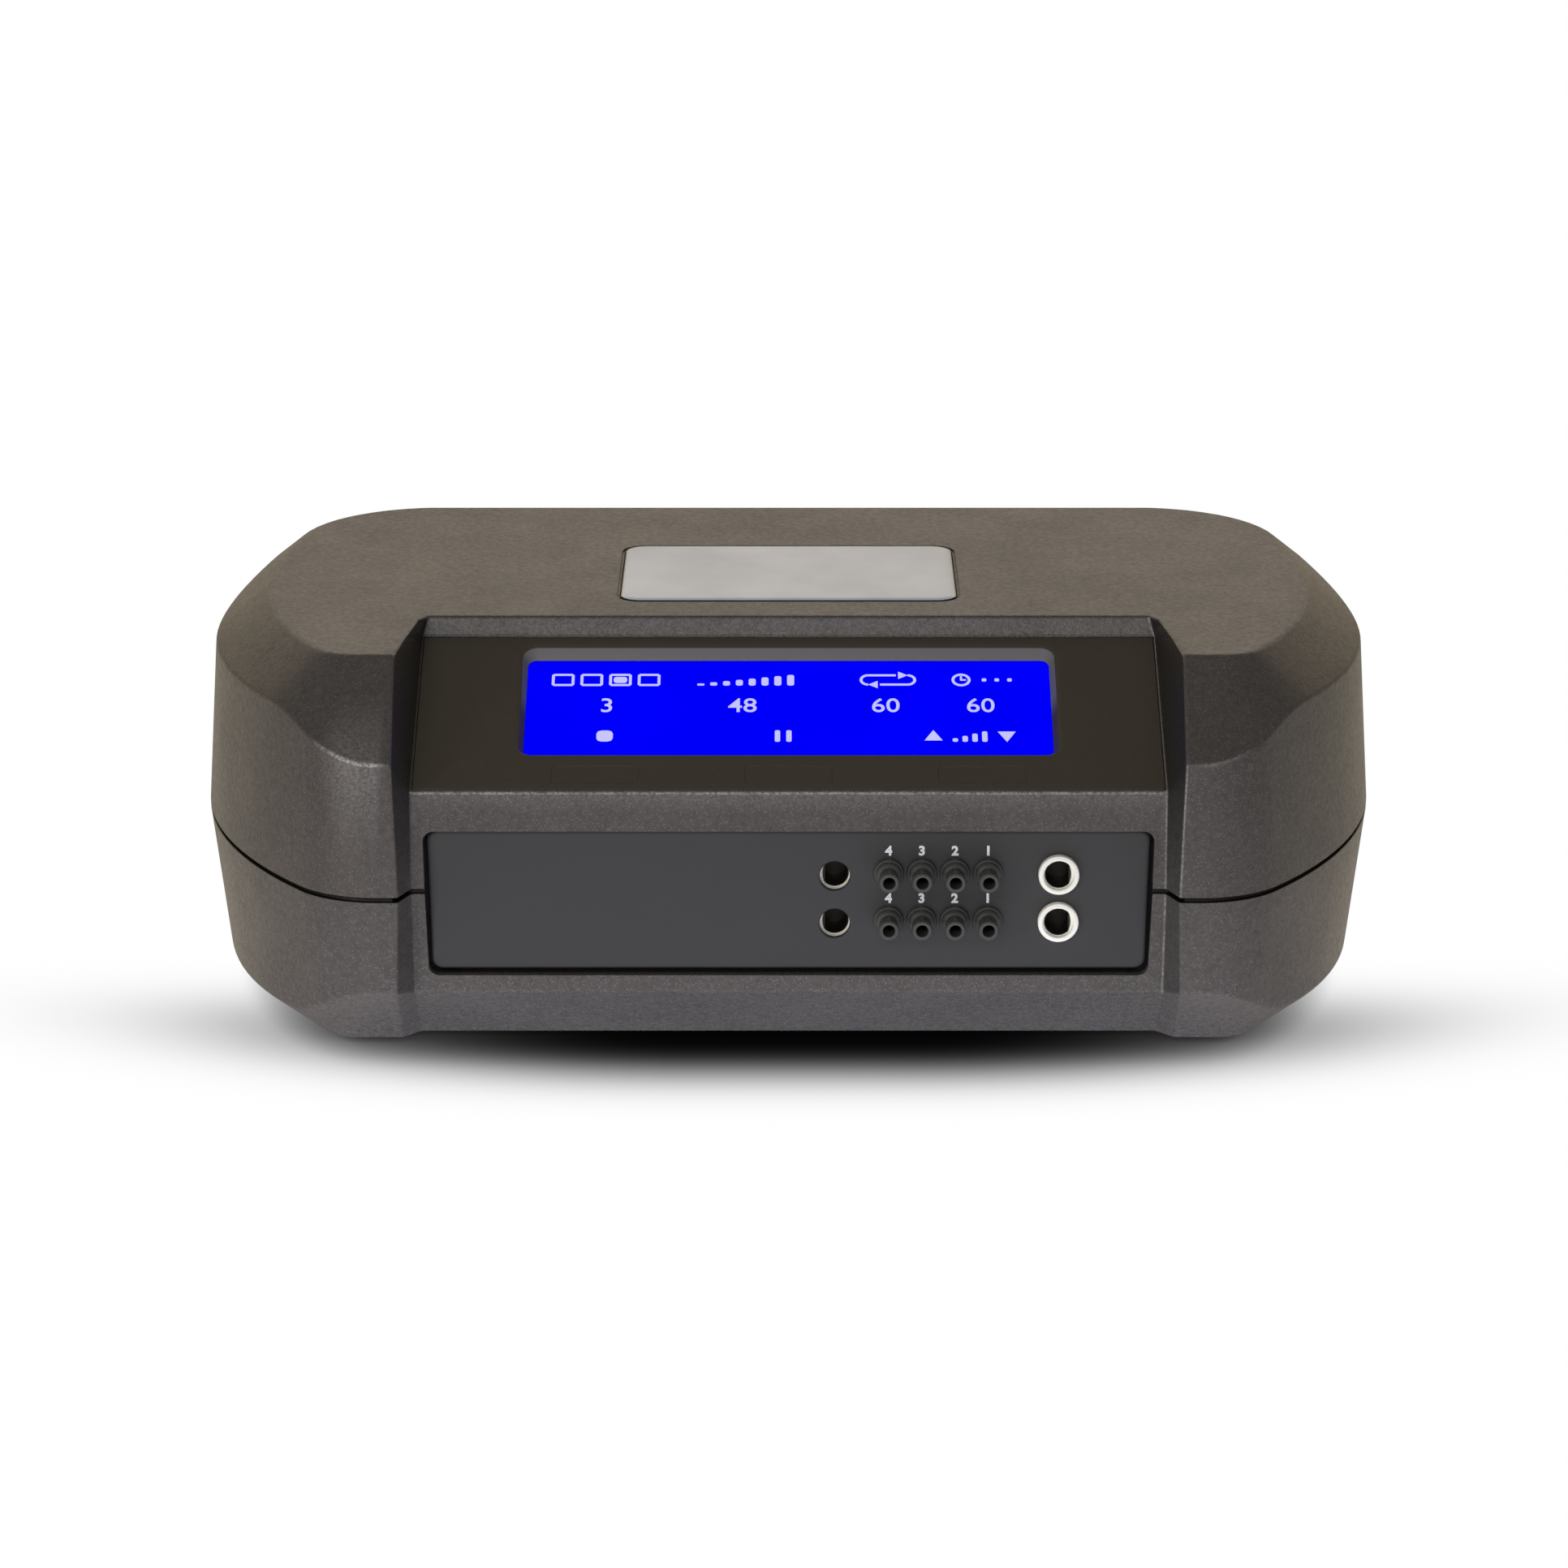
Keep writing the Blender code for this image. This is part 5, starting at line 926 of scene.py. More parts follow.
RECIPES: tuple[Finish | LitFinish, ...] = (
    # Case: a bright line on proud edges, part wear and part painted highlight; painted shade in
    # crevices; near-black painted shade in the groove, round the badge seat and on the recess sides.
    Finish(
        "case_plastic", (0.090, 0.081, 0.078), (0.050, 0.045, 0.043), 0.40, 0.08, specular=0.32,
        size=0.00055, depth=0.00009, strength=0.80, glint=0.34, glint_colour=(0.15, 0.14, 0.14),
        rub=0.9, rub_colour=(0.48, 0.46, 0.45), dust=0.02, grime=0.016, edge_radius=0.0005,
        marked=(0.003, 0.004, 0.004), mark_span=(0.0, 1.0),
    ),
    Finish(
        "panel_plastic", (0.036, 0.036, 0.041), (0.032, 0.032, 0.037), 0.50, 0.04, specular=0.4,
        size=0.00025, depth=0.00001, strength=0.3, edge_radius=0.0006,
    ),
    # Painted highlight, light grey, on the window's upper slope.
    Finish(
        "bezel_plastic", (0.049, 0.040, 0.028), (0.040, 0.033, 0.024), 0.46, 0.04, size=0.00035,
        depth=0.00001, strength=0.35, edge_radius=0.0004, marked=(0.165, 0.165, 0.165),
    ),
    Finish(
        "key_plastic", (0.049, 0.040, 0.028), (0.040, 0.033, 0.024), 0.46, 0.04, size=0.00035,
        depth=0.00001, strength=0.35,
    ),
    LitFinish("screen_glass", (0.0, 0.0, 1.0)),
    # Painted shade, dark blue, round the plate's foot in its seat.
    Finish(
        "badge_metal", (0.76, 0.88, 1.0), (0.60, 0.70, 0.82), 0.30, 0.03, pattern=Pattern.LINES,
        size=0.030, stretch=(1.0, 0.6, 1.0), depth=0.000002, strength=0.05, coat=0.4,
        marked=(0.012, 0.018, 0.030),
    ),
    Finish(
        "port_plastic", (0.056, 0.058, 0.056), (0.042, 0.044, 0.042), 0.42, 0.06, size=0.0003,
        depth=0.00001,
    ),
    # Painted shade, near-black, inside the keyed bores.
    Finish(
        "socket_nylon", (0.86, 0.84, 0.76), (0.80, 0.78, 0.68), 0.38, 0.05, size=0.0004,
        depth=0.000008, marked=(0.004, 0.004, 0.004),
    ),
    Finish("manifold_plastic", (0.10, 0.10, 0.11), (0.08, 0.08, 0.09), 0.45),
    Finish(
        "foot_rubber", (0.022, 0.022, 0.022), (0.014, 0.014, 0.014), 0.85, 0.06, size=0.0007,
        dust=0.1,
    ),
    Finish(
        "screw_steel", (0.58, 0.57, 0.54), (0.44, 0.43, 0.41), 0.32, 0.08, 1.0,
        pattern=Pattern.LINES, size=0.0004, stretch=(1.0, 0.1, 1.0), depth=0.000005,
    ),
    Finish(
        "inlet_plastic", (0.020, 0.020, 0.021), (0.014, 0.014, 0.015), 0.36, 0.06, size=0.0003,
        depth=0.00001,
    ),
    Finish(
        "rocker_plastic", (0.024, 0.024, 0.025), (0.018, 0.018, 0.019), 0.22, 0.04, size=0.0005,
        depth=0.000006, coat=0.3,
    ),
    Finish(
        "board_laminate", (0.020, 0.17, 0.07), (0.012, 0.11, 0.045), 0.42, 0.1, size=0.0022,
        depth=0.00003, coat=0.2,
    ),
    Finish(
        "cast_aluminium", (0.62, 0.62, 0.63), (0.48, 0.48, 0.49), 0.46, 0.12, 0.95, size=0.0009,
        depth=0.00006, strength=0.6,
    ),
    Finish(
        "core_steel", (0.30, 0.30, 0.31), (0.16, 0.16, 0.17), 0.44, 0.1, 0.95,
        pattern=Pattern.LINES, size=0.0006, stretch=(0.02, 1.0, 0.02), depth=0.00005, strength=0.7,
    ),
    Finish(
        "coil_copper", (0.72, 0.30, 0.12), (0.46, 0.16, 0.06), 0.30, 0.08, 0.9,
        pattern=Pattern.LINES, size=0.0005, stretch=(1.0, 0.02, 0.02), depth=0.0001, strength=0.9,
        coat=0.4,
    ),
    Finish(
        "piston_steel", (0.60, 0.60, 0.61), (0.50, 0.50, 0.51), 0.24, 0.05, 1.0,
        pattern=Pattern.LINES, size=0.0003, stretch=(1.0, 0.05, 0.05), depth=0.000004,
    ),
    Finish("isolator_rubber", (0.025, 0.025, 0.025), (0.016, 0.016, 0.016), 0.85),
    Finish("valve_plastic", (0.62, 0.60, 0.54), (0.56, 0.54, 0.48), 0.42),
    Finish("rotor_plastic", (0.78, 0.78, 0.76), (0.72, 0.72, 0.70), 0.36),
    Finish(
        "motor_steel", (0.56, 0.56, 0.56), (0.42, 0.42, 0.42), 0.30, 0.07, 1.0,
        pattern=Pattern.LINES, size=0.0003, stretch=(0.05, 0.05, 1.0), depth=0.000005,
    ),
    Finish("hose_vinyl", (0.70, 0.72, 0.72), (0.62, 0.65, 0.66), 0.28, 0.06, coat=0.4),
)
VARIANTS: dict[str, Finish | LitFinish] = {
    "digit_paint": Finish(
        "panel_plastic", (0.86, 0.86, 0.86), (0.78, 0.78, 0.78), 0.5, 0.05, size=0.0003
    ),
    "display_marks": LitFinish("screen_glass", (0.578, 0.578, 1.0)),
}


class FinishCabinet:
    """Every finish of the pump, by the record's slot names, each built when first asked for."""

    recipes = {recipe.slot: recipe for recipe in RECIPES} | VARIANTS

    def __init__(self) -> None:
        """Build the shared groups."""
        self.effects = SharedEffects()
        self.built: dict[str, bpy.types.Material] = {}

    def __getitem__(self, name: str) -> bpy.types.Material:
        """Return a finish's material."""
        if name not in self.built:
            recipe = self.recipes[name]
            self.built[name] = recipe.build(self.effects, "" if name == recipe.slot else "_" + name)
        return self.built[name]


# The pump's own pieces


@dataclass
class Bench:
    """What every sub-assembly works with: the finishes and the way to hand a piece over."""

    finishes: FinishCabinet = field(default_factory=FinishCabinet)
    grid: GridTree = field(default_factory=GridTree)

    def hand_over(self, piece: Thing, name: str, finish: str, nodes: Sequence[str] = (),
                  body: str = "case") -> None:
        """Name a piece, give it its finish, set it on its body and report it.

        Args:
            piece: The finished mesh object.
            name: The piece's name.
            finish: The name of its finish.
            nodes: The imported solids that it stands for.
            body: The body that it moves with.
        """
        piece.name = name
        piece.data.name = name
        piece.data.materials.clear()
        piece.data.materials.append(self.finishes[finish])
        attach(piece, body)
        self.finishes.recipes[finish].slot
        if nodes:
            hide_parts(*nodes)
        log.info("%s: %d faces, moves with %s", name, len(piece.data.polygons), body)


class Half(Enum):
    """The two halves of the case."""

    UPPER = "upper"
    LOWER = "lower"


def flipped(place: Vector) -> Vector:
    """Return a place's mirror image on the pump's other side."""
    return Vector((-place.x, place.y, place.z))


def both_sides(right: Sequence[Vector]) -> list[Vector]:
    """Return a closed ring from its right half."""
    return [*right, *(flipped(place) for place in reversed(right))]


@dataclass
class CaseForm:
    """The outer form of the case, or the hollow in it when inset is the wall's thickness."""

    sizes: PumpSizes
    inset: float = 0.0
    slope_inset: float = 0.0
    arc_steps: int = 18
    bend_steps: int = 5
    low_bend: float = 0.0009
    high_bend: float = 0.0012
    foot_bend: float = 0.0006
    heel_bend: float = 0.0006
    crest_bend: float = 0.0010
    pod_edge_bend: float = 0.0009
    floor_edge_bend: float = 0.0008
    rim_bend: float = 0.0003
    rim_land: float = 0.0009
    land: float = 0.0008
    least_front: float = 0.0007
    wall_corner: float = 0.028
    flat_edges: tuple[tuple[float, float, float, float], ...] = (
        (0.0193, 0.0315, 0.0300, 0.012), (0.0193, 0.0230, 0.0440, 0.040),
        (0.0166, 0.0330, 0.0304, 0.008),
    )
    wall: RoundEnd = field(init=False)
    front_top: RoundEnd = field(init=False)
    back_top: RoundEnd = field(init=False)
    base_edge: RoundEnd = field(init=False)

    def __post_init__(self) -> None:
        """Work out the wall's and the flat faces' outlines.

        A flat edge says how far in from the side and from the front or back it lies, its reach and
        its corner's radius.
        """
        s = self.sizes
        reach = s.half_width - (s.edge_x + s.edge_lean + s.wall + self.least_front)
        self.wall = RoundEnd(s.half_width, s.half_depth, reach, self.wall_corner).inset(self.inset)
        side = self.inset * math.tan(math.atan(s.rise_share) / 2)
        self.front_top, self.back_top, self.base_edge = (
            RoundEnd(s.half_width - across, s.half_depth - along, reach, corner).inset(side)
            for across, along, reach, corner in self.flat_edges
        )

    def edge_x(self, level: float) -> float:
        """Return the half width of the recess where it meets the pods."""
        s = self.sizes
        span = s.top - s.parting if level > s.parting else s.parting - s.base
        return s.edge_x + self.inset + s.edge_lean * abs(level - s.parting) / span

    def wall_place(self, station: tuple, level: float) -> Vector:
        """Return where a station's drafted wall lies at a height."""
        s = self.sizes
        kind, place, outwards = station
        draft = s.upper_draft if level > s.parting else s.lower_draft
        lean = abs(level - s.parting) * math.tan(draft)
        if kind == "floor":
            return Vector((s.floor_x + self.inset, s.recess_y(level) + self.inset))
        if kind == "edge":
            return Vector((self.edge_x(level), -self.wall.depth + lean))
        return place - outwards * lean

    def stations(self) -> list[tuple]:
        """Return the stations of the right half, from the middle of the front to the back."""
        samples = self.wall.samples(self.arc_steps)
        found: list[tuple] = [("floor", None, None), ("edge", None, None)]
        found += [("front", Vector((p.x, -p.y)), Vector((n.x, -n.y))) for p, n in samples]
        found += [("back", p, n) for p, n in reversed(samples[:-1])]
        return found

    def shoulder(self, station: tuple, outlines: tuple[RoundEnd, RoundEnd], flat: float,
                 direction: int) -> tuple[Vector, Vector, float]:
        """Return where the wall meets the chamfer, the chamfer's other edge and the height.

        Args:
            station: The station.
            outlines: The front and the back outline of the flat face.
            flat: The flat face's height.
            direction: Minus one below the top, one above the base.

        Returns:
            The place on the wall, the place on the flat face, and the wall place's height.
        """
        side = 1 if station[0] == "back" else -1
        outline = outlines[station[0] == "back"]
        level = self.sizes.parting
        for _ in range(30):
            place = self.wall_place(station, level)
            found = outline.foot(Vector((place.x, place.y * side)))
            foot = Vector((found.x, found.y * side))
            level = flat + direction * self.sizes.rise_share * (place - foot).length
        return place, foot, level

    def recess_corners(self) -> list[Vector]:
        """Return the recess floor's corners from its foot to its crest, as (y, height)."""
        s = self.sizes
        front = Vector((s.recess_y(s.parting) + self.inset, s.parting))
        front_along = Vector((math.tan(s.upper_draft), 1))
        along = s.slope_along
        slope = s.slope_foot + Vector((along.y, -along.x)) * self.slope_inset
        lip = s.lip_foot + Vector((self.inset, 0))
        lip_along = (s.lip_top - s.lip_foot).normalized()
        foot = line_meeting(front, front_along, slope, along)
        heel = line_meeting(slope, along, lip, lip_along)
        crest = line_meeting(lip, lip_along, Vector((0, s.top - self.inset)), Vector((1, 0)))
        return [foot, foot.lerp(heel, 0.5), heel, crest]

    def upper_line(self, station: tuple, rim_level: float) -> list[Vector]:
        """Return a station's corners from the upper half's rim to inside its flat top."""
        s = self.sizes
        top = s.top - self.inset
        rim = self.wall_place(station, rim_level)
        line = [Vector((rim.x, rim.y, rim_level))]
        corners = self.recess_corners()
        if station[0] == "floor":
            x = s.floor_x + self.inset
            line += [Vector((x, corner.x, corner.y)) for corner in corners[:3]]
            crest_x = x - s.lip_corner + s.lip_narrowing / 2
            line.append(Vector((crest_x, corners[3].x, corners[3].y)))
            line.append(line[-1] + Vector((0, 3 * self.land, 0)))
            return line
        place, foot, level = self.shoulder(station, (self.front_top, self.back_top), top, -1)
        line += [Vector((place.x, place.y, level)), Vector((foot.x, foot.y, top))]
        if station[0] == "edge":
            line[-1].x = self.edge_x(s.top)
            corner = Vector((line[-1].x - s.lip_narrowing, corners[3].x - s.lip_corner_length, top))
            line += [line[-1].lerp(corner, 0.5), corner]
            line.append(corner + Vector((3 * self.land, self.land, 0)))
            return line
        inwards = (foot - place).normalized().to_3d()
        run = self.high_bend + self.land
        line += [line[2] + inwards * run * share for share in (1.0, 1.5, 2.0)]
        return line

    def lower_line(self, station: tuple, rim_level: float) -> list[Vector]:
        """Return a station's corners from the lower half's rim to inside its flat underside."""
        s = self.sizes
        base = s.base + self.inset
        rim = self.wall_place(station, rim_level)
        line = [Vector((rim.x, rim.y, rim_level))]
        inwards = Vector((0, 1, 0))
        if station[0] == "floor":
            x = s.floor_x + self.inset
            reach = -self.base_edge.depth + s.recess_base_setback
            wall = Vector((s.recess_y(s.parting) + self.inset, s.parting))
            meeting = line_meeting(wall, Vector((-math.tan(s.lower_draft), 1)),
                                   Vector((reach, base)), Vector((-1, s.rise_share)))
            line += [Vector((x, meeting.x, meeting.y)), Vector((x, reach, base))]
        else:
            place, foot, level = self.shoulder(station, (self.base_edge, self.base_edge), base, 1)
            line += [Vector((place.x, place.y, level)), Vector((foot.x, foot.y, base))]
            if station[0] == "edge":
                line[-1].x = self.edge_x(s.base)
            else:
                inwards = (foot - place).normalized().to_3d()
        run = self.high_bend + self.land
        return line + [line[2] + inwards * run * share for share in (1.0, 1.5)]

    def line(self, station: tuple, half: Half, rim_level: float) -> list[Vector]:
        """Return a station's corners in one half."""
        lines = self.upper_line if half is Half.UPPER else self.lower_line
        return lines(station, rim_level)

    def column(self, station: tuple, half: Half, rim_level: float) -> list[Vector]:
        """Return a station's corners with each inner one rounded by its own reach."""
        line = self.line(station, half, rim_level)
        within = CaseForm(self.sizes, self.inset + self.rim_land).wall_place(station, rim_level)
        line.insert(0, Vector((within.x, within.y, rim_level)))
        reaches = {
            "floor": (self.foot_bend, self.foot_bend, self.heel_bend, self.crest_bend),
            "edge": (self.low_bend, self.high_bend, self.land, self.land),
        }.get(station[0], (self.low_bend, self.high_bend, self.land / 4, self.land / 4))
        if half is Half.LOWER:
            reaches = (self.low_bend, self.high_bend, self.land / 4)
        column = [line[0]]
        for index, reach in enumerate((self.rim_bend, *reaches), start=1):
            column += bend(line[index - 1], line[index], line[index + 1], reach, self.bend_steps)
        return column + [line[-1]]

    def rings(self, half: Half, rim_level: float) -> list[list[Vector]]:
        """Return closed rings through all stations, with the pods' inner edges rounded too."""
        columns = [self.column(station, half, rim_level) for station in self.stations()]
        rings = []
        last_sloping = 1 + self.bend_steps * 5 // 2 + self.bend_steps // 2
        for row in range(len(columns[0])):
            floor, edge, first = (column[row] for column in columns[:3])
            flat = half is Half.UPPER and row > last_sloping
            after = edge + Vector((1, 0, 0)) if flat else first
            right = bend(flipped(floor), floor, edge, self.floor_edge_bend, 3)
            right += bend(floor, edge, after, self.pod_edge_bend, self.bend_steps)
            rings.append(both_sides(right + [column[row] for column in columns[2:]]))
        return rings

    def plain_rings(self, half: Half, rim_level: float) -> list[list[Vector]]:
        """Return closed rings with no rounding, for the hollow."""
        lines = [self.line(station, half, rim_level) for station in self.stations()]
        return [both_sides([line[row] for line in lines]) for row in range(len(lines[0]))]

    def ring_at(self, level: float, height: float) -> list[Vector]:
        """Return the wall's outline for one height, set at another."""
        right = [self.wall_place(station, level).to_3d() for station in self.stations()]
        for place in right:
            place.z = height
        return both_sides(right)

    def rubbed_places(self, half: Half, rim_level: float) -> list[Mark]:
        """Return the places along proud edges that are brightened, part by wear and part by a painted
        highlight, with their strength.

        Args:
            half: Which half of the case.
            rim_level: The height of that half's rim.

        Returns:
            Pairs of a place and a strength from nought to one.
        """
        rings = self.rings(half, rim_level)
        steps = self.bend_steps
        middle = steps // 2
        found = []
        last_worn_and_highlit = 5 * steps - 2 if half is Half.UPPER else 2 * steps
        # Stronger on the right than on the left, at the pods' inner edges and the lip's end: painted
        # highlights where the light from the left would catch, over the wear.
        for row, ring in enumerate(rings):
            rise = half is Half.UPPER and row < 2 * steps - 1
            for side in (1, -1):
                for offset, share in ((-1, 0.35), (0, 1.0), (1, 0.35)):
                    place = ring[3 + middle + offset]
                    strength = share * (0.55 if rise else 0.1) * (1.0 if side > 0 else 0.2)
                    found.append((Vector((place.x * side, place.y, place.z)), strength))
            lip = half is Half.UPPER and row > 3 * steps
            if row < last_worn_and_highlit:
                found.append((ring[1], 0.8 if lip else 0.45))
                if lip:
                    found += [(place, 0.22) for place in (ring[0], ring[-1])]
        # On the upper half the bright line also runs along the low chamfer edge, and far more on the
        # left pod's front arc than on the right: a painted highlight of the light from the left, over
        # the wear.
        if half is Half.UPPER:
            for offset, share in ((-2, 0.3), (-1, 0.8), (0, 1.0), (1, 0.8), (2, 0.3)):
                ring = rings[1 + steps + middle + offset]
                found += [(place, share * 0.7) for place in (ring[0], ring[-1], ring[-2])]
                for index, place in enumerate(ring[8:8 + self.arc_steps]):
                    fade = min(1.0, 1.7 * (1.0 - index / self.arc_steps)) * share
                    found += [(place, fade * 0.3), (flipped(place), fade)]
        return found

    def shaded_places(self, half: Half, rim_level: float) -> list[Mark]:
        """Return the places of the recess's sides, with how dark the shade painted on each is.

        Args:
            half: Which half of the case.
            rim_level: The height of that half's rim.

        Returns:
            Pairs of a place and a darkness from nought to one.
        """
        steps = self.bend_steps
        found = []
        for row, ring in enumerate(self.rings(half, rim_level)[:5 * steps - 2]):
            if half is Half.UPPER:
                dark = 0.80 if row > steps else 0.35
            else:
                dark = 0.30 if row < 2 * steps else 0.05
            for index, share in ((1, 0.5), (2, 1.0), (3, 1.0), (4, 0.6)):
                if index > 1:
                    found.append((ring[index], dark * share))
                found.append((flipped(ring[index]), dark * share))
        return found


@dataclass
class Case:
    """The two halves of the case, with their openings and seats."""

    bench: Bench
    sizes: PumpSizes = SIZES
    bezel_front_rim: float = 0.0012
    bezel_side_rim: float = 0.0004
    pocket_depth: float = 0.0030
    ledge: float = 0.0024
    screen_half: float = 0.0776
    screen_span: Pair = (0.0137, 0.0641)
    panel_top_half: float = 0.1003
    panel_bottom_half: float = 0.0993
    panel_low: float = 0.0272
    panel_high: float = 0.0683
    panel_gap: float = 0.0007
    panel_corner: float = 0.0030
    rear_half: float = 0.0620
    rear_low: float = 0.0295
    rear_high: float = 0.0665
    badge_half_width: float = 0.0485
    badge_front: float = -0.0226
    badge_depth: float = 0.0627
    badge_corner: float = 0.0060
    badge_sink: float = 0.0012
    badge_line: float = 0.0011
    line_depth: float = 0.0005
    seat_reach: float = 0.002
    groove_reach: float = 0.00016
    foot_places: Pair = (0.1120, 0.0600)
    foot_seat: Pair = (0.001, 0.0083)
    screw_places: Pair = (0.1350, 0.0450)
    screw_well: Pair = (0.034, 0.0042)
    post_radius: float = 0.0060
    slot_half: Pair = (0.0012, 0.016)
    slot_corner: float = 0.0011
    slot_cut: float = 0.004
    slot_middle: Pair = (0.040, -0.033)
    slot_pitch: float = 0.0065
    slot_count: int = 7

    def panel_outline(self, grow: float, top_half: float, bottom_half: float, low: float,
                      high: float) -> Corners:
        """Return an inset panel's outline, grown by an amount on every side."""
        corners = [
            (-bottom_half - grow, low - grow), (bottom_half + grow, low - grow),
            (top_half + grow, high + grow), (-top_half - grow, high + grow),
        ]
        return rounded(corners, self.panel_corner)

    def openings(self) -> list[Thing]:
        """Make the cutters for the front and the rear panel."""
        s = self.sizes
        spans = (
            (s.front, s.panel_setback, self.panel_top_half, self.panel_bottom_half, self.panel_low,
             self.panel_high),
            (s.rear, s.rear_setback, self.rear_half, self.rear_half, self.rear_low, self.rear_high),
        )
        return [prism(plane, self.panel_outline(self.panel_gap, *span), -s.panel_setback,
                      setback + s.overrun) for plane, setback, *span in spans]

    def badge_outline(self, grow: float) -> Corners:
        """Return the badge's outline, grown by an amount on every side."""
        half = self.badge_half_width + grow
        back = self.badge_front + self.badge_depth + grow
        corners = box_corners(-half, half, self.badge_front - grow, back)
        return rounded(corners, self.badge_corner + grow)

    def shell(self, half: Half) -> tuple[Thing, CaseForm, float]:
        """Make one half as an open shell with its rebated rim.

        Args:
            half: Which half of the case.

        Returns:
            The shell, its outer form and the height of its rim.
        """
        s = self.sizes
        outer = CaseForm(s)
        inner = CaseForm(s, s.wall, self.pocket_depth + self.ledge, arc_steps=6)
        if half is Half.UPPER:
            rim = s.parting + s.groove / 2
            rebate = CaseForm(s, s.tongue_inset - s.clearance, arc_steps=12)
            rebate_top = s.parting + s.tongue_height + s.clearance
            shell = loft(outer.rings(half, rim))
            hollow = loft([rebate.ring_at(s.parting, s.parting - s.overrun),
                           rebate.ring_at(s.parting, rebate_top)])
            combine(shell, [hollow])
            combine(shell, [loft(inner.plain_rings(half, rebate_top - s.clearance))])
            return shell, outer, rim
        rim = s.parting - s.groove / 2
        tongue = CaseForm(s, s.tongue_inset, arc_steps=12)
        tongue_top = s.parting + s.tongue_height
        shell = loft(outer.rings(half, rim))
        collar = loft([tongue.ring_at(s.parting, level) for level in (rim - s.wall, tongue_top)])
        combine(shell, [collar], Joining.FUSE)
        hollow = [inner.ring_at(s.parting, tongue_top + s.overrun)]
        combine(shell, [loft(hollow + inner.plain_rings(half, s.parting))])
        return shell, outer, rim

    def finish_shell(self, shell: Thing, form: CaseForm, half: Half, rim: float) -> None:
        """Mark a half's bright edges (part wear, part painted highlight) and the painted shade in its
        groove, round its badge seat and on its recess sides, and hand it over.

        Args:
            shell: The half.
            form: Its outer form.
            half: Which half it is.
            rim: The height of its rim.
        """
        upper = half is Half.UPPER
        side = 1.0 if upper else -1.0
        top = self.sizes.top
        # Painted shade: black in the parting groove and round the badge seat, and darker on the
        # recess's sides.
        recess = value_of(form.shaded_places(half, rim))

        def darkness(place: Vector) -> float:
            """Return how dark the painted shade is at a place."""
            seat = upper and abs(place.x) < self.badge_half_width + self.seat_reach
            seat = seat and top - self.seat_reach < place.z < top - 0.0001
            seat = seat and self.badge_front - self.seat_reach < place.y
            groove = (place.z - rim) * side < self.groove_reach
            return 1.0 if seat or groove else recess(place)

        smooth(shell)
        # Bright proud edges, part wear and part painted highlight.
        mark(shell, WEAR_AND_HIGHLIGHT, value_of(form.rubbed_places(half, rim)))
        mark(shell, SHADE_AND_HIGHLIGHT_MARK, darkness)
        name, node = "case_bottom_half", "lower_case"
        if upper:
            name, node = "case_top_half", "upper_case"
        self.bench.hand_over(shell, name, "case_plastic", [node])

    def build_upper(self) -> None:
        """Make and dress the upper half."""
        s = self.sizes
        shell, form, rim = self.shell(Half.UPPER)
        half = s.floor_x - self.bezel_side_rim
        above = s.top + s.overrun
        pocket = block(s.display, (-half, self.bezel_front_rim, -self.pocket_depth),
                       (half, s.slope_length - s.clearance, s.lip_drop))
        seat = prism(WORLD, self.badge_outline(s.clearance), s.top - self.badge_sink, above)
        line = prism(WORLD, self.badge_outline(self.badge_line), s.top - self.line_depth, above)
        low, high = self.screen_span
        through = self.pocket_depth + self.ledge + s.overrun
        screen = block(s.display, (-self.screen_half, low, -through), (self.screen_half, high, 0))
        for tools in ([pocket, seat], [line], [screen, *self.openings()]):
            combine(shell, tools)
        self.finish_shell(shell, form, Half.UPPER, rim)

    def build_lower(self) -> None:
        """Make and dress the lower half, with its foot seats, screw wells and air slots."""
        s = self.sizes
        shell, form, rim = self.shell(Half.LOWER)
        screws, feet = (
            [(side_x * x, side_y * y) for side_x in (-1, 1) for side_y in (-1, 1)]
            for x, y in (self.screw_places, self.foot_places)
        )
        span = (s.base + s.wall / 2, s.parting - s.groove)
        posts = [rod(WORLD, place, *span, self.post_radius) for place in screws]
        combine(shell, posts, Joining.FUSE)
        below = s.base - s.overrun
        depth, radius = self.screw_well
        wells = [rod(WORLD, place, below, s.base + depth, radius) for place in screws]
        depth, radius = self.foot_seat
        wells += [rod(WORLD, place, below, s.base + depth, radius, 48) for place in feet]
        width, length = self.slot_half
        outline = rounded(box_corners(-width, width, -length, length), self.slot_corner)
        middle_x, middle_y = self.slot_middle
        first = (middle_x - self.slot_count // 2 * self.slot_pitch, middle_y, s.base)
        slots = self.bench.grid.spread(
            prism(WORLD, outline, -self.slot_cut, self.slot_cut),
            Grid(first, (self.slot_pitch, 0, 0), self.slot_count),
            self.bench.finishes["case_plastic"],
        )
        combine(shell, [*wells, *self.openings(), slots])
        self.finish_shell(shell, form, Half.LOWER, rim)

    def build_badge(self) -> None:
        """Make the bare silver plate in its seat, with a dark line of painted shade round a bright
        bevelled edge.
        """
        top = self.sizes.top
        rings = [
            (0.0, self.sizes.clearance - self.badge_sink), (0.0, 0.0), (-0.0001, 0.0001),
            (-0.0003, 0.0001), (-0.0004, 0.00012), (-0.0008, 0.0003), (-0.0014, 0.0004),
            (-0.0022, 0.0005), (-0.0040, 0.0005),
        ]
        plate = lofted(WORLD, [self.badge_outline(grow) for grow, _ in rings],
                       [top + rise for _, rise in rings])
        # Painted shade round the plate's foot, where it sinks into its seat.
        mark(plate, SHADE_AND_HIGHLIGHT_MARK, lambda place: 1.0 if place.z < top + 0.00011 else 0.0)
        self.bench.hand_over(smooth(plate), "bare_badge", "badge_metal", ["badge_plate"])

    def build(self) -> None:
        """Make every piece of the case."""
        self.build_upper()
        self.build_lower()
        self.build_badge()


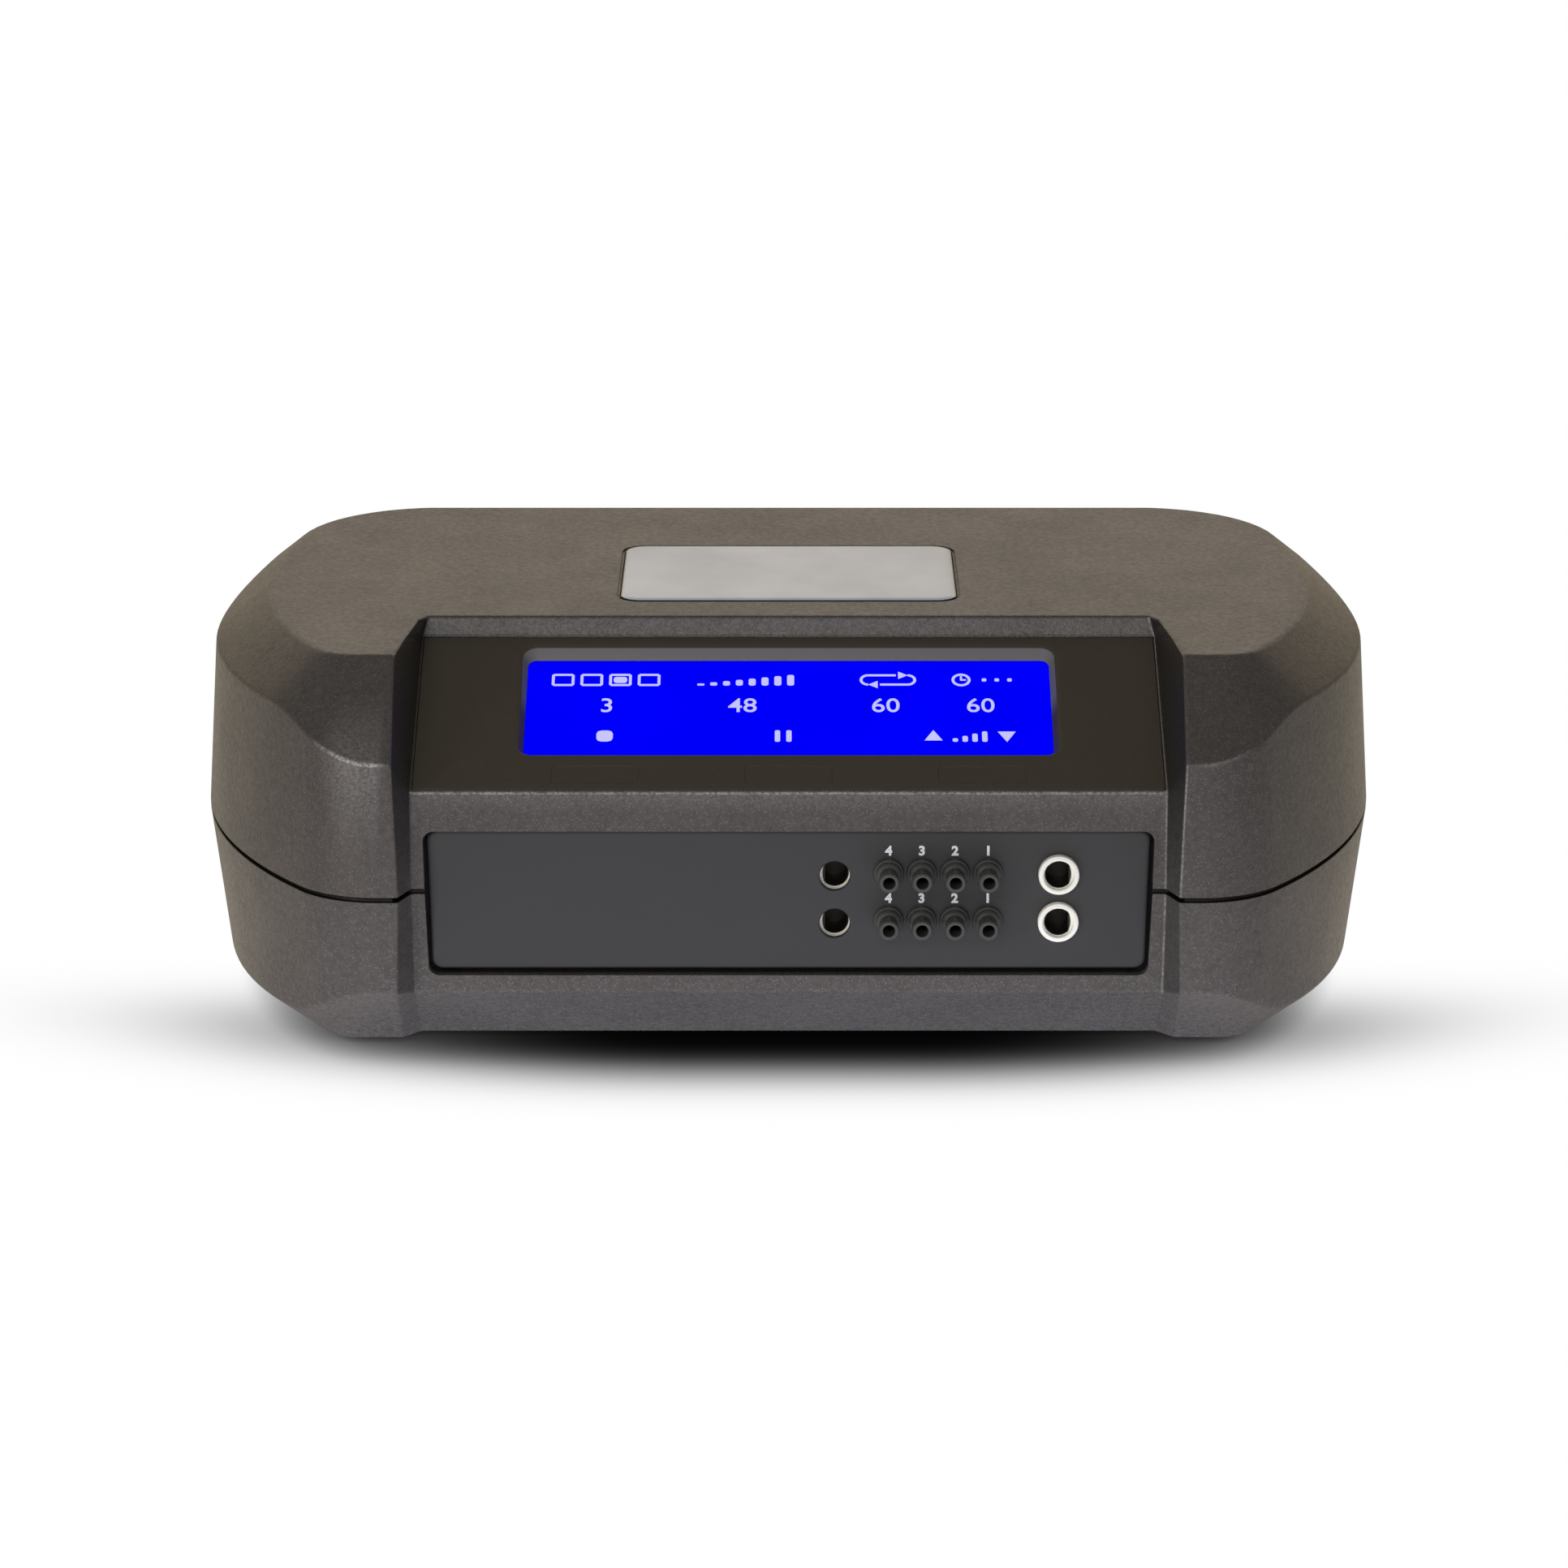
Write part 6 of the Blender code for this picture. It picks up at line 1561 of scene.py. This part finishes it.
@dataclass
class DisplayUnit:
    """The sloping bezel with its window, the lit screen and the three flush keys."""

    bench: Bench
    sizes: PumpSizes = SIZES
    thickness: float = 0.0027
    window_half: float = 0.0756
    window_low: float = 0.0162
    window_high: float = 0.0627
    side_slope: float = 0.0020
    top_slope: float = 0.0042
    window_corner: float = 0.0024
    corner_slope: float = 0.0022
    key_half: Pair = (0.0120, 0.0035)
    key_rise: float = 0.0074
    key_pitch: float = 0.0535
    key_corner: float = 0.0012
    key_line: float = 0.00005
    key_flange: float = 0.0009
    side_gap: float = 0.0005
    front_gap: float = 0.0015
    back_gap: float = 0.0006
    soft_edge: float = 0.0002
    screen_out: float = -0.0030
    mark_lift: float = 0.00002
    mark_thickness: float = 0.00006
    stroke: float = 0.0008
    gauge_height: float = 0.0048
    mark_rows: Place = (0.0510, 0.0401, 0.0270)
    digit_height: float = 0.0058
    digit_weight: float = 0.00005

    def window(self, share: float, grow: float = 0.0) -> Corners:
        """Return the window's outline at a share of the bezel's thickness below its face."""
        side = self.window_half - self.side_slope * share + grow
        top = self.window_high - self.top_slope * share + grow
        corner = self.window_corner + self.corner_slope * (1.0 - share) + grow * 0.8
        return rounded(box_corners(-side, side, self.window_low - grow, top), corner)

    def key_outline(self, place: float, grow: float = 0.0) -> Corners:
        """Return a key's outline on the sloping face."""
        half, reach = self.key_half
        corners = box_corners(place - half - grow, place + half + grow,
                              self.key_rise - reach - grow, self.key_rise + reach + grow)
        return rounded(corners, self.key_corner)

    def build_bezel(self) -> None:
        """Make the bezel with its soft bevelled window, a painted highlight on the window's upper
        slope, and near-invisible key outlines.
        """
        s = self.sizes
        half, soft = s.floor_x - self.side_gap, self.soft_edge
        edges = [
            rounded(box_corners(inset - half, half - inset, self.front_gap + inset,
                                s.slope_length - self.back_gap - inset), self.back_gap)
            for inset in (0.0, 0.0, soft * 0.3, soft)
        ]
        bezel = lofted(s.display, edges, [-self.thickness, -soft, -soft * 0.3, 0.0])
        run = s.overrun / self.thickness
        steps = [(-run * 0.2, 0.0032), (0.0, 0.0010), (0.04, 0.0005), (0.12, 0.0002), (0.25, 0.0),
                 (0.90, 0.0), (0.97, 0.0002), (1.0, 0.0004), (1.4, 0.0012)]
        window = [self.window(min(max(share, 0.0), 1.0), grow) for share, grow in steps]
        combine(bezel, [lofted(s.display, window, [-self.thickness * share for share, _ in steps])])
        combine(bezel, [prism(s.display, self.key_outline(place, self.key_line),
                              -self.thickness - s.overrun, s.overrun)
                        for place in (-self.key_pitch, 0.0, self.key_pitch)])
        inward = s.display.inverted()
        sloping_top = self.window_high - self.top_slope - self.window_corner

        def painted_window_highlight(place: Vector) -> float:
            """Return one on the window's upper slope, where a highlight is painted, or else nought.
            """
            own = inward @ place
            sloping = own.y > sloping_top and 0.2 < -own.z / self.thickness < 0.95
            return 1.0 if sloping else 0.0

        # Painted highlight on the window's upper slope.
        mark(bezel, SHADE_AND_HIGHLIGHT_MARK, painted_window_highlight)
        self.bench.hand_over(smooth(bezel), "display_surround", "bezel_plastic", ["display_bezel"])

    def build_keys(self) -> None:
        """Make the three flush keys, each on its own body."""
        plane = self.sizes.display
        flange_top = -self.thickness - self.sizes.clearance
        width, height = (reach + self.key_flange for reach in self.key_half)
        for name, place in (("left", -self.key_pitch), ("middle", 0.0), ("right", self.key_pitch)):
            cap = prism(plane, self.key_outline(place), flange_top - 0.0005, 0.0)
            flange = block(plane, (place - width, self.key_rise - height, flange_top - 0.0010),
                           (place + width, self.key_rise + height, flange_top))
            combine(cap, [flange], Joining.FUSE)
            self.bench.hand_over(smooth(cap), "soft_key_" + name, "key_plastic", ["key_" + name],
                                 name + "_key")

    def lit(self, outline: Corners) -> Thing:
        """Make one lit mark on the screen from its outline."""
        out = self.screen_out + self.mark_lift
        return prism(self.sizes.display, outline, out, out + self.mark_thickness)

    def bar(self, u: float, v: float, width: float, height: float) -> Thing:
        """Make one lit bar, centred on a place."""
        corners = box_corners(u - width / 2, u + width / 2, v - height / 2, v + height / 2)
        return self.lit(rounded(corners, min(width, height) * 0.3, 2))

    def arc(self, u: float, v: float, radius: float, start: float, end: float) -> Thing:
        """Make a lit arc of one stroke's width, between two turns in degrees."""
        turns = [math.radians(start + (end - start) * step / 16) for step in range(17)]
        rims = ((radius, turns), (radius - self.stroke, reversed(turns)))
        return self.lit([(u + rim * math.cos(turn), v + rim * math.sin(turn))
                         for rim, way in rims for turn in way])

    def head(self, u: float, v: float, reach: float, turn: float) -> Thing:
        """Make a lit triangle that points along a turn in degrees."""
        turns = [math.radians(turn + step) for step in (0, 120, 240)]
        return self.lit([(u + reach * math.cos(way), v + reach * math.sin(way)) for way in turns])

    def cells(self, u: float, v: float) -> list[Thing]:
        """Make a row of four cells, of which the third is filled."""
        width, height, pitch, inner_gap = 0.0056, 0.0044, 0.0081, 0.0018
        first = u - 1.5 * pitch
        cell = [self.bar(first, v + side * height / 2, width, self.stroke) for side in (1, -1)]
        cell += [self.bar(first + side * width / 2, v, self.stroke, height) for side in (-1, 1)]
        step = self.sizes.display.to_3x3() @ Vector((pitch, 0, 0))
        row = self.bench.grid.spread(
            gather(cell), Grid((0, 0, 0), tuple(step), 4), self.bench.finishes["display_marks"]
        )
        return [row, self.bar(first + 2 * pitch, v, width - inner_gap, height - inner_gap)]

    def gauge(self, u: float, v: float, width: float, count: int) -> list[Thing]:
        """Make a row of rising bars."""
        pitch, full = width / count, self.gauge_height
        low = v - full / 2
        heights = [(index + 1.5) * full / (count + 1) for index in range(count)]
        return [
            self.bar(u - width / 2 + (index + 0.5) * pitch, low + height / 2, pitch * 0.55, height)
            for index, height in enumerate(heights)
        ]

    def loop(self, u: float, v: float) -> list[Thing]:
        """Make a long loop with two heads, for what goes round and round."""
        reach, radius, head, length = 0.0056, 0.0024, 0.0018, 0.0082
        middle = radius - self.stroke / 2
        marks = [self.arc(u - reach, v, radius, 90, 270), self.arc(u + reach, v, radius, -90, 90)]
        for side in (1, -1):
            marks.append(self.bar(u - side * head, v + side * middle, length, self.stroke))
        for side, turn in ((1, 0), (-1, 180)):
            marks.append(self.head(u + side * (reach - head), v + side * middle, head, turn))
        return marks

    def clock(self, u: float, v: float) -> list[Thing]:
        """Make a clock face and three dots."""
        face, radius, hand = u - 0.0055, 0.0027, 0.0006
        dots = [self.bar(u + 0.0010 + index * 0.0036, v, 0.0013, 0.0013) for index in range(3)]
        return dots + [
            self.arc(face, v, radius, 0, 180), self.arc(face, v, radius, 180, 360),
            self.bar(face, v + 0.0007, hand, 0.0019), self.bar(face + 0.0006, v, 0.0016, hand),
        ]

    def build_marks(self) -> None:
        """Make the plain numbers, the signs over them and the signs over the keys."""
        top, middle, low = self.mark_rows
        marks = self.cells(-0.0516, top) + self.gauge(-0.0121, top, 0.029, 8)
        marks += self.loop(0.0281, top) + self.clock(0.0543, top)
        marks += [self.bar(-0.0514, low, 0.0046, 0.0046)]
        marks += [self.bar(u, low, 0.0015, self.gauge_height) for u in (-0.0031, 0.0001)]
        marks += [self.head(0.0405, low - 0.0004, 0.0029, 90),
                  self.head(0.0610, low + 0.0004, 0.0029, -90)]
        marks += self.gauge(0.0507, low, 0.011, 4)
        for number, u in (("3", -0.0511), ("48", -0.0129), ("60", 0.0273), ("60", 0.0540)):
            place = (u, middle, self.screen_out + self.mark_lift)
            marks.append(written(number, self.digit_height, self.digit_weight, self.sizes.display,
                                 place, self.mark_thickness))
        self.bench.hand_over(gather(marks), "display_marks", "display_marks")

    def build(self) -> None:
        """Make every piece of the display."""
        self.build_bezel()
        self.build_keys()
        self.build_marks()


@dataclass
class ConnectorPanel:
    """The inset front panel with its numbered hose ports and keyed sockets."""

    bench: Bench
    case: Case
    sizes: PumpSizes = SIZES
    port_first: float = 0.0277
    port_pitch: float = 0.00917
    row_low: float = 0.0425
    row_pitch: float = 0.0138
    ring_x: float = 0.0748
    keyhole_x: float = 0.0128
    flange_face: float = -0.0074
    flange_thickness: float = 0.0023
    bore: float = 0.0037
    flat: float = 0.0027
    bore_depth: float = 0.0110
    mouth: float = 0.0042
    mouth_depth: float = 0.0014
    ring_radius: float = 0.0057
    sleeve_radius: float = 0.0062
    barrel_radius: float = 0.0052
    rim_proud: float = 0.0020
    keyhole_skin: float = 0.0015
    end_wall: float = 0.0015
    ring_drop: float = 0.0004
    keyhole_drop: float = 0.0011
    panel_trim: Pair = (0.0008, 0.0005)
    flange_reach: float = 0.0036
    port_hole: float = 0.0029
    flare: float = 0.0003
    digit_rise: float = 0.0063
    digit_height: float = 0.0026
    digit_weight: float = 0.00016
    digit_thickness: float = 0.00005

    def rows(self) -> dict[str, float]:
        """Return the heights of the two rows, by name."""
        return {"lower": self.row_low, "upper": self.row_low + self.row_pitch}

    def port_places(self, row: float) -> list[Pair]:
        """Return where the four ports of a row stand."""
        return [(self.port_first + index * self.port_pitch, row) for index in range(4)]

    def funnel(self, front: float) -> list[Pair]:
        """Return the profile of a flared round opening, from its axis in to its straight part."""
        return [
            (front + self.sizes.overrun, 0.0), (front + self.sizes.overrun, self.mouth + 0.0004),
            (front, self.mouth + self.flare), (front - self.flare, self.mouth),
        ]

    def build_panel(self) -> None:
        """Make the panel: a softly edged field on the flange that the case halves clamp."""
        s, c = self.sizes, self.case
        sides = (c.panel_top_half, c.panel_bottom_half)
        span = (*sides, c.panel_low + self.panel_trim[0], c.panel_high + self.panel_trim[1])
        steps = [(0.0, self.flange_face - 0.001), (0.0, -0.0014), (-0.00015, -0.0007),
                 (-0.0005, -0.0002), (-0.0010, 0.0), (-0.0016, 0.0)]
        panel = lofted(s.front, [c.panel_outline(grow, *span) for grow, _ in steps],
                       [level for _, level in steps])
        back = self.flange_face - self.flange_thickness
        flange = c.panel_outline(self.flange_reach, *sides, c.panel_low, c.panel_high)
        combine(panel, [prism(s.front, flange, back, self.flange_face)], Joining.FUSE)
        behind, sleeve = back - s.overrun, self.sleeve_radius + s.clearance
        profile = self.funnel(0.0) + [
            (-self.keyhole_skin, self.mouth), (-self.keyhole_skin, sleeve), (behind, sleeve),
            (behind, 0.0),
        ]
        holes = []
        for row in self.rows().values():
            holes.append(rod(s.front, (self.ring_x, row - self.ring_drop), behind, s.overrun,
                             self.barrel_radius + s.clearance, 48))
            holes += [rod(s.front, place, behind, s.overrun, self.port_hole, 24)
                      for place in self.port_places(row)]
            holes.append(turned(s.front, (self.keyhole_x, row - self.keyhole_drop), profile, 48))
        combine(panel, holes)
        self.bench.hand_over(smooth(panel), "hose_panel", "panel_plastic", ["connector_panel"])

    def build_ports(self) -> None:
        """Make the eight barbed ports as copies of one turned form."""
        s = self.sizes
        profile = [
            (-0.0100, 0.0017), (-0.0100, 0.0026), (0.0003, 0.0026), (0.0003, 0.0042),
            (0.0011, 0.0042), (0.0017, 0.0039), (0.0017, 0.0036), (0.0032, 0.0036),
            (0.0038, 0.0031), (0.0042, 0.0025), (0.0080, 0.0024), (0.0082, 0.0029),
            (0.0096, 0.0029), (0.0102, 0.0025), (0.0102, 0.0017),
        ]
        port = turned(plane_from((1, 0, 0), (0, 0, 1), (0, -1, 0), (0, 0, 0)), (0, 0),
                      softened(profile, 0.00022, 3, True), 40, True)
        start = s.front @ Vector((self.port_first, self.row_low, 0))
        grid = Grid(tuple(start), (self.port_pitch, 0, 0), 4, (0, 0, self.row_pitch), 2)
        ports = self.bench.grid.spread(port, grid, self.bench.finishes["port_plastic"])
        nodes = [f"port_{row}_{number}" for row in self.rows() for number in (4, 3, 2, 1)]
        self.bench.hand_over(smooth(ports, 28), "hose_ports", "port_plastic", nodes)

    def d_bore(self, place: Pair, side: int, front: float) -> Thing:
        """Make the D-shaped cutter of a keyed socket, flat towards one side."""
        edge = math.acos(self.flat / self.bore)
        turns = [edge + (math.tau - 2 * edge) * step / 40 for step in range(41)]
        x, y = place
        outline = [(x + side * self.bore * math.cos(turn), y + self.bore * math.sin(turn))
                   for turn in turns]
        start = front - self.mouth_depth + self.sizes.clearance
        return prism(self.sizes.front, outline, front - self.bore_depth, start)

    def hollow_out(self, socket: Thing, place: Pair, side: int,
                   front: float) -> None:
        """Cut a socket's round mouth and the keyed bore behind it, and paint shade into the bore.

        Args:
            socket: The solid socket.
            place: Its axis on the panel.
            side: The side that the bore's flat faces, plus or minus one.
            front: How far out its front face stands.
        """
        s = self.sizes
        floor = front - self.mouth_depth
        profile = self.funnel(front) + [(floor, self.mouth), (floor, 0.0)]
        combine(socket, [turned(s.front, place, profile, 64)])
        combine(socket, [self.d_bore(place, side, front)])
        inward = s.front.inverted()

        def darkness(corner: Vector) -> float:
            """Return one inside the bore, where shade is painted, or else nought."""
            own = inward @ corner
            within = math.hypot(own.x - place[0], own.y - place[1]) < self.bore + 0.0002
            return 1.0 if within and front - own.z > self.mouth_depth - s.clearance / 2 else 0.0

        # Painted shade inside the bore.
        mark(socket, SHADE_AND_HIGHLIGHT_MARK, darkness)

    def build_sockets(self) -> None:
        """Make the two proud cream rings and the two sleeves behind the round holes."""
        s, rim = self.sizes, self.rim_proud
        end = rim - self.bore_depth - self.end_wall
        profile = [
            (end, 0.0), (end, self.barrel_radius), (s.clearance, self.barrel_radius),
            (s.clearance, self.ring_radius), (rim - 0.0006, self.ring_radius),
            (rim - 0.0002, self.ring_radius - 0.0002), (rim, self.ring_radius - 0.0006),
            (rim, 0.0),
        ]
        front = -self.keyhole_skin - s.clearance
        for name, row in self.rows().items():
            place = (self.ring_x, row - self.ring_drop)
            ring = turned(s.front, place, profile, 64)
            self.hollow_out(ring, place, 1, rim)
            self.bench.hand_over(smooth(ring), "cream_ring_" + name, "socket_nylon",
                                 ["ring_socket_" + name])
            place = (self.keyhole_x, row - self.keyhole_drop)
            sleeve = rod(s.front, place, front - self.bore_depth - self.end_wall, front,
                         self.sleeve_radius, 48)
            self.hollow_out(sleeve, place, -1, front)
            self.bench.hand_over(smooth(sleeve), "cream_sleeve_" + name, "socket_nylon",
                                 ["keyhole_socket_" + name])

    def build_digits(self) -> None:
        """Make the plain white digits over the ports."""
        digits = []
        for row in self.rows().values():
            for number, (u, v) in zip("4321", self.port_places(row)):
                place = (u, v + self.digit_rise, 0.00001)
                digits.append(written(number, self.digit_height, self.digit_weight,
                                      self.sizes.front, place, self.digit_thickness))
        self.bench.hand_over(gather(digits), "port_digits", "digit_paint")

    def build(self) -> None:
        """Make every piece of the front panel."""
        self.build_panel()
        self.build_ports()
        self.build_sockets()
        self.build_digits()


@dataclass
class Underside:
    """The four rubber feet and the four case screws."""

    bench: Bench
    case: Case
    sizes: PumpSizes = SIZES

    def set_four(self, profile: Corners, places: Pair, steps: int, name: str,
                 finish: str, node: str) -> None:
        """Turn a form, set it in four places and hand it over as one piece.

        Args:
            profile: Pairs of a height and a radius.
            places: How far the places lie from both middles.
            steps: How many sides the form gets.
            name: The piece's name.
            finish: The name of its finish.
            node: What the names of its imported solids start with.
        """
        form = turned(WORLD, (0, 0), profile, steps)
        copies = self.bench.grid.spread(form, Grid.of_four(places), self.bench.finishes[finish])
        corners = ("front_left", "front_right", "rear_left", "rear_right")
        self.bench.hand_over(smooth(copies), name, finish, [node + corner for corner in corners])

    def build(self) -> None:
        """Make the feet and the screws."""
        top = self.sizes.base + 0.0007
        profile = [(top, 0.0), (top, 0.0078), (0.0012, 0.0080), (0.0004, 0.0078), (0.0, 0.0070),
                   (0.0, 0.0)]
        self.set_four(softened(profile, 0.0003, 4), self.case.foot_places, 48, "rubber_feet",
                      "foot_rubber", "foot_")
        head = self.sizes.base + self.case.screw_well[0]
        tip = self.sizes.parting + 0.011
        profile = [
            (head - 0.0012, 0.0), (head - 0.0012, 0.0016), (head - 0.0028, 0.0016),
            (head - 0.0028, 0.0034), (head - 0.0024, 0.0038), (head, 0.0038), (head, 0.0019),
            (tip - 0.001, 0.0019), (tip, 0.0012), (tip, 0.0),
        ]
        self.set_four(softened(profile, 0.0002, 3), self.case.screw_places, 24, "case_screws",
                      "screw_steel", "case_screw_")


@dataclass
class RearPanel:
    """The rear panel with its mains inlet, rocker switch and fuse holders."""

    bench: Bench
    pieces: tuple[tuple[str, str, str, float, str], ...] = (
        ("rear_panel", "back_panel", "panel_plastic", 0.0005, "case"),
        ("power_inlet", "mains_inlet", "inlet_plastic", 0.0003, "case"),
        ("switch_housing", "switch_surround", "inlet_plastic", 0.0003, "case"),
        ("power_rocker", "switch_rocker", "rocker_plastic", 0.0004, "rocker"),
        ("fuse_holder_left", "fuse_cap_left", "inlet_plastic", 0.0003, "case"),
        ("fuse_holder_right", "fuse_cap_right", "inlet_plastic", 0.0003, "case"),
    )

    def build(self) -> None:
        """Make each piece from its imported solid, with its edges rounded."""
        for node, name, finish, width, body in self.pieces:
            piece = rounded_edges(copy_of(node), width)
            self.bench.hand_over(smooth(piece), name, finish, [node], body)


@dataclass
class InnerWorks:
    """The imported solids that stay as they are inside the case, and the screen behind its window."""

    bench: Bench

    def dress(self) -> None:
        """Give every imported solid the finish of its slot."""
        for entry in frame["record"]["subparts"]:
            thing = frame["nodes"][entry["node"]]
            for slot in thing.material_slots:
                slot.material = self.bench.finishes[entry["material_slot"]]
            if not thing.material_slots:
                thing.data.materials.append(self.bench.finishes[entry["material_slot"]])
        log.info("packed solids dressed: %d", len(frame["nodes"]))


# The studio


@dataclass(frozen=True)
class SoftLight:
    """One soft box: where it stands, what it points at, its size and its light."""

    name: str
    place: Place
    size: Pair
    power: float
    colour: Colour = (1.0, 1.0, 1.0)
    target: Place = (0.0, 0.0, 0.05)

    def build(self) -> None:
        """Add the light to the scene."""
        data = bpy.data.lights.new(self.name, "AREA")
        data.shape = "RECTANGLE"
        data.size, data.size_y = self.size
        data.energy = self.power
        data.color = self.colour
        away = (Vector(self.target) - Vector(self.place)).normalized()
        right = away.cross(Vector((0, 0, 1))).normalized()
        thing = add_object(self.name, data)
        thing.visible_camera = False
        thing.matrix_world = plane_from(right, right.cross(away), -away, self.place)


@dataclass
class Studio:
    """The pale floor, the white room, the soft lights and the camera."""

    floor_half: float = 8.0
    floor_tint: Colour = (0.96, 0.99, 1.13)
    floor_gloss: Colour = (0.72, 0.64, 0.50)
    pool_glow: float = 1.75
    far_glow: float = 0.10
    pool_near: float = 0.15
    pool_far: float = 0.32
    room_glow: Colour = (0.11, 0.11, 0.13)
    wall_gloss: Colour = (0.51, 0.41, 0.24)
    ceiling_gloss: Colour = (0.30, 0.27, 0.22)
    contact_reach: float = 0.07
    contact_span: Pair = (-0.12, 0.45)
    shadow_flat: float = 0.030
    shadow_fade: Pair = (0.116, 0.0325)
    shadow_middle: Pair = (0.004, -0.0720)
    shadow_bow: float = 0.6
    shadow_edge: float = 1.2
    shadow_depth: float = 0.92
    pool_middle: Place = (0.0, -0.12, 0.0)
    lens: float = 116.44
    sensor: float = 36.0
    shift: Pair = (-0.0029, -0.0067)
    eye: Place = (0.0, -1.4345, 0.4954)
    tilt: float = math.radians(73.0)
    lights: tuple[SoftLight, ...] = (
        SoftLight("back window", (0.0, 1.75, 0.80), (2.6, 0.7), 5.4, (1.0, 0.90, 0.82)),
        SoftLight("left strip", (-1.0, -1.2, 0.25), (0.22, 0.5), 4.0, (1.0, 0.90, 0.72)),
        SoftLight("front low", (0.0, -2.2, 0.20), (2.4, 0.4), 1.2),
        SoftLight("front high", (-0.35, -1.8, 1.0), (1.6, 0.35), 13.0),
    )

    def build_floor(self) -> None:
        """Make the pale floor that the pump stands on."""
        mesh = bpy.data.meshes.new("floor")
        mesh.from_pydata([(x * self.floor_half, y * self.floor_half, 0.0)
                          for x, y in ((-1, -1), (1, -1), (1, 1), (-1, 1))], [], [(0, 1, 2, 3)])
        mesh.materials.append(self.paper())
        thing = add_object("floor", mesh)

    def near_shade(self, board: NodeBoard) -> Socket:
        """Add how open the floor near the pump lies to the room, as a soft ramp, and return it."""
        open_sky = board.add("ShaderNodeAmbientOcclusion", {"Distance": self.contact_reach},
                             samples=24)
        low, high = self.contact_span
        inputs = {"Value": open_sky.outputs["AO"], "From Min": low, "From Max": high}
        ramp = board.add("ShaderNodeMapRange", inputs, interpolation_type="SMOOTHSTEP")
        return ramp.outputs["Result"]

    def long_shade(self, board: NodeBoard) -> Socket:
        """Add the long soft shadow under the front, which fades to both sides, and return it."""
        place = board.split(board.add("ShaderNodeNewGeometry").outputs["Position"])
        off = board.calc("ABSOLUTE", board.calc("SUBTRACT", place["X"], self.shadow_middle[0]))
        across = board.calc("MAXIMUM", board.calc("SUBTRACT", off, self.shadow_flat))
        bow = board.times(board.times(across, across), self.shadow_bow)
        along = board.calc("SUBTRACT", place["Y"], board.plus(bow, self.shadow_middle[1]))
        across, along = (board.calc("DIVIDE", way, fade)
                         for way, fade in zip((across, along), self.shadow_fade))
        spread = board.plus(board.times(across, across), board.times(along, along))
        spread = board.calc("POWER", spread, self.shadow_edge)
        dark = board.calc("EXPONENT", board.times(spread, -1.0))
        left = board.calc("SUBTRACT", 1.0, board.times(dark, self.shadow_depth))
        return board.calc("POWER", left, 2.2)

    def paper(self) -> bpy.types.Material:
        """Build the white paper, which glows onto the pump and darkens where the pump shades it."""
        material, board, shader = start_material("white paper")
        nodes = material.node_tree.nodes
        nodes.remove(shader)
        path = board.add("ShaderNodeLightPath").outputs
        seen = board.plus(path["Is Camera Ray"], path["Is Glossy Ray"])
        seen = board.plus(seen, path["Is Transmission Ray"], True)
        shown = board.add("ShaderNodeEmission", {
            "Color": board.blend(path["Is Glossy Ray"], WHITE, self.floor_gloss),
            "Strength": board.times(self.near_shade(board), self.long_shade(board)),
        })
        place = board.add("ShaderNodeNewGeometry").outputs["Position"]
        away = board.add("ShaderNodeVectorMath", {0: place, 1: self.pool_middle},
                         operation="DISTANCE")
        glow = board.add("ShaderNodeEmission", {
            "Color": (*self.floor_tint, 1.0),
            "Strength": board.ranged(away.outputs["Value"], self.pool_near, self.pool_far,
                                     self.pool_glow, self.far_glow),
        })
        mix = board.add("ShaderNodeMixShader", {0: seen, 1: glow.outputs[0], 2: shown.outputs[0]})
        board.fill(nodes["Material Output"], {"Surface": mix.outputs[0]})
        return material

    def build_room(self) -> None:
        """Make the room: white where it is seen, dim where it lights, with a darker ceiling."""
        world = bpy.data.worlds.new("room")
        bpy.context.scene.world = world
        world.use_nodes = True
        board = NodeBoard(world.node_tree)
        high = board.split(board.add("ShaderNodeTexCoord").outputs["Generated"])["Z"]
        gloss = board.blend(board.ranged(high, 0.25, 0.8), self.wall_gloss, self.ceiling_gloss)
        path = board.add("ShaderNodeLightPath").outputs
        colour = board.blend(path["Is Glossy Ray"], self.room_glow, gloss)
        clear = board.plus(path["Is Camera Ray"], path["Is Transmission Ray"], True)
        back = world.node_tree.nodes["Background"]
        board.fill(back, {"Color": board.blend(clear, colour, WHITE)})

    def build_camera(self) -> None:
        """Set the camera where the photograph was taken from."""
        data = bpy.data.cameras.new("camera")
        data.sensor_width = self.sensor
        data.lens = self.lens
        data.shift_x, data.shift_y = self.shift
        data.clip_start = 0.1
        thing = add_object("camera", data)
        thing.location = self.eye
        thing.rotation_euler = (self.tilt, 0.0, 0.0)
        bpy.context.scene.camera = thing

    def build(self) -> None:
        """Set up the studio."""
        self.build_floor()
        self.build_room()
        self.build_camera()
        for light in self.lights:
            light.build()
        bpy.context.scene.view_settings.view_transform = "Standard"


def main() -> None:
    """Dress the pump, piece by piece, and set up its studio."""
    logging.basicConfig(level=logging.INFO, format="%(name)s: %(message)s")
    bench = Bench()
    InnerWorks(bench).dress()
    case = Case(bench)
    case.build()
    DisplayUnit(bench).build()
    ConnectorPanel(bench, case).build()
    Underside(bench, case).build()
    RearPanel(bench).build()
    Studio().build()


if __name__ == "__main__":
    main()
